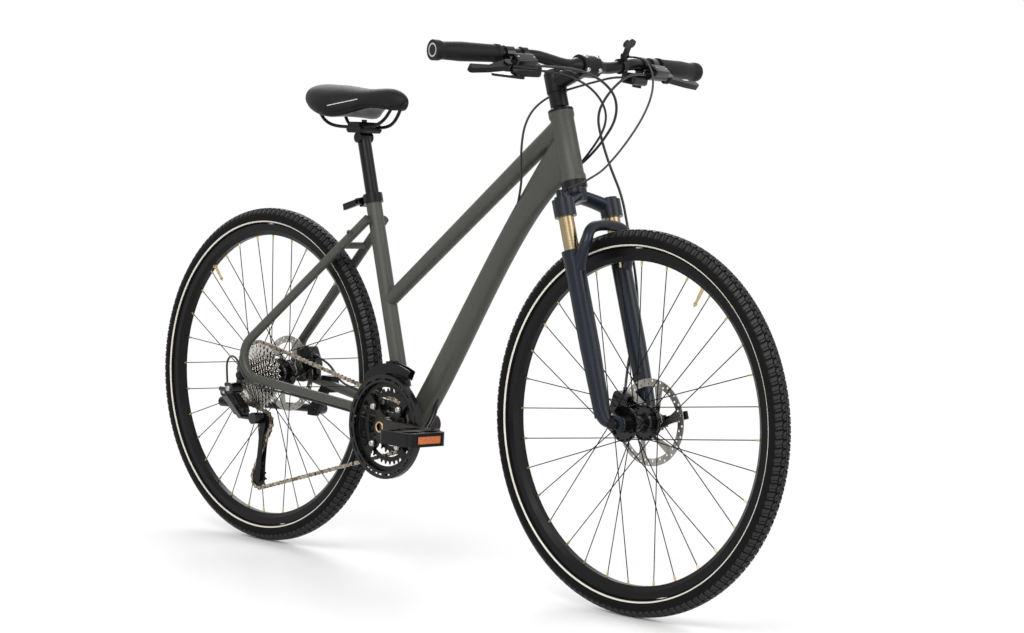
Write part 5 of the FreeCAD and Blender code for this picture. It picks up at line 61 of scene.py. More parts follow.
# Places and directions at rest, in metres; those of the grip and lever are the right one's
FRONT_AXLE = Vector((0.525, 0, 0.351))
REAR_AXLE = Vector((-0.525, 0, 0.351))
SHELL_CENTRE = Vector((-0.0857837, 0, 0.286))
BAR_CENTRE = Vector((0.3655, 0, 0.9948))
GRIP_END = Vector((0.325188, -0.348973, 1.003813))
GRIP_AXIS = Vector((-0.1622, -0.9867, -0.0135))
LEVER_CENTRE = Vector((0.351138, -0.191107, 1.005975))
LEVER_AHEAD = Vector((0.7742, -0.1187, -0.6217))
LEVER_UP = Vector((0.6118, -0.1113, 0.7831))
STEER_FOOT = Vector((0.48494, 0, 0.33837))
STEER_UP = Vector((-0.300706, 0, 0.953717))
STEER_AHEAD = Vector((0.953717, 0, 0.300706))
AHEAD, LEFT, UP = Vector((1, 0, 0)), Vector((0, 1, 0)), Vector((0, 0, 1))
WHEELS = (("front", FRONT_AXLE), ("rear", REAR_AXLE))
SIDES = (("right", -1), ("left", 1))


# Colours and node trees
def linear(text):
    """An sRGB hex colour as linear red, green and blue, with full alpha."""
    shares = [int(text[at:at + 2], 16) / 255 for at in (1, 3, 5)]
    return tuple(v / 12.92 if v <= 0.04045 else ((v + 0.055) / 1.055) ** 2.4 for v in shares) + (1.0,)


def add(tree, kind, inputs=None, **settings):
    """Adds a node with its settings, and sets or links its inputs; a node stands for its first output."""
    made = tree.nodes.new(kind)
    for key, value in settings.items():
        setattr(made, key, value)
    for key, value in (inputs or {}).items():
        if isinstance(value, bpy.types.Node):
            value = value.outputs[0]
        if isinstance(value, bpy.types.NodeSocket):
            tree.links.new(value, made.inputs[key])
        else:
            made.inputs[key].default_value = value
    return made


def shade(colour, factor):
    return tuple(min(1.0, part * factor) for part in colour[:3]) + (1.0,)


def per(size):
    """How often a pattern of a size in millimetres repeats in a metre."""
    return 1 / (size * MM)


def blank(name):
    """A new material, its empty tree and the piece's own coordinates."""
    made = bpy.data.materials.new(name)
    made.use_nodes = True
    tree = made.node_tree
    tree.nodes.clear()
    return made, tree, add(tree, "ShaderNodeTexCoord").outputs["Object"]


def surface(made, inputs):
    """Ends a material with its shader, whose inputs are set or linked."""
    shader = add(made.node_tree, "ShaderNodeBsdfPrincipled", inputs)
    add(made.node_tree, "ShaderNodeOutputMaterial", {"Surface": shader})
    return made


def graded(tree, value, span, ends):
    """A colour that goes from one end to the other as a value crosses a span."""
    share = add(tree, "ShaderNodeMapRange", {"Value": value, "From Min": span[0], "From Max": span[1]})
    mixed = add(tree, "ShaderNodeMix", {0: share, 6: ends[0], 7: ends[1]}, data_type="RGBA")
    return mixed.outputs[2]


# Tone and gloss change slowly from handling: size of a patch in millimetres, and the span of its noise
HANDLED_PATCH = 35.71
HANDLED_SPAN = (0.3, 0.7)
GLOSS_SPREAD = 0.06
GRAIN_STRENGTH = 0.35
COAT_ROUGHNESS = 0.15


def handled(tree, where, roughness, grain, height):
    """The slow pattern of handling, and the shader inputs for its gloss and for a fine grain in relief."""
    slow = add(tree, "ShaderNodeTexNoise", {"Vector": where, "Scale": per(HANDLED_PATCH), "Detail": 4.0})
    fine = add(tree, "ShaderNodeTexNoise", {"Vector": where, "Scale": per(grain), "Detail": 2.0})
    low, high = HANDLED_SPAN
    gloss = add(tree, "ShaderNodeMapRange", {
        "Value": slow, "From Min": low, "From Max": high,
        "To Min": roughness - GLOSS_SPREAD, "To Max": roughness + GLOSS_SPREAD})
    relief = add(tree, "ShaderNodeBump", {
        "Height": fine, "Strength": GRAIN_STRENGTH, "Distance": height * MM})
    return slow, {"Roughness": gloss, "Normal": relief}


def radius_about(tree, where, axle):
    """Distance from a wheel's axle line, which runs along Y."""
    moved = add(tree, "ShaderNodeVectorMath", {0: where, 1: axle}, operation="SUBTRACT")
    flat = add(tree, "ShaderNodeVectorMath", {0: moved, 1: (1, 0, 1)}, operation="MULTIPLY")
    return add(tree, "ShaderNodeVectorMath", {0: flat}, operation="LENGTH").outputs["Value"]


def colours():
    return bpy.context.scene.bicycle_colours


def sizes():
    return bpy.context.scene.bicycle_sizes


# Powder coat with metal flake: matte, with a soft lift where the flake faces the light.
# The flake is drawn at 0.7 mm, coarser than the real one, so that it shows.
def powder_coat():
    made, tree, where = blank("powder_coat_anthracite")
    slow, looks = handled(tree, where, roughness=0.42, grain=0.35, height=0.03)
    flake = add(tree, "ShaderNodeTexVoronoi", {"Vector": where, "Scale": per(0.7143)})
    paint = colours().frame_paint
    tone = graded(tree, flake.outputs["Color"], (0.25, 0.75), (shade(paint, 0.88), shade(paint, 1.14)))
    return surface(made, {"Base Color": tone, "Metallic": 0.3, "Specular IOR Level": 0.25, **looks})


# Rotor steel: fine rings from grinding round the axle, 0.4 mm apart
def rotor_steel(name, axle):
    made, tree, where = blank(name)
    rings = add(tree, "ShaderNodeTexNoise", {"W": radius_about(tree, where, axle), "Scale": per(0.3846),
                                             "Detail": 3.0}, noise_dimensions="1D")
    steel = colours().steel
    tone = graded(tree, rings, (0.3, 0.7), (shade(steel, 0.78), shade(steel, 1.1)))
    relief = add(tree, "ShaderNodeBump", {"Height": rings, "Strength": 0.25, "Distance": 0.05 * MM})
    return surface(made, {"Base Color": tone, "Normal": relief, "Metallic": 1.0, "Roughness": 0.3})


# Black spoke wire with a drawn grain, and the brass nipple where it enters the rim
def spoke_wire(name, axle):
    made, tree, where = blank(name)
    reach = radius_about(tree, where, axle)
    at_rim = add(tree, "ShaderNodeMath", {0: reach, 1: sizes().nipple_from}, operation="GREATER_THAN")
    tone = add(tree, "ShaderNodeMix", {0: at_rim, 6: colours().spoke, 7: colours().brass}, data_type="RGBA")
    grain = add(tree, "ShaderNodeTexNoise", {"Vector": where, "Scale": per(1.111), "Detail": 2.0})
    gloss = add(tree, "ShaderNodeMapRange", {"Value": grain, "To Min": 0.22, "To Max": 0.42})
    return surface(made, {"Base Color": tone.outputs[2], "Roughness": gloss, "Metallic": 1.0})


# Oiled chain steel: bright plates with a brown oil film in patches of about 6 mm
def chain_steel():
    made, tree, where = blank("chain_steel_oiled")
    film = add(tree, "ShaderNodeTexNoise", {"Vector": where, "Scale": per(6.25), "Detail": 5.0})
    tone = graded(tree, film, (0.35, 0.62), (colours().chain_oil, colours().chain))
    gloss = add(tree, "ShaderNodeMapRange", {"Value": film, "To Min": 0.5, "To Max": 0.24})
    return surface(made, {"Base Color": tone, "Roughness": gloss, "Metallic": 0.95})


# The silver line on each flank of the saddle: middle in metres, slope, and half length and half width
PRINT_CENTRE = (-0.255, 0, 0.9225)
PRINT_SLOPE = math.radians(-15)
PRINT_HALF = (0.029, 0.0008)
PRINT_COLOUR = linear("#c9c9c6")


# Saddle skin: coated microfibre with a leather grain of 1 mm, and one short silver print on each flank
def saddle_skin():
    made, tree, where = blank("saddle_microfibre")
    cells = add(tree, "ShaderNodeTexVoronoi", {"Vector": where, "Scale": per(1.111)},
                feature="DISTANCE_TO_EDGE")
    slow = add(tree, "ShaderNodeTexNoise", {"Vector": where, "Scale": per(28.57), "Detail": 4.0})
    skin = colours().saddle
    tone = graded(tree, slow, (0.3, 0.7), (shade(skin, 0.85), shade(skin, 1.2)))
    line = add(tree, "ShaderNodeMapping", {"Vector": where, "Location": PRINT_CENTRE,
                                           "Rotation": (0, PRINT_SLOPE, 0)}, vector_type="TEXTURE")
    axes = add(tree, "ShaderNodeSeparateXYZ", {"Vector": line})
    along, near = (add(tree, "ShaderNodeMath", {0: axes.outputs[axis], 1: 0.0, 2: half}, operation="COMPARE")
                   for axis, half in zip("XZ", PRINT_HALF))
    both = add(tree, "ShaderNodeMath", {0: near, 1: along}, operation="MULTIPLY")
    printed = add(tree, "ShaderNodeMix", {0: both, 6: tone, 7: PRINT_COLOUR}, data_type="RGBA")
    relief = add(tree, "ShaderNodeBump", {"Height": cells, "Strength": 0.3, "Distance": 0.12 * MM})
    return surface(made, {"Base Color": printed.outputs[2], "Normal": relief, "Roughness": 0.5,
                          "Specular IOR Level": 0.16})


# Reflector acrylic: amber prisms of 2.4 mm under a clear face
def reflector_acrylic():
    made, tree, where = blank("amber_reflector_acrylic")
    prisms = add(tree, "ShaderNodeTexVoronoi", {"Vector": where, "Scale": per(2.381)})
    amber = colours().amber
    tone = graded(tree, prisms, (0.0, 0.6), (shade(amber, 1.25), shade(amber, 0.6)))
    relief = add(tree, "ShaderNodeBump", {"Height": prisms, "Strength": 0.6, "Distance": 0.5 * MM})
    return surface(made, {"Base Color": tone, "Normal": relief, "Roughness": 0.12, "Coat Weight": 0.6})


# The carried-over pieces of each kind of finish
FINISHED_NODES = {
    "anodised": ("bearing_cups", "seat_clamp", "seat_clamp_lever", "derailleur_inner_link",
                 "front_derailleur_clamp", "front_derailleur_link", "kickstand_mount", "kickstand_leg",
                 "front_qr_lever", "rear_qr_lever", "stem", "handlebar", "right_brake_lever",
                 "left_brake_lever"),
    "anodised_gloss": ("front_hub", "rear_hub", "derailleur_knuckle", "derailleur_outer_link",
                       "derailleur_body", "front_caliper", "rear_caliper", "brake_lever_bodies"),
    "brushed_black": ("seatpost",),
    "rim": ("front_rim", "rear_rim"),
    "black_steel": ("front_axle", "rear_axle", "derailleur_cage", "front_derailleur_cage"),
    "nickel": ("cassette",),
    "ring_steel": ("chainrings",),
    "crank": ("right_crank", "left_crank"),
    "fork_paint": ("fork_crown", "fork_lowers"),
    "gold": ("stanchions",),
    "grip": ("grips",),
    "abs": ("chain_guard", "right_thumb_lever", "left_thumb_lever", "shifter_bodies", "lockout_remote_lever",
            "lockout_spool"),
    "resin": ("saddle_base", "right_pedal", "left_pedal", "guide_pulley", "tension_pulley"),
}
# Each kind: name, colour, metallic, roughness, grain and relief in millimetres, mottle, coat and gleam
SURFACES = {
    # sand-blasted and anodised aluminium: satin, with a fine blast grain
    "anodised": ("anodised_aluminium_black", "black_alloy", 0.4, 0.32, 0.4, 0.03, 0.12, 0.0, 0.26),
    # cast and painted alloy: a glossy skin over a faint casting ripple
    "anodised_gloss": ("painted_alloy_gloss_black", "gloss_black", 0.0, 0.16, 1.2, 0.04, 0.12, 0.2, 0.3),
    # drawn and anodised tube: satin, with finer lines than a blasted one
    "brushed_black": ("anodised_aluminium_drawn", "black_alloy", 0.6, 0.3, 0.25, 0.04, 0.15, 0.0, 0.4),
    # anodised rim: satin black with a dim sheen along its bends
    "rim": ("anodised_rim_black", "rim", 0.3, 0.34, 0.4, 0.03, 0.1, 0.0, 0.2),
    # oiled black oxide on steel: dark, with soft bright edges
    "black_steel": ("blackened_steel", "black_steel", 0.6, 0.3, 0.5, 0.04, 0.15, 0.0, 0.4),
    # nickel-plated sprockets: bright, with a brushed haze
    "nickel": ("nickel_plated_steel", "nickel", 1.0, 0.24, 0.3, 0.04, 0.14, 0.0, 0.5),
    # dark plated ring steel: nearly black, bright where it faces a lamp
    "ring_steel": ("dark_ring_steel", "ring", 0.7, 0.3, 0.4, 0.04, 0.18, 0.0, 0.4),
    # forged and anodised arms: warm brown-black with a soft sheen
    "crank": ("forged_crank_alloy", "crank", 0.75, 0.3, 0.4, 0.03, 0.1, 0.0, 0.4),
    # paint over magnesium castings: blue-black under a thin clear coat
    "fork_paint": ("fork_paint_blue_black", "fork", 0.1, 0.3, 1.4, 0.05, 0.08, 0.1, 0.22),
    # hard-coated inner tubes: pale champagne, polished
    "gold": ("gold_hard_coat", "gold", 1.0, 0.26, 0.3, 0.01, 0.05, 0.0, 0.5),
    # soft grip rubber: dull, with a fine moulded pebble
    "grip": ("moulded_grip_rubber", "grip", 0.0, 0.45, 0.9, 0.25, 0.12, 0.0, 0.12),
    # moulded ABS covers: smooth and half glossy
    "abs": ("moulded_abs_black", "abs", 0.0, 0.24, 0.6, 0.05, 0.1, 0.0, 0.28),
    # glass-filled resin: dull, with the mould's spark grain
    "resin": ("moulded_resin_black", "resin", 0.0, 0.4, 0.5, 0.1, 0.12, 0.0, 0.18),
    # bright machine screws: turned steel with a fine lathe line
    "bright_steel": ("bright_screw_steel", "nickel", 1.0, 0.22, 0.3, 0.02, 0.06, 0.0, 0.5),
    # moulded tyre rubber: dull, greyer where the mould's release film stays
    "tyre": ("moulded_tyre_rubber", "tyre", 0.0, 0.6, 0.7, 0.12, 0.22, 0.0, 0.08),
    # tread rubber: a little greyer and glossier on the blocks than the casing between them
    "tread": ("moulded_tread_rubber", "tread", 0.0, 0.48, 0.7, 0.1, 0.2, 0.0, 0.3),
    # glass-bead film on the tyre's wall: pale, with a faint grain
    "band": ("reflective_band", "band", 0.0, 0.4, 0.4, 0.03, 0.06, 0.0, 0.5),
    # bare turned brass: pale gold with a soft lathe line
    "brass": ("brass_bare", "brass", 1.0, 0.28, 0.4, 0.02, 0.08, 0.0, 0.5),
    # extruded nylon sleeve: black and half glossy
    "sleeve": ("nylon_cable_sleeve", "sleeve", 0.0, 0.32, 0.8, 0.04, 0.1, 0.0, 0.5),
}


def finish_of(kind):
    """The finish of a kind of piece, made when it is first asked for."""
    name, colour, metallic, roughness, grain, relief, mottle, coat, gleam = SURFACES[kind]
    known = bpy.data.materials.get(name)
    if known:
        return known
    made, tree, where = blank(name)
    slow, looks = handled(tree, where, roughness, grain, relief)
    base = getattr(colours(), colour)
    tone = graded(tree, slow, HANDLED_SPAN, (shade(base, 1 - mottle), shade(base, 1 + mottle)))
    return surface(made, {"Base Color": tone, "Metallic": metallic, "Coat Weight": coat,
                          "Coat Roughness": COAT_ROUGHNESS, "Specular IOR Level": gleam, **looks})


def dress(node, material):
    """Gives a carried-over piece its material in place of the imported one."""
    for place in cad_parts[node].material_slots:
        place.material = material


def node_tree(name, **inputs):
    """A new geometry tree with its named inputs, and the sockets that they come from."""
    tree = bpy.data.node_groups.new(name, "GeometryNodeTree")
    for word, kind in {"Geometry": "Geometry", **inputs}.items():
        tree.interface.new_socket(word, in_out="INPUT", socket_type="NodeSocket" + kind)
    tree.interface.new_socket("Geometry", in_out="OUTPUT", socket_type="NodeSocketGeometry")
    return tree, add(tree, "NodeGroupInput").outputs


def make_real(tree, copies, material):
    """Ends a tree of copies: makes them real and gives them their material."""
    real = add(tree, "GeometryNodeRealizeInstances", {0: copies})
    clad = add(tree, "GeometryNodeSetMaterial", {"Geometry": real, "Material": material})
    add(tree, "NodeGroupOutput", {0: clad})
    return tree


SHARP_ANGLE = math.radians(32)


def edge_tree():
    """Joins a carried-over piece's loose triangles and shades it smooth up to a sharp edge."""
    tree, start = node_tree("edge_shading")
    plain = add(tree, "GeometryNodeRemoveAttribute", {"Geometry": start["Geometry"], "Name": "custom_normal"})
    joined = add(tree, "GeometryNodeMergeByDistance", {"Geometry": plain, "Distance": 0.01 * MM})
    smooth = add(tree, "GeometryNodeSetShadeSmooth", {0: joined, "Shade Smooth": True}, domain="FACE")
    angle = add(tree, "GeometryNodeInputMeshEdgeAngle")
    sharp = add(tree, "ShaderNodeMath", {0: angle, 1: SHARP_ANGLE}, operation="GREATER_THAN")
    edges = add(tree, "GeometryNodeSetShadeSmooth", {
        0: smooth, "Selection": sharp, "Shade Smooth": False}, domain="EDGE")
    add(tree, "NodeGroupOutput", {0: edges})
    return tree


def round_tree():
    """Copies a piece round the Y axis a given number of times."""
    tree, start = node_tree("repeat_round_axle", Count="Int", Material="Material")
    row = add(tree, "GeometryNodeMeshLine", {"Count": start["Count"], "Offset": (0, 0, 0)}, mode="OFFSET")
    index = add(tree, "GeometryNodeInputIndex")
    share = add(tree, "ShaderNodeMath", {0: index, 1: start["Count"]}, operation="DIVIDE")
    angle = add(tree, "ShaderNodeMath", {0: share, 1: 2 * math.pi}, operation="MULTIPLY")
    euler = add(tree, "ShaderNodeCombineXYZ", {"Y": angle})
    turn = add(tree, "FunctionNodeEulerToRotation", {"Euler": euler})
    copies = add(tree, "GeometryNodeInstanceOnPoints", {
        "Points": row, "Instance": start["Geometry"], "Rotation": turn})
    return make_real(tree, copies, start["Material"])


def screw_tree():
    """Sets a screw head on each point, along the point's axis and as large as its size."""
    tree, start = node_tree("screws_on_points", Head="Object", Material="Material")
    axis = add(tree, "GeometryNodeInputNamedAttribute", {"Name": "axis"}, data_type="FLOAT_VECTOR")
    size = add(tree, "GeometryNodeInputNamedAttribute", {"Name": "size"}, data_type="FLOAT")
    head = add(tree, "GeometryNodeObjectInfo", {"Object": start["Head"]})
    turn = add(tree, "FunctionNodeAlignRotationToVector", {"Vector": axis}, axis="Z")
    copies = add(tree, "GeometryNodeInstanceOnPoints", {
        "Points": start["Geometry"], "Instance": head.outputs["Geometry"],
        "Rotation": turn, "Scale": size})
    return make_real(tree, copies, start["Material"])


# Mesh helpers
def placed(name, data):
    """A new object in the scene."""
    made = bpy.data.objects.new(name, data)
    bpy.context.scene.collection.objects.link(made)
    return made


def new_piece(name, mesh, *materials):
    for material in materials:
        mesh.materials.append(material)
    return placed(name, mesh)


def as_mesh(name, made, bevel=0.0, segments=1):
    """Turns the faces outwards, bevels the edges where asked, and keeps the result as a mesh."""
    bmesh.ops.recalc_face_normals(made, faces=made.faces)
    if bevel:
        bmesh.ops.bevel(made, geom=list(made.edges), offset=bevel, segments=segments, affect="EDGES")
    mesh = bpy.data.meshes.new(name)
    made.to_mesh(mesh)
    made.free()
    return mesh


def loft(name, rings, closed=False):
    """A mesh through rings of points, with capped ends, or joined where the rings come full circle."""
    made = bmesh.new()
    rows = [[made.verts.new(point) for point in ring] for ring in rings]
    count = len(rows[0])
    for here, there in zip(rows, rows[1:] + rows[:1] if closed else rows[1:]):
        for step in range(count):
            after = (step + 1) % count
            made.faces.new((here[step], here[after], there[after], there[step]))
    if not closed:
        made.faces.new(rows[0])
        made.faces.new(rows[-1][::-1])
    return as_mesh(name, made)


def angles(count, start=0.0):
    """Even steps of one full turn."""
    return [start + 2 * math.pi * step / count for step in range(count)]


def about(angle, first=AHEAD, second=UP):
    """The direction at an angle from a first towards a second one."""
    return first * math.cos(angle) + second * math.sin(angle)


def turned(name, profile, segments, centre, axis=LEFT, first=AHEAD, second=UP):
    """A closed profile of (radius, along) points turned about an axis, with two directions across it."""
    rings = []
    for angle in angles(segments):
        out = about(angle, first, second)
        rings.append([centre + out * reach + axis * along for reach, along in profile])
    return loft(name, rings, closed=True)


def shade_smooth(mesh):
    mesh.polygons.foreach_set("use_smooth", [True] * len(mesh.polygons))


def mirrored(place):
    """A place or direction on the other side of the bicycle."""
    return Vector((place[0], -place[1], place[2]))


def evaluated(piece):
    """A plain mesh of a piece as its modifiers or bevel shape it."""
    graph = bpy.context.evaluated_depsgraph_get()
    return bpy.data.meshes.new_from_object(piece.evaluated_get(graph))


def settle(piece):
    """Keeps what a piece's modifiers make of it as its mesh."""
    mesh = evaluated(piece)
    piece.modifiers.clear()
    piece.data = mesh


def grow(piece, tree, values):
    """Runs a node tree on a piece and keeps the result as its mesh."""
    made = piece.modifiers.new(tree.name, "NODES")
    made.node_group = tree
    for entry in tree.interface.items_tree:
        if entry.in_out == "INPUT" and entry.name in values:
            made[entry.identifier] = values[entry.name]
    settle(piece)


def subdivide(piece):
    made = piece.modifiers.new("round", "SUBSURF")
    made.levels = made.render_levels = 1


def seat_on(node, place, aim):
    """The point where a line from a place meets a carried-over piece."""
    hit, point, normal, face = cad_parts[node].ray_cast(place, aim)
    if not hit:
        raise RuntimeError(f"no surface of {node} from {tuple(place)}")
    return point


# Screw head of unit radius, from its collar to the floor of its socket: reach, height, and six sides or round
SCREW_STEPS = ((1.12, -1.2, False), (1.12, 0.0, False), (1.0, 0.02, False), (1.0, 0.52, False),
               (0.86, 0.68, False), (0.52, 0.68, True), (0.5, 0.22, True))
SCREW_SIDES = 12


def screw_head():
    """A socket head of unit radius on a collar, about Z."""
    rings = []
    for reach, height, six_sided in SCREW_STEPS:
        ring = []
        for angle in angles(SCREW_SIDES):
            flat = max(abs(math.cos(angle - math.radians(60 * turn))) for turn in range(3))
            out = reach / flat if six_sided else reach
            ring.append((out * math.cos(angle), out * math.sin(angle), height))
        rings.append(ring)
    return new_piece("screw_head", loft("screw_head", rings))


# Tyre section as radius and half width, in millimetres, from the bead over the crown
TYRE_SECTION = ((318.0, 12.9), (319.2, 14.9), (320.6, 16.6), (323.4, 18.5), (326.5, 19.4), (331.0, 19.9),
                (335.5, 19.5), (339.0, 18.0), (342.2, 15.9), (344.6, 13.4), (346.3, 10.6), (347.5, 7.4),
                (348.1, 3.9), (348.3, 0.0))
# The section's span that carries the reflective band, and the faces round a casing
BAND_SPAN = 2
CASING_STEPS = 240
# Tread blocks of one pitch as corners of (along, across) in millimetres.
# Each is repeated on the other side, half a pitch on.
TREAD_BLOCKS = (
    ((1.0, 10.4), (8.4, 11.6), (10.6, 18.2), (3.4, 18.4)),
    ((9.6, 11.8), (14.0, 11.2), (15.2, 17.6), (11.9, 18.0)),
    ((2.2, 3.4), (8.6, 2.7), (13.0, 9.4), (5.6, 9.2)),
    ((9.8, 2.8), (14.6, 3.2), (15.4, 8.4), (13.6, 8.4)),
)
# Radius where a pitch is measured, depth that blocks are let in, and bevel, in millimetres, and outward lean
TREAD_RADIUS, TREAD_ROOT, TREAD_BEVEL, TREAD_LEAN = 350, 0.4, 0.25, 0.012
# Middle rib: half width, and the gaps it leaves at a pitch's ends along its right and left edge
RIB_HALF, RIB_RIGHT, RIB_LEFT = 1.7, (0.3, 1.2), (1.1, 0.4)


def crown_radius(across):
    """The casing's radius at a distance from the tyre's middle, in millimetres."""
    crown = TYRE_SECTION[::-1]
    return next(high + (low - high) * (across - near) / (far - near)
                for (high, near), (low, far) in zip(crown, crown[1:]) if across <= far)


def tread_unit(pitch, depth):
    """One pitch of tread: the blocks of both sides and the rib between them."""
    made = bmesh.new()
    blocks = [(corners, side, shift) for corners in TREAD_BLOCKS for side, shift in ((1, 0), (-1, pitch / 2))]
    blocks.append((((RIB_RIGHT[0], -RIB_HALF), (pitch - RIB_RIGHT[1], -RIB_HALF),
                    (pitch - RIB_LEFT[1], RIB_HALF), (RIB_LEFT[0], RIB_HALF)), 1, 0))
    for corners, side, shift in blocks:
        low, high = [], []
        for along, across in corners:
            reach = crown_radius(abs(across))
            out = about(-(along + shift) / TREAD_RADIUS)
            aside = LEFT * across * side
            low.append(made.verts.new((out * (reach - TREAD_ROOT) + aside) * MM))
            high.append(made.verts.new((out * (reach + depth) + aside * (1 + TREAD_LEAN)) * MM))
        made.faces.new(high)
        made.faces.new(low[::-1])
        for place in range(len(corners)):
            after = (place + 1) % len(corners)
            made.faces.new((low[place], low[after], high[after], high[place]))
    return as_mesh("tread_unit", made, TREAD_BEVEL * MM)


# Valve stem from the rim inwards: distance from the axle and radius, in metres, and each wheel's valve angle
VALVE_STEPS = ((0.297, 0.0055), (0.292, 0.0055), (0.2915, 0.0031), (0.272, 0.0031), (0.2715, 0.0024),
               (0.262, 0.0024), (0.2615, 0.0034), (0.257, 0.0034), (0.256, 0.0016), (0.2535, 0.0016))
VALVE_SIDES = 16
VALVE_ANGLES = {"front": math.radians(60), "rear": math.radians(132)}


def valve_stem(name, axle, out):
    """A stepped round stem along a direction from the axle."""
    across = out.cross(LEFT).normalized()
    rounds = [about(angle, across, LEFT) for angle in angles(VALVE_SIDES)]
    return loft(name, [[axle + out * reach + side * radius for side in rounds]
                       for reach, radius in VALVE_STEPS])


# Cable routes in metres: each leaves its control, and ends in its caliper, derailleur or lockout
CABLE_ROUTES = {
    "rear_hose": (
        (0.3839, -0.1415, 0.9874), (0.3901, -0.104, 0.9879), (0.405, -0.055, 0.985), (0.416, -0.012, 0.97),
        (0.42, 0.025, 0.942), (0.405, 0.045, 0.902), (0.375, 0.045, 0.862), (0.34, 0.04, 0.826),
        (0.3, 0.036, 0.798), (0.2488, 0.028, 0.7661), (0.2203, 0.009, 0.725), (0.1843, 0.009, 0.6708),
        (0.1456, 0.009, 0.6125), (0.1068, 0.009, 0.5542), (0.0681, 0.009, 0.4959), (0.0349, 0.009, 0.4459),
        (0.0097, 0.012, 0.4026), (-0.0135, 0.027, 0.364), (-0.052, 0.034, 0.341), (-0.095, 0.032, 0.326),
        (-0.14, 0.031, 0.3196), (-0.19, 0.0362, 0.3241), (-0.245, 0.0426, 0.3309), (-0.3, 0.0494, 0.3376),
        (-0.352, 0.056, 0.344), (-0.378, 0.058, 0.362), (-0.402, 0.0565, 0.384), (-0.43, 0.053, 0.393)),
    "rear_shift": (
        (0.3583, -0.1189, 0.9804), (0.3645, -0.0814, 0.9809), (0.384, -0.035, 0.968), (0.396, 0, 0.945),
        (0.398, 0.026, 0.912), (0.382, 0.036, 0.878), (0.352, 0.036, 0.842), (0.318, 0.033, 0.806),
        (0.284, 0.032, 0.776), (0.2333, 0.028, 0.7283), (0.2054, 0.002, 0.6808), (0.1722, 0, 0.6309),
        (0.1334, 0, 0.5726), (0.0947, 0, 0.5143), (0.056, 0, 0.456), (0.018, -0.002, 0.3971),
        (0.0026, -0.006, 0.3377), (-0.022, -0.009, 0.286), (-0.055, -0.012, 0.2595),
        (-0.095, -0.017, 0.259), (-0.135, -0.025, 0.279), (-0.18, -0.033, 0.2975), (-0.235, -0.041, 0.3055),
        (-0.29, -0.0478, 0.312), (-0.345, -0.0545, 0.3186), (-0.4, -0.062, 0.325), (-0.445, -0.077, 0.3295),
        (-0.4705, -0.091, 0.338), (-0.4913, -0.0945, 0.3504), (-0.5067, -0.0945, 0.3688),
        (-0.5184, -0.0935, 0.3875), (-0.5415, -0.091, 0.392), (-0.5605, -0.0865, 0.3773),
        (-0.5625, -0.084, 0.3553), (-0.561, -0.083, 0.3333)),
    "front_shift": (
        (0.3583, 0.1189, 0.9804), (0.3645, 0.0814, 0.9809), (0.328, 0.056, 0.968), (0.297, 0.038, 0.957),
        (0.264, 0.014, 0.943), (0.247, -0.015, 0.917), (0.243, -0.033, 0.884), (0.242, -0.038, 0.846),
        (0.24, -0.035, 0.808), (0.236, -0.027, 0.775), (0.2023, -0.009, 0.7069), (0.1644, -0.008, 0.6481),
        (0.1256, -0.008, 0.5897), (0.0869, -0.008, 0.5314), (0.0482, -0.008, 0.4731),
        (0.0147, -0.008, 0.4173), (0.0031, -0.004, 0.371), (-0.0024, 0.002, 0.3266), (-0.028, 0.004, 0.284),
        (-0.058, 0.003, 0.26), (-0.092, 0, 0.257), (-0.119, -0.003, 0.273), (-0.127, -0.009, 0.3),
        (-0.118, -0.021, 0.325), (-0.111, -0.0255, 0.343), (-0.111, -0.0255, 0.3639)),
    "front_hose": (
        (0.3839, 0.1415, 0.9874), (0.3901, 0.104, 0.9879), (0.389, 0.072, 0.975), (0.374, 0.05, 0.946),
        (0.354, 0.045, 0.908), (0.36, 0.054, 0.862), (0.371, 0.069, 0.812), (0.386, 0.088, 0.76),
        (0.4, 0.091, 0.706), (0.414, 0.092, 0.655), (0.428, 0.092, 0.602), (0.437, 0.089, 0.555),
        (0.44, 0.083, 0.512), (0.44, 0.071, 0.474), (0.445, 0.058, 0.442), (0.4534, 0.046, 0.408)),
    "lockout": (
        (0.3799, 0.0956, 1.0179), (0.4179, 0.0956, 1.0179), (0.443, 0.097, 0.992), (0.45, 0.092, 0.952),
        (0.444, 0.076, 0.908), (0.433, 0.052, 0.866), (0.428, 0.022, 0.832), (0.43, -0.012, 0.806),
        (0.432, -0.04, 0.793), (0.4215, -0.062, 0.7792), (0.391, -0.062, 0.7696)),
}
# Each cable's solid, length and radius, and the body and stretch over which it passes from the bar's motion
CABLES = {
    "rear_hose": ("rear_brake_hose", 1.364, 0.0025, "frame", (0.33, 0, 0.9), (0.25, 0, 0.77)),
    "rear_shift": ("shift_cables", 1.576, 0.0022, "frame", (0.33, 0, 0.9), (0.25, 0, 0.77)),
    "front_shift": ("shift_cables", 1.113, 0.0022, "frame", (0.30, 0, 0.92), (0.23, 0, 0.80)),
    "front_hose": ("fork_cables", 0.675, 0.0025, "fork_lowers", (0.37, 0, 0.74), (0.41, 0, 0.56)),
    "lockout": ("fork_cables", 0.385, 0.002, None, None, None),
}


def spline_of(name, points, shares):
    """A smooth open spline with the route's points as its control points, each as thick as its share."""
    curve = bpy.data.curves.new(name, "CURVE")
    curve.dimensions = "3D"
    curve.resolution_u = 8
    line = curve.splines.new("NURBS")
    line.points.add(len(points) - 1)
    for entry, point, share in zip(line.points, points, shares):
        entry.co = (*point, 1)
        entry.radius = share
    line.order_u = 3
    line.use_endpoint_u = True
    return curve


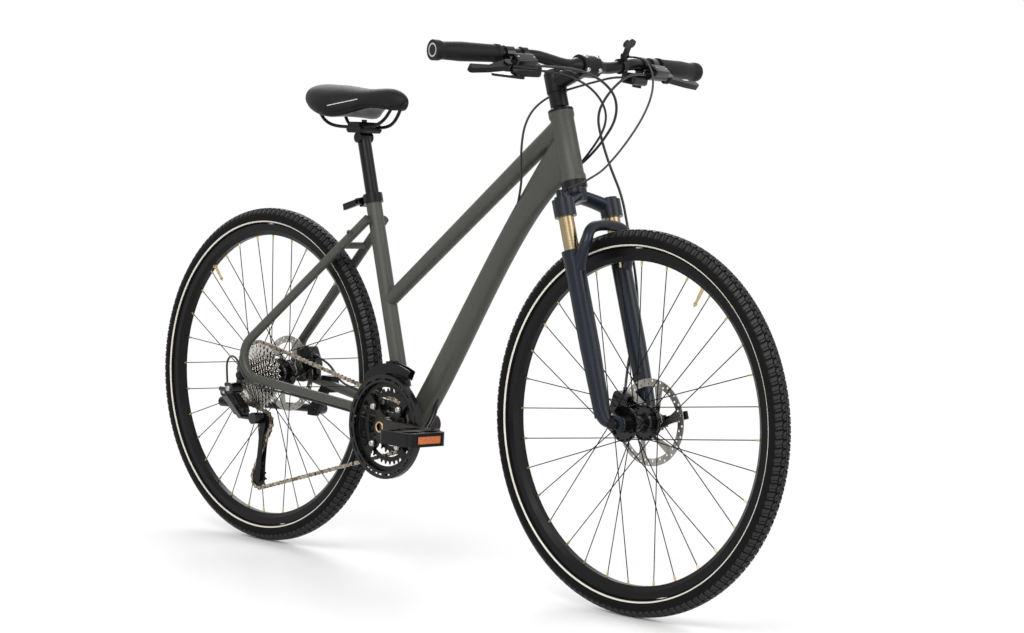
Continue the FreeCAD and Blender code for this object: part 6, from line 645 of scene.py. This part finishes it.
def tube(name, points, radius, material, shares=None, around=3):
    """A mesh tube along the route's spline, and the points of its middle line."""
    curve = spline_of(name, points, shares or [1.0] * len(points))
    holder = placed(name + "_route", curve)
    line = evaluated(holder)
    path = [tuple(v.co) for v in line.vertices]
    curve.bevel_depth = radius
    curve.bevel_resolution = around
    curve.use_fill_caps = True
    bpy.context.view_layer.update()
    mesh = evaluated(holder)
    mesh.materials.clear()
    shade_smooth(mesh)
    bpy.data.objects.remove(holder)
    bpy.data.curves.remove(curve)
    bpy.data.meshes.remove(line)
    return new_piece(name, mesh, material), path


# Saddle sections in millimetres from the rear: place along X, half width, top, and lower edge
SADDLE_SECTIONS = (
    (-392, 24, 953, 943), (-388, 38, 958, 937), (-378, 54, 963, 928), (-360, 68, 966, 917),
    (-330, 78, 966, 905), (-300, 80, 963, 898), (-278, 76, 960, 897), (-255, 61, 956, 904),
    (-230, 46, 954, 914), (-205, 36, 955, 919), (-180, 30, 957, 917), (-158, 26, 956, 914),
    (-140, 21, 950, 913), (-127, 14, 942, 917), (-120, 6, 935, 925))
# Steps over the top and below, how round the top is, and the least half width and height of a section
TOP_STEPS, UNDER_STEPS, TOP_POWER = 24, 12, 0.72
LEAST_HALF, LEAST_RISE = 3.0, 4.0
# The groove along the rear half, and the lip round the hollow underside, in millimetres
GROOVE_DEPTH, GROOVE_WIDTH, GROOVE_FROM, GROOVE_FADE, REAR_FADE = 3.5, 13, -250, 60, 20
SADDLE_LIP = 3
# Hollows of the padding and the shell, the shell's inset and its drop below the padding, in millimetres
PADDING_HOLLOW, SHELL_HOLLOW, SHELL_INSET, SHELL_DROP = 9.0, 4.0, 8.0, 3.5
# Middle line of the right rail and its radius, in metres
RAIL_ROUTE = ((-0.150, -0.012, 0.922), (-0.158, -0.013, 0.905), (-0.178, -0.016, 0.884),
              (-0.205, -0.020, 0.8752), (-0.250, -0.0215, 0.8748), (-0.300, -0.0235, 0.8748),
              (-0.328, -0.028, 0.881), (-0.346, -0.033, 0.897), (-0.355, -0.035, 0.916))
RAIL_RADIUS = 0.0035
# The padding's voxel in metres, its cloth's pressure and frames, and the normal below which its skin is held
PADDING_VOXEL, PADDING_PRESSURE, PADDING_FRAMES, HELD_BELOW = 0.004, 4, 20, -0.5


def saddle_loft(name, inset, hollow):
    """The saddle's form from its sections, drawn in by an inset, with its hollow underside."""
    rings = []
    rear = SADDLE_SECTIONS[0][0]
    for along, half, top, edge in SADDLE_SECTIONS:
        half, rise = max(LEAST_HALF, half - inset), max(LEAST_RISE, top - inset - edge)
        fades = ((GROOVE_FROM - along) / GROOVE_FADE, (along - rear) / REAR_FADE)
        groove = GROOVE_DEPTH * math.prod(min(1.0, max(0.0, fade)) for fade in fades)
        ring = []
        for step in range(TOP_STEPS + 1):
            turn = math.pi * (step / TOP_STEPS - 0.5)
            across = half * math.sin(turn)
            dip = groove * math.exp(-(across / GROOVE_WIDTH) ** 2)
            ring.append(Vector((along, across, edge + rise * math.cos(turn) ** TOP_POWER - dip)) * MM)
        for step in range(1, UNDER_STEPS):
            share = 1 - 2 * step / UNDER_STEPS
            height = edge + hollow * (1 - share * share) - SADDLE_LIP
            ring.append(Vector((along, (half - SADDLE_LIP) * share, height)) * MM)
        rings.append(ring)
    return loft(name, rings)


# Castings of the fork: ahead of the steering axis, across to the left, up from its foot, and radius, in
# millimetres. The left foot is shorter, to leave the opened lever its room.
FORK_RIGHT_FOOT = ((22, -62, 60, 15.2), (22, -62, 34, 15.3), (25, -62, 16, 14.2), (33, -60, 4, 9.8),
                   (40, -58.5, 0, 7.2))
FORK_LEFT_FOOT = ((22, 62, 60, 15.2), (22, 62, 46, 14.8), (22, 60.5, 34, 12.0), (25, 56, 23, 7.0))
FORK_ARCH = ((23, 62, 284, 15.5), (36, 62, 308, 13.0), (61, 61, 334, 9.8), (60, 44, 362, 9.6),
             (60, 0, 367, 9.9), (60, -44, 362, 9.6), (61, -61, 334, 9.8), (36, -62, 308, 13.0),
             (23, -62, 284, 15.5))
# How finely a casting's section is rounded
CASTING_ROUNDING = 7
# Amber faces of a pedal: thickness, length and height, distance from the pedal's axle, and places, in metres
REFLECTOR_SIZE, REFLECTOR_REACH, REFLECTOR_BEVEL = (0.0006, 0.0572, 0.0142), 0.0474, 0.00025
PEDAL_MIDDLES = {"right": Vector((0.0842163, -0.1427, 0.286)), "left": Vector((-0.2557837, 0.1427, 0.286))}
# Sections of the rings as radius and height, in millimetres, and how much wider each crank's ring is
CRANK_LIP = ((7.8, 0.0), (8.2, 0.7), (9.4, 1.0), (10.6, 0.7), (11.0, 0.0), (11.0, -1.0), (7.8, -1.0))
CRANK_LIP_MIDDLE = 9.5
CRANK_RING_STEPS, GRIP_RING_STEPS = 48, 40
CRANK_RING_WIDTHS = {"right": 1.0, "left": 1.5}
GRIP_LIP = ((9.8, -1.0), (9.8, 0.2), (12.4, 0.2), (12.4, -1.0))
# Distance from which a line is sent to find a piece's outer face
OUTSIDE = 0.2
# Screws: how many, head radius, and places round or along the piece that they hold, in metres
FACE_PLATE_PLACES = [(across, rise) for across in (-0.0155, 0.0155) for rise in (-0.0125, 0.0125)]
FACE_PLATE_RADIUS, FACE_PLATE_LIFT, STEM_CAP_RADIUS = 0.0036, 0.001, 0.005
DISC_SCREWS, DISC_CIRCLE, DISC_RADIUS, DISC_FACES = 6, 0.022, 0.0038, {"front": 0.0413, "rear": 0.054}
RING_SCREWS, RING_CIRCLE, RING_RADIUS, RING_FACE = 4, 0.052, 0.0056, -0.0609
DERAILLEUR_PLACES = ((-0.534, 0.323, 0.0052), (-0.553, 0.3135, 0.0027))
RESERVOIR_AHEAD, RESERVOIR_ABOVE, RESERVOIR_PLACES, RESERVOIR_RADIUS = 0.031, 0.05, (-0.034, 0.0), 0.0016
CALIPER_PLACES = {"front_caliper": ("fork_lowers", ((0.452, 0.362), (0.452, 0.394))),
                  "rear_caliper": ("frame", ((-0.462, 0.372), (-0.448, 0.398)))}
CALIPER_RADIUS = 0.0034


# Property groups
def colour_property(name, description, text):
    return FloatVectorProperty(name=name, description=description, subtype="COLOR", size=4, min=0, max=1,
                               default=linear(text))


class BICYCLE_PG_colours(bpy.types.PropertyGroup):
    """Colours that a user would change."""
    frame_paint: colour_property("Frame paint", "Powder coat of the frame", "#4a4a46")
    fork: colour_property("Fork paint", "Paint of the crown and lower legs", "#141922")
    gold: colour_property("Stanchions", "Hard coat of the fork's inner tubes", "#968668")
    black_alloy: colour_property("Black alloy", "Anodised bar, stem, post and levers", "#131313")
    gloss_black: colour_property("Gloss black", "Painted brake and derailleur bodies", "#0b0b0c")
    black_steel: colour_property("Black steel", "Blackened steel pieces", "#121212")
    rim: colour_property("Rim", "Anodised rims", "#0d0d0f")
    spoke: colour_property("Spokes", "Black spoke wire", "#111111")
    brass: colour_property("Brass", "Nipples, valves and crank rings", "#c0ab80")
    steel: colour_property("Rotor steel", "Ground stainless steel", "#a19e98")
    nickel: colour_property("Sprockets", "Nickel-plated sprockets and bright screws", "#c6c4bf")
    ring: colour_property("Chainrings", "Dark steel chainrings", "#1e1d1c")
    crank: colour_property("Cranks", "Anodised crank arms", "#2e2a27")
    chain: colour_property("Chain", "Bare chain plates", "#b0a593")
    chain_oil: colour_property("Chain oil", "Oil film on the chain", "#2f2922")
    tyre: colour_property("Tyre", "Tyre rubber", "#0e0e0f")
    tread: colour_property("Tread", "Tread blocks", "#1b1b1c")
    band: colour_property("Reflective band", "Band on each tyre wall", "#d9d5c8")
    saddle: colour_property("Saddle", "Saddle cover", "#141414")
    grip: colour_property("Grips", "Grip rubber", "#191919")
    abs: colour_property("Moulded covers", "Shifters and chain guard", "#0d0d0d")
    resin: colour_property("Resin", "Pedals, pulleys and saddle base", "#101011")
    sleeve: colour_property("Cable sleeve", "Hoses and cable sleeves", "#0c0c0c")
    amber: colour_property("Pedal reflectors", "Amber reflector plastic", "#e0701a")


class BICYCLE_PG_sizes(bpy.types.PropertyGroup):
    """Sizes that a user would change."""
    tread_count: IntProperty(name="Tread pitches", description="Tread pitches round one tyre", min=40,
                             default=140)
    tread_depth: FloatProperty(name="Tread depth", description="Height of the tread blocks", unit="LENGTH",
                               default=0.0026)
    nipple_from: FloatProperty(name="Nipple radius", description="Radius from the axle where nipples begin",
                               unit="LENGTH", default=0.2845)
    saddle_swell: FloatProperty(name="Saddle swell", description="Most that the padding may swell",
                                unit="LENGTH", default=0.003)


# Operators
class BICYCLE_OT_finishes(bpy.types.Operator):
    """Give each carried-over piece its finish and smooth its shading"""
    bl_idname = "bicycle.finishes"
    bl_label = "Finishes"

    def execute(self, context):
        for kind, nodes in FINISHED_NODES.items():
            for node in nodes:
                dress(node, finish_of(kind))
        dress("frame", powder_coat())
        dress("chain", chain_steel())
        for word, axle in WHEELS:
            dress(word + "_rotor", rotor_steel(word + "_rotor_steel", axle))
            dress(word + "_spokes", spoke_wire(word + "_spoke_wire", axle))
        tree = edge_tree()
        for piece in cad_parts.values():
            piece.modifiers.new(tree.name, "NODES").node_group = tree
        return {"FINISHED"}


class BICYCLE_OT_tyres(bpy.types.Operator):
    """Build each tyre's casing with its reflective band, its tread and its valve"""
    bl_idname = "bicycle.tyres"
    bl_label = "Tyres"

    def execute(self, context):
        half = [(reach * MM, across * MM) for reach, across in TYRE_SECTION]
        profile = [(reach, -across) for reach, across in half[:-1]] + half[::-1]
        count = len(profile)
        spans = [int(place in (BAND_SPAN, count - 2 - BAND_SPAN)) for place in range(count)]
        pitch = 2 * math.pi * TREAD_RADIUS / sizes().tread_count
        tree = round_tree()
        for word, axle in WHEELS:
            mesh = turned(word + "_casing", profile, CASING_STEPS, axle)
            shade_smooth(mesh)
            casing = new_piece(word + "_tyre_casing", mesh, finish_of("tyre"), finish_of("band"))
            mesh.polygons.foreach_set("material_index", spans * CASING_STEPS)
            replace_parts(casing, word + "_tyre")
            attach(casing, word + "_wheel")
            tread = new_piece(word + "_tyre_tread", tread_unit(pitch, sizes().tread_depth / MM))
            grow(tread, tree, {"Count": sizes().tread_count, "Material": finish_of("tread")})
            tread.data.transform(Matrix.Translation(axle))
            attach(tread, word + "_wheel")
            valve = valve_stem(word + "_valve", axle, about(VALVE_ANGLES[word]))
            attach(new_piece(word + "_valve", valve, finish_of("brass")), word + "_wheel")
        return {"FINISHED"}


class BICYCLE_OT_cables(bpy.types.Operator):
    """Lay the brake hoses and cable sleeves along their routes"""
    bl_idname = "bicycle.cables"
    bl_label = "Cables"

    def execute(self, context):
        for name, (node, length, radius, far, start, end) in CABLES.items():
            piece, path = tube(name, CABLE_ROUTES[name], radius, finish_of("sleeve"))
            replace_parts(piece, node)
            if far:
                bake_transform(piece)
            else:
                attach(piece, "steering")
        return {"FINISHED"}


class BICYCLE_OT_saddle(bpy.types.Operator):
    """Swell the saddle's padding from its loft, cover it, and add its shell and rails"""
    bl_idname = "bicycle.saddle"
    bl_label = "Saddle"

    def execute(self, context):
        form = saddle_loft("saddle_padding", sizes().saddle_swell / MM, PADDING_HOLLOW)
        piece = new_piece("saddle_padding", form, saddle_skin())
        subdivide(piece)
        remesh = piece.modifiers.new("even", "REMESH")
        remesh.mode = "VOXEL"
        remesh.voxel_size = PADDING_VOXEL
        soften = piece.modifiers.new("soften", "SMOOTH")
        soften.factor, soften.iterations = 0.5, 6
        settle(piece)
        self.swell(piece)
        shade_smooth(piece.data)
        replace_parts(piece, "saddle_cover")
        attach(piece, "seatpost")
        for word, route in (("right", RAIL_ROUTE), ("left", [mirrored(place) for place in RAIL_ROUTE])):
            rail, path = tube(word + "_saddle_rail", route, RAIL_RADIUS, finish_of("black_steel"))
            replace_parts(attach(rail, "seatpost"), "saddle_base")
        self.shell()
        return {"FINISHED"}

    def shell(self):
        """The moulded shell under the padding, a little narrower than it."""
        mesh = saddle_loft("saddle_shell", SHELL_INSET, SHELL_HOLLOW)
        mesh.transform(Matrix.Translation(UP * -SHELL_DROP * MM))
        shade_smooth(mesh)
        piece = new_piece("saddle_shell", mesh, finish_of("resin"))
        subdivide(piece)
        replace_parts(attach(piece, "seatpost"), "saddle_base")

    def swell(self, piece):
        """Presses the skin out from inside, no further than the allowed swell, with its underside held."""
        rest = [v.co.copy() for v in piece.data.vertices]
        held = piece.vertex_groups.new(name="held")
        held.add([v.index for v in piece.data.vertices if v.normal.z < HELD_BELOW], 1.0, "REPLACE")
        cloth = piece.modifiers.new("padding", "CLOTH").settings
        cloth.use_pressure = True
        cloth.uniform_pressure_force = PADDING_PRESSURE
        cloth.effector_weights.gravity = 0
        cloth.vertex_group_mass = "held"
        scene = bpy.context.scene
        for step in range(1, PADDING_FRAMES + 1):
            scene.frame_set(step)
        settle(piece)
        piece.vertex_groups.clear()
        limit = sizes().saddle_swell
        for vertex, start in zip(piece.data.vertices, rest):
            move = vertex.co - start
            if move.length > limit:
                vertex.co = start + move * (limit / move.length)
        scene.frame_set(1)


class BICYCLE_OT_reflectors(bpy.types.Operator):
    """Face each pedal's reflectors with amber plastic"""
    bl_idname = "bicycle.reflectors"
    bl_label = "Pedal reflectors"

    def execute(self, context):
        amber = reflector_acrylic()
        for word, middle in PEDAL_MIDDLES.items():
            made = bmesh.new()
            for end in (-1, 1):
                face = bmesh.ops.create_cube(made, size=1)["verts"]
                bmesh.ops.scale(made, vec=REFLECTOR_SIZE, verts=face)
                bmesh.ops.translate(made, vec=middle + AHEAD * end * REFLECTOR_REACH, verts=face)
            mesh = as_mesh(word + "_reflectors", made, REFLECTOR_BEVEL, segments=2)
            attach(new_piece(word + "_pedal_reflectors", mesh, amber), word + "_pedal")
        return {"FINISHED"}


class BICYCLE_OT_fork(bpy.types.Operator):
    """Round off the fork's arch and the feet of its legs"""
    bl_idname = "bicycle.fork"
    bl_label = "Fork castings"

    def execute(self, context):
        for name, rows in (("left_fork_foot", FORK_LEFT_FOOT), ("right_fork_foot", FORK_RIGHT_FOOT),
                           ("fork_arch_casting", FORK_ARCH)):
            points = [STEER_FOOT + (STEER_AHEAD * ahead + STEER_UP * up + LEFT * across) * MM
                      for ahead, across, up, radius in rows]
            piece, path = tube(name, points, MM, finish_of("fork_paint"), [row[3] for row in rows],
                               CASTING_ROUNDING)
            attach(piece, "fork_lowers")
        return {"FINISHED"}


class BICYCLE_OT_rings(bpy.types.Operator):
    """Add the crank caps' rings and the grips' end rings"""
    bl_idname = "bicycle.rings"
    bl_label = "Crank and grip rings"

    def execute(self, context):
        for word, side in SIDES:
            wider = CRANK_RING_WIDTHS[word] * MM
            start = SHELL_CENTRE + AHEAD * CRANK_LIP_MIDDLE * wider + LEFT * side * OUTSIDE
            plane = seat_on(word + "_crank", start, LEFT * -side).y
            profile = [(reach * wider, side * rise * MM + plane) for reach, rise in CRANK_LIP]
            mesh = turned(word + "_crank_ring", profile, CRANK_RING_STEPS, SHELL_CENTRE)
            shade_smooth(mesh)
            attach(new_piece(word + "_crank_ring", mesh, finish_of("brass")), "crankset")
        lip = [(reach * MM, lift * MM) for reach, lift in GRIP_LIP]
        first = GRIP_AXIS.cross(UP).normalized()
        places = (GRIP_END, GRIP_AXIS, first, GRIP_AXIS.cross(first))
        for word, side in SIDES:
            here = places if side < 0 else [mirrored(place) for place in places]
            mesh = turned(word + "_grip_ring", lip, GRIP_RING_STEPS, *here)
            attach(new_piece(word + "_grip_ring", mesh, finish_of("bright_steel")), "steering")
        return {"FINISHED"}


class BICYCLE_OT_screws(bpy.types.Operator):
    """Set the screws of the stem, discs, rings, calipers, levers and rear derailleur"""
    bl_idname = "bicycle.screws"
    bl_label = "Screws"

    def execute(self, context):
        bright, dark = finish_of("bright_steel"), finish_of("black_steel")
        above = STEER_FOOT + STEER_UP
        groups = [("stem_screws", "steering", bright, self.face_plate()),
                  ("stem_cap_screw", "steering", bright,
                   [(seat_on("stem", above, -STEER_UP), STEER_UP, STEM_CAP_RADIUS)])]
        for word, axle in WHEELS:
            middle = axle + LEFT * DISC_FACES[word]
            groups.append((word + "_disc_screws", word + "_wheel", bright, [
                (middle + about(angle) * DISC_CIRCLE, LEFT, DISC_RADIUS) for angle in angles(DISC_SCREWS)]))
        middle = SHELL_CENTRE + LEFT * RING_FACE
        groups.append(("ring_screws", "crankset", bright, [
            (middle + about(angle) * RING_CIRCLE, -LEFT, RING_RADIUS)
            for angle in angles(RING_SCREWS, math.pi / 4)]))
        groups.append(("derailleur_screws", "frame", bright, [
            (seat_on("derailleur_knuckle", Vector((x, -OUTSIDE, z)), LEFT), -LEFT, radius)
            for x, z, radius in DERAILLEUR_PLACES]))
        groups.append(("reservoir_screws", "steering", bright, self.reservoirs()))
        for node, (body, places) in CALIPER_PLACES.items():
            groups.append((node + "_screws", body, dark, [
                (seat_on(node, Vector((x, OUTSIDE, z)), -LEFT), LEFT, CALIPER_RADIUS) for x, z in places]))
        head, tree = screw_head(), screw_tree()
        for name, body, material, seats in groups:
            piece = new_piece(name, self.points(name, seats))
            grow(piece, tree, {"Head": head, "Material": material})
            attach(piece, body)
        bpy.data.objects.remove(head)
        return {"FINISHED"}

    def face_plate(self):
        """Seats of the stem's four face plate screws."""
        seats = []
        for across, rise in FACE_PLATE_PLACES:
            start = BAR_CENTRE + STEER_AHEAD * OUTSIDE + STEER_UP * rise + LEFT * across
            seat = seat_on("stem", start, -STEER_AHEAD) + STEER_AHEAD * FACE_PLATE_LIFT
            seats.append((seat, STEER_AHEAD, FACE_PLATE_RADIUS))
        return seats

    def reservoirs(self):
        """Seats of the cover screws on both brake levers' reservoirs."""
        seats = []
        for word, side in SIDES:
            for across in RESERVOIR_PLACES:
                start = (LEVER_CENTRE + LEVER_AHEAD * RESERVOIR_AHEAD + LEVER_UP * RESERVOIR_ABOVE
                         + GRIP_AXIS * across)
                start, out = (v if side < 0 else mirrored(v) for v in (start, LEVER_UP))
                seats.append((seat_on("brake_lever_bodies", start, -out), out, RESERVOIR_RADIUS))
        return seats

    def points(self, name, seats):
        """A mesh of points that carry each screw's axis and size."""
        mesh = bpy.data.meshes.new(name)
        mesh.from_pydata([seat[0] for seat in seats], [], [])
        mesh.attributes.new("axis", "FLOAT_VECTOR", "POINT")
        mesh.attributes.new("size", "FLOAT", "POINT")
        for number, (point, out, radius) in enumerate(seats):
            mesh.attributes["axis"].data[number].vector = out
            mesh.attributes["size"].data[number].value = radius
        return mesh


# The photograph's camera: place in metres, azimuth, elevation and roll in degrees, lens and sensor width in
# millimetres
CAMERA_PLACE = Vector((3.4890, -3.2645, 0.7929))
CAMERA_ANGLES = (45.247, 3.343, 2.194)
CAMERA_LENS, CAMERA_SENSOR = 85.94, 36.0
# Soft lamps: place, width and power, all aimed at the bicycle's middle
LAMPS = {"key": ((1.6, -3.2, 3.6), 3.0, 130), "fill": ((4.2, 1.0, 2.6), 2.6, 60),
         "back": ((-3.0, 2.4, 3.2), 2.6, 70), "low": ((2.8, -3.8, 0.6), 1.6, 18)}
LAMP_TARGET = Vector((0, 0, 0.5))
# Half width of the floor, and where it passes into the white background, in metres
FLOOR_REACH, FLOOR_FADE = 40, (1.0, 2.2)
WHITE, FLOOR_COLOUR = (1, 1, 1, 1), linear("#fbfbfb")


class BICYCLE_OT_stage(bpy.types.Operator):
    """Add the floor, the soft lights, the backdrop and the camera"""
    bl_idname = "bicycle.stage"
    bl_label = "Stage"

    def execute(self, context):
        scene = context.scene
        scene.view_settings.view_transform = "Standard"
        self.floor()
        self.backdrop(scene)
        for name, (place, width, power) in LAMPS.items():
            lamp = bpy.data.lights.new(name, "AREA")
            lamp.size, lamp.energy = width, power
            holder = placed(name, lamp)
            holder.location = place
            holder.rotation_euler = (LAMP_TARGET - Vector(place)).to_track_quat("-Z", "Y").to_euler()
        self.camera(scene)
        return {"FINISHED"}

    def floor(self):
        """A white floor that keeps the shadow and glows into the background further out."""
        mesh = bpy.data.meshes.new("floor")
        corners = [(x * FLOOR_REACH, y * FLOOR_REACH, 0) for x, y in ((-1, -1), (1, -1), (1, 1), (-1, 1))]
        mesh.from_pydata(corners, [], [(0, 1, 2, 3)])
        made, tree, where = blank("white_floor")
        shader = add(tree, "ShaderNodeBsdfPrincipled", {
            "Base Color": FLOOR_COLOUR, "Roughness": 0.4, "Specular IOR Level": 0.25})
        glow = add(tree, "ShaderNodeEmission", {"Color": WHITE, "Strength": 1.0})
        away = add(tree, "ShaderNodeVectorMath", {0: where}, operation="LENGTH").outputs["Value"]
        far = add(tree, "ShaderNodeMapRange", {
            "Value": away, "From Min": FLOOR_FADE[0], "From Max": FLOOR_FADE[1]})
        path = add(tree, "ShaderNodeLightPath").outputs
        seen = add(tree, "ShaderNodeMath", {0: path["Is Camera Ray"], 1: path["Is Glossy Ray"]},
                   operation="ADD", use_clamp=True)
        clear = add(tree, "ShaderNodeMath", {0: far, 1: seen}, operation="MULTIPLY")
        blend = add(tree, "ShaderNodeMixShader", {0: clear, 1: shader, 2: glow})
        add(tree, "ShaderNodeOutputMaterial", {"Surface": blend})
        new_piece("floor", mesh, made)

    def backdrop(self, scene):
        """Soft light from all round, and plain white where it is seen, mirrored or looked through to."""
        world = bpy.data.worlds.new("studio")
        scene.world = world
        world.use_nodes = True
        tree = world.node_tree
        tree.nodes.clear()
        path = add(tree, "ShaderNodeLightPath").outputs
        first = add(tree, "ShaderNodeMath", {0: path["Is Camera Ray"], 1: path["Is Glossy Ray"]},
                    operation="MAXIMUM")
        seen = add(tree, "ShaderNodeMath", {0: first, 1: path["Is Transmission Ray"]}, operation="MAXIMUM")
        soft = add(tree, "ShaderNodeBackground", {"Color": WHITE, "Strength": 0.55})
        white = add(tree, "ShaderNodeBackground", {"Color": WHITE, "Strength": 1.0})
        blend = add(tree, "ShaderNodeMixShader", {0: seen, 1: soft, 2: white})
        add(tree, "ShaderNodeOutputWorld", {"Surface": blend})

    def camera(self, scene):
        """The photograph's camera, turned a little about its own axis."""
        turn, lift, roll = (math.radians(angle) for angle in CAMERA_ANGLES)
        back = Vector((math.sin(turn) * math.cos(lift), -math.cos(turn) * math.cos(lift), math.sin(lift)))
        right = Vector((math.cos(turn), math.sin(turn), 0))
        up = back.cross(right)
        across = right * math.cos(roll) + up * math.sin(roll)
        rise = up * math.cos(roll) - right * math.sin(roll)
        seen = bpy.data.cameras.new("photo_camera")
        seen.lens, seen.sensor_width, seen.sensor_fit = CAMERA_LENS, CAMERA_SENSOR, "HORIZONTAL"
        scene.camera = placed("photo_camera", seen)
        facing = Matrix((across, rise, back)).transposed().to_4x4()
        scene.camera.matrix_world = Matrix.Translation(CAMERA_PLACE) @ facing


class BICYCLE_PT_panel(bpy.types.Panel):
    """Lists the steps that dress the bicycle"""
    bl_label = "Bicycle"
    bl_idname = "BICYCLE_PT_panel"
    bl_space_type = "VIEW_3D"
    bl_region_type = "UI"
    bl_category = "Bicycle"

    def draw(self, context):
        for step in STEPS:
            self.layout.operator(step.bl_idname)


STEPS = (BICYCLE_OT_stage, BICYCLE_OT_cables, BICYCLE_OT_finishes, BICYCLE_OT_tyres, BICYCLE_OT_saddle,
         BICYCLE_OT_reflectors, BICYCLE_OT_fork, BICYCLE_OT_rings, BICYCLE_OT_screws)
CLASSES = (BICYCLE_PG_colours, BICYCLE_PG_sizes) + STEPS + (BICYCLE_PT_panel,)


def register():
    for kind in CLASSES:
        bpy.utils.register_class(kind)
    bpy.types.Scene.bicycle_colours = PointerProperty(type=BICYCLE_PG_colours)
    bpy.types.Scene.bicycle_sizes = PointerProperty(type=BICYCLE_PG_sizes)


def unregister():
    del bpy.types.Scene.bicycle_sizes
    del bpy.types.Scene.bicycle_colours
    for kind in reversed(CLASSES):
        bpy.utils.unregister_class(kind)


def main():
    register()
    for step in STEPS:
        word, name = step.bl_idname.split(".")
        getattr(getattr(bpy.ops, word), name)()


if __name__ == "__main__":
    main()
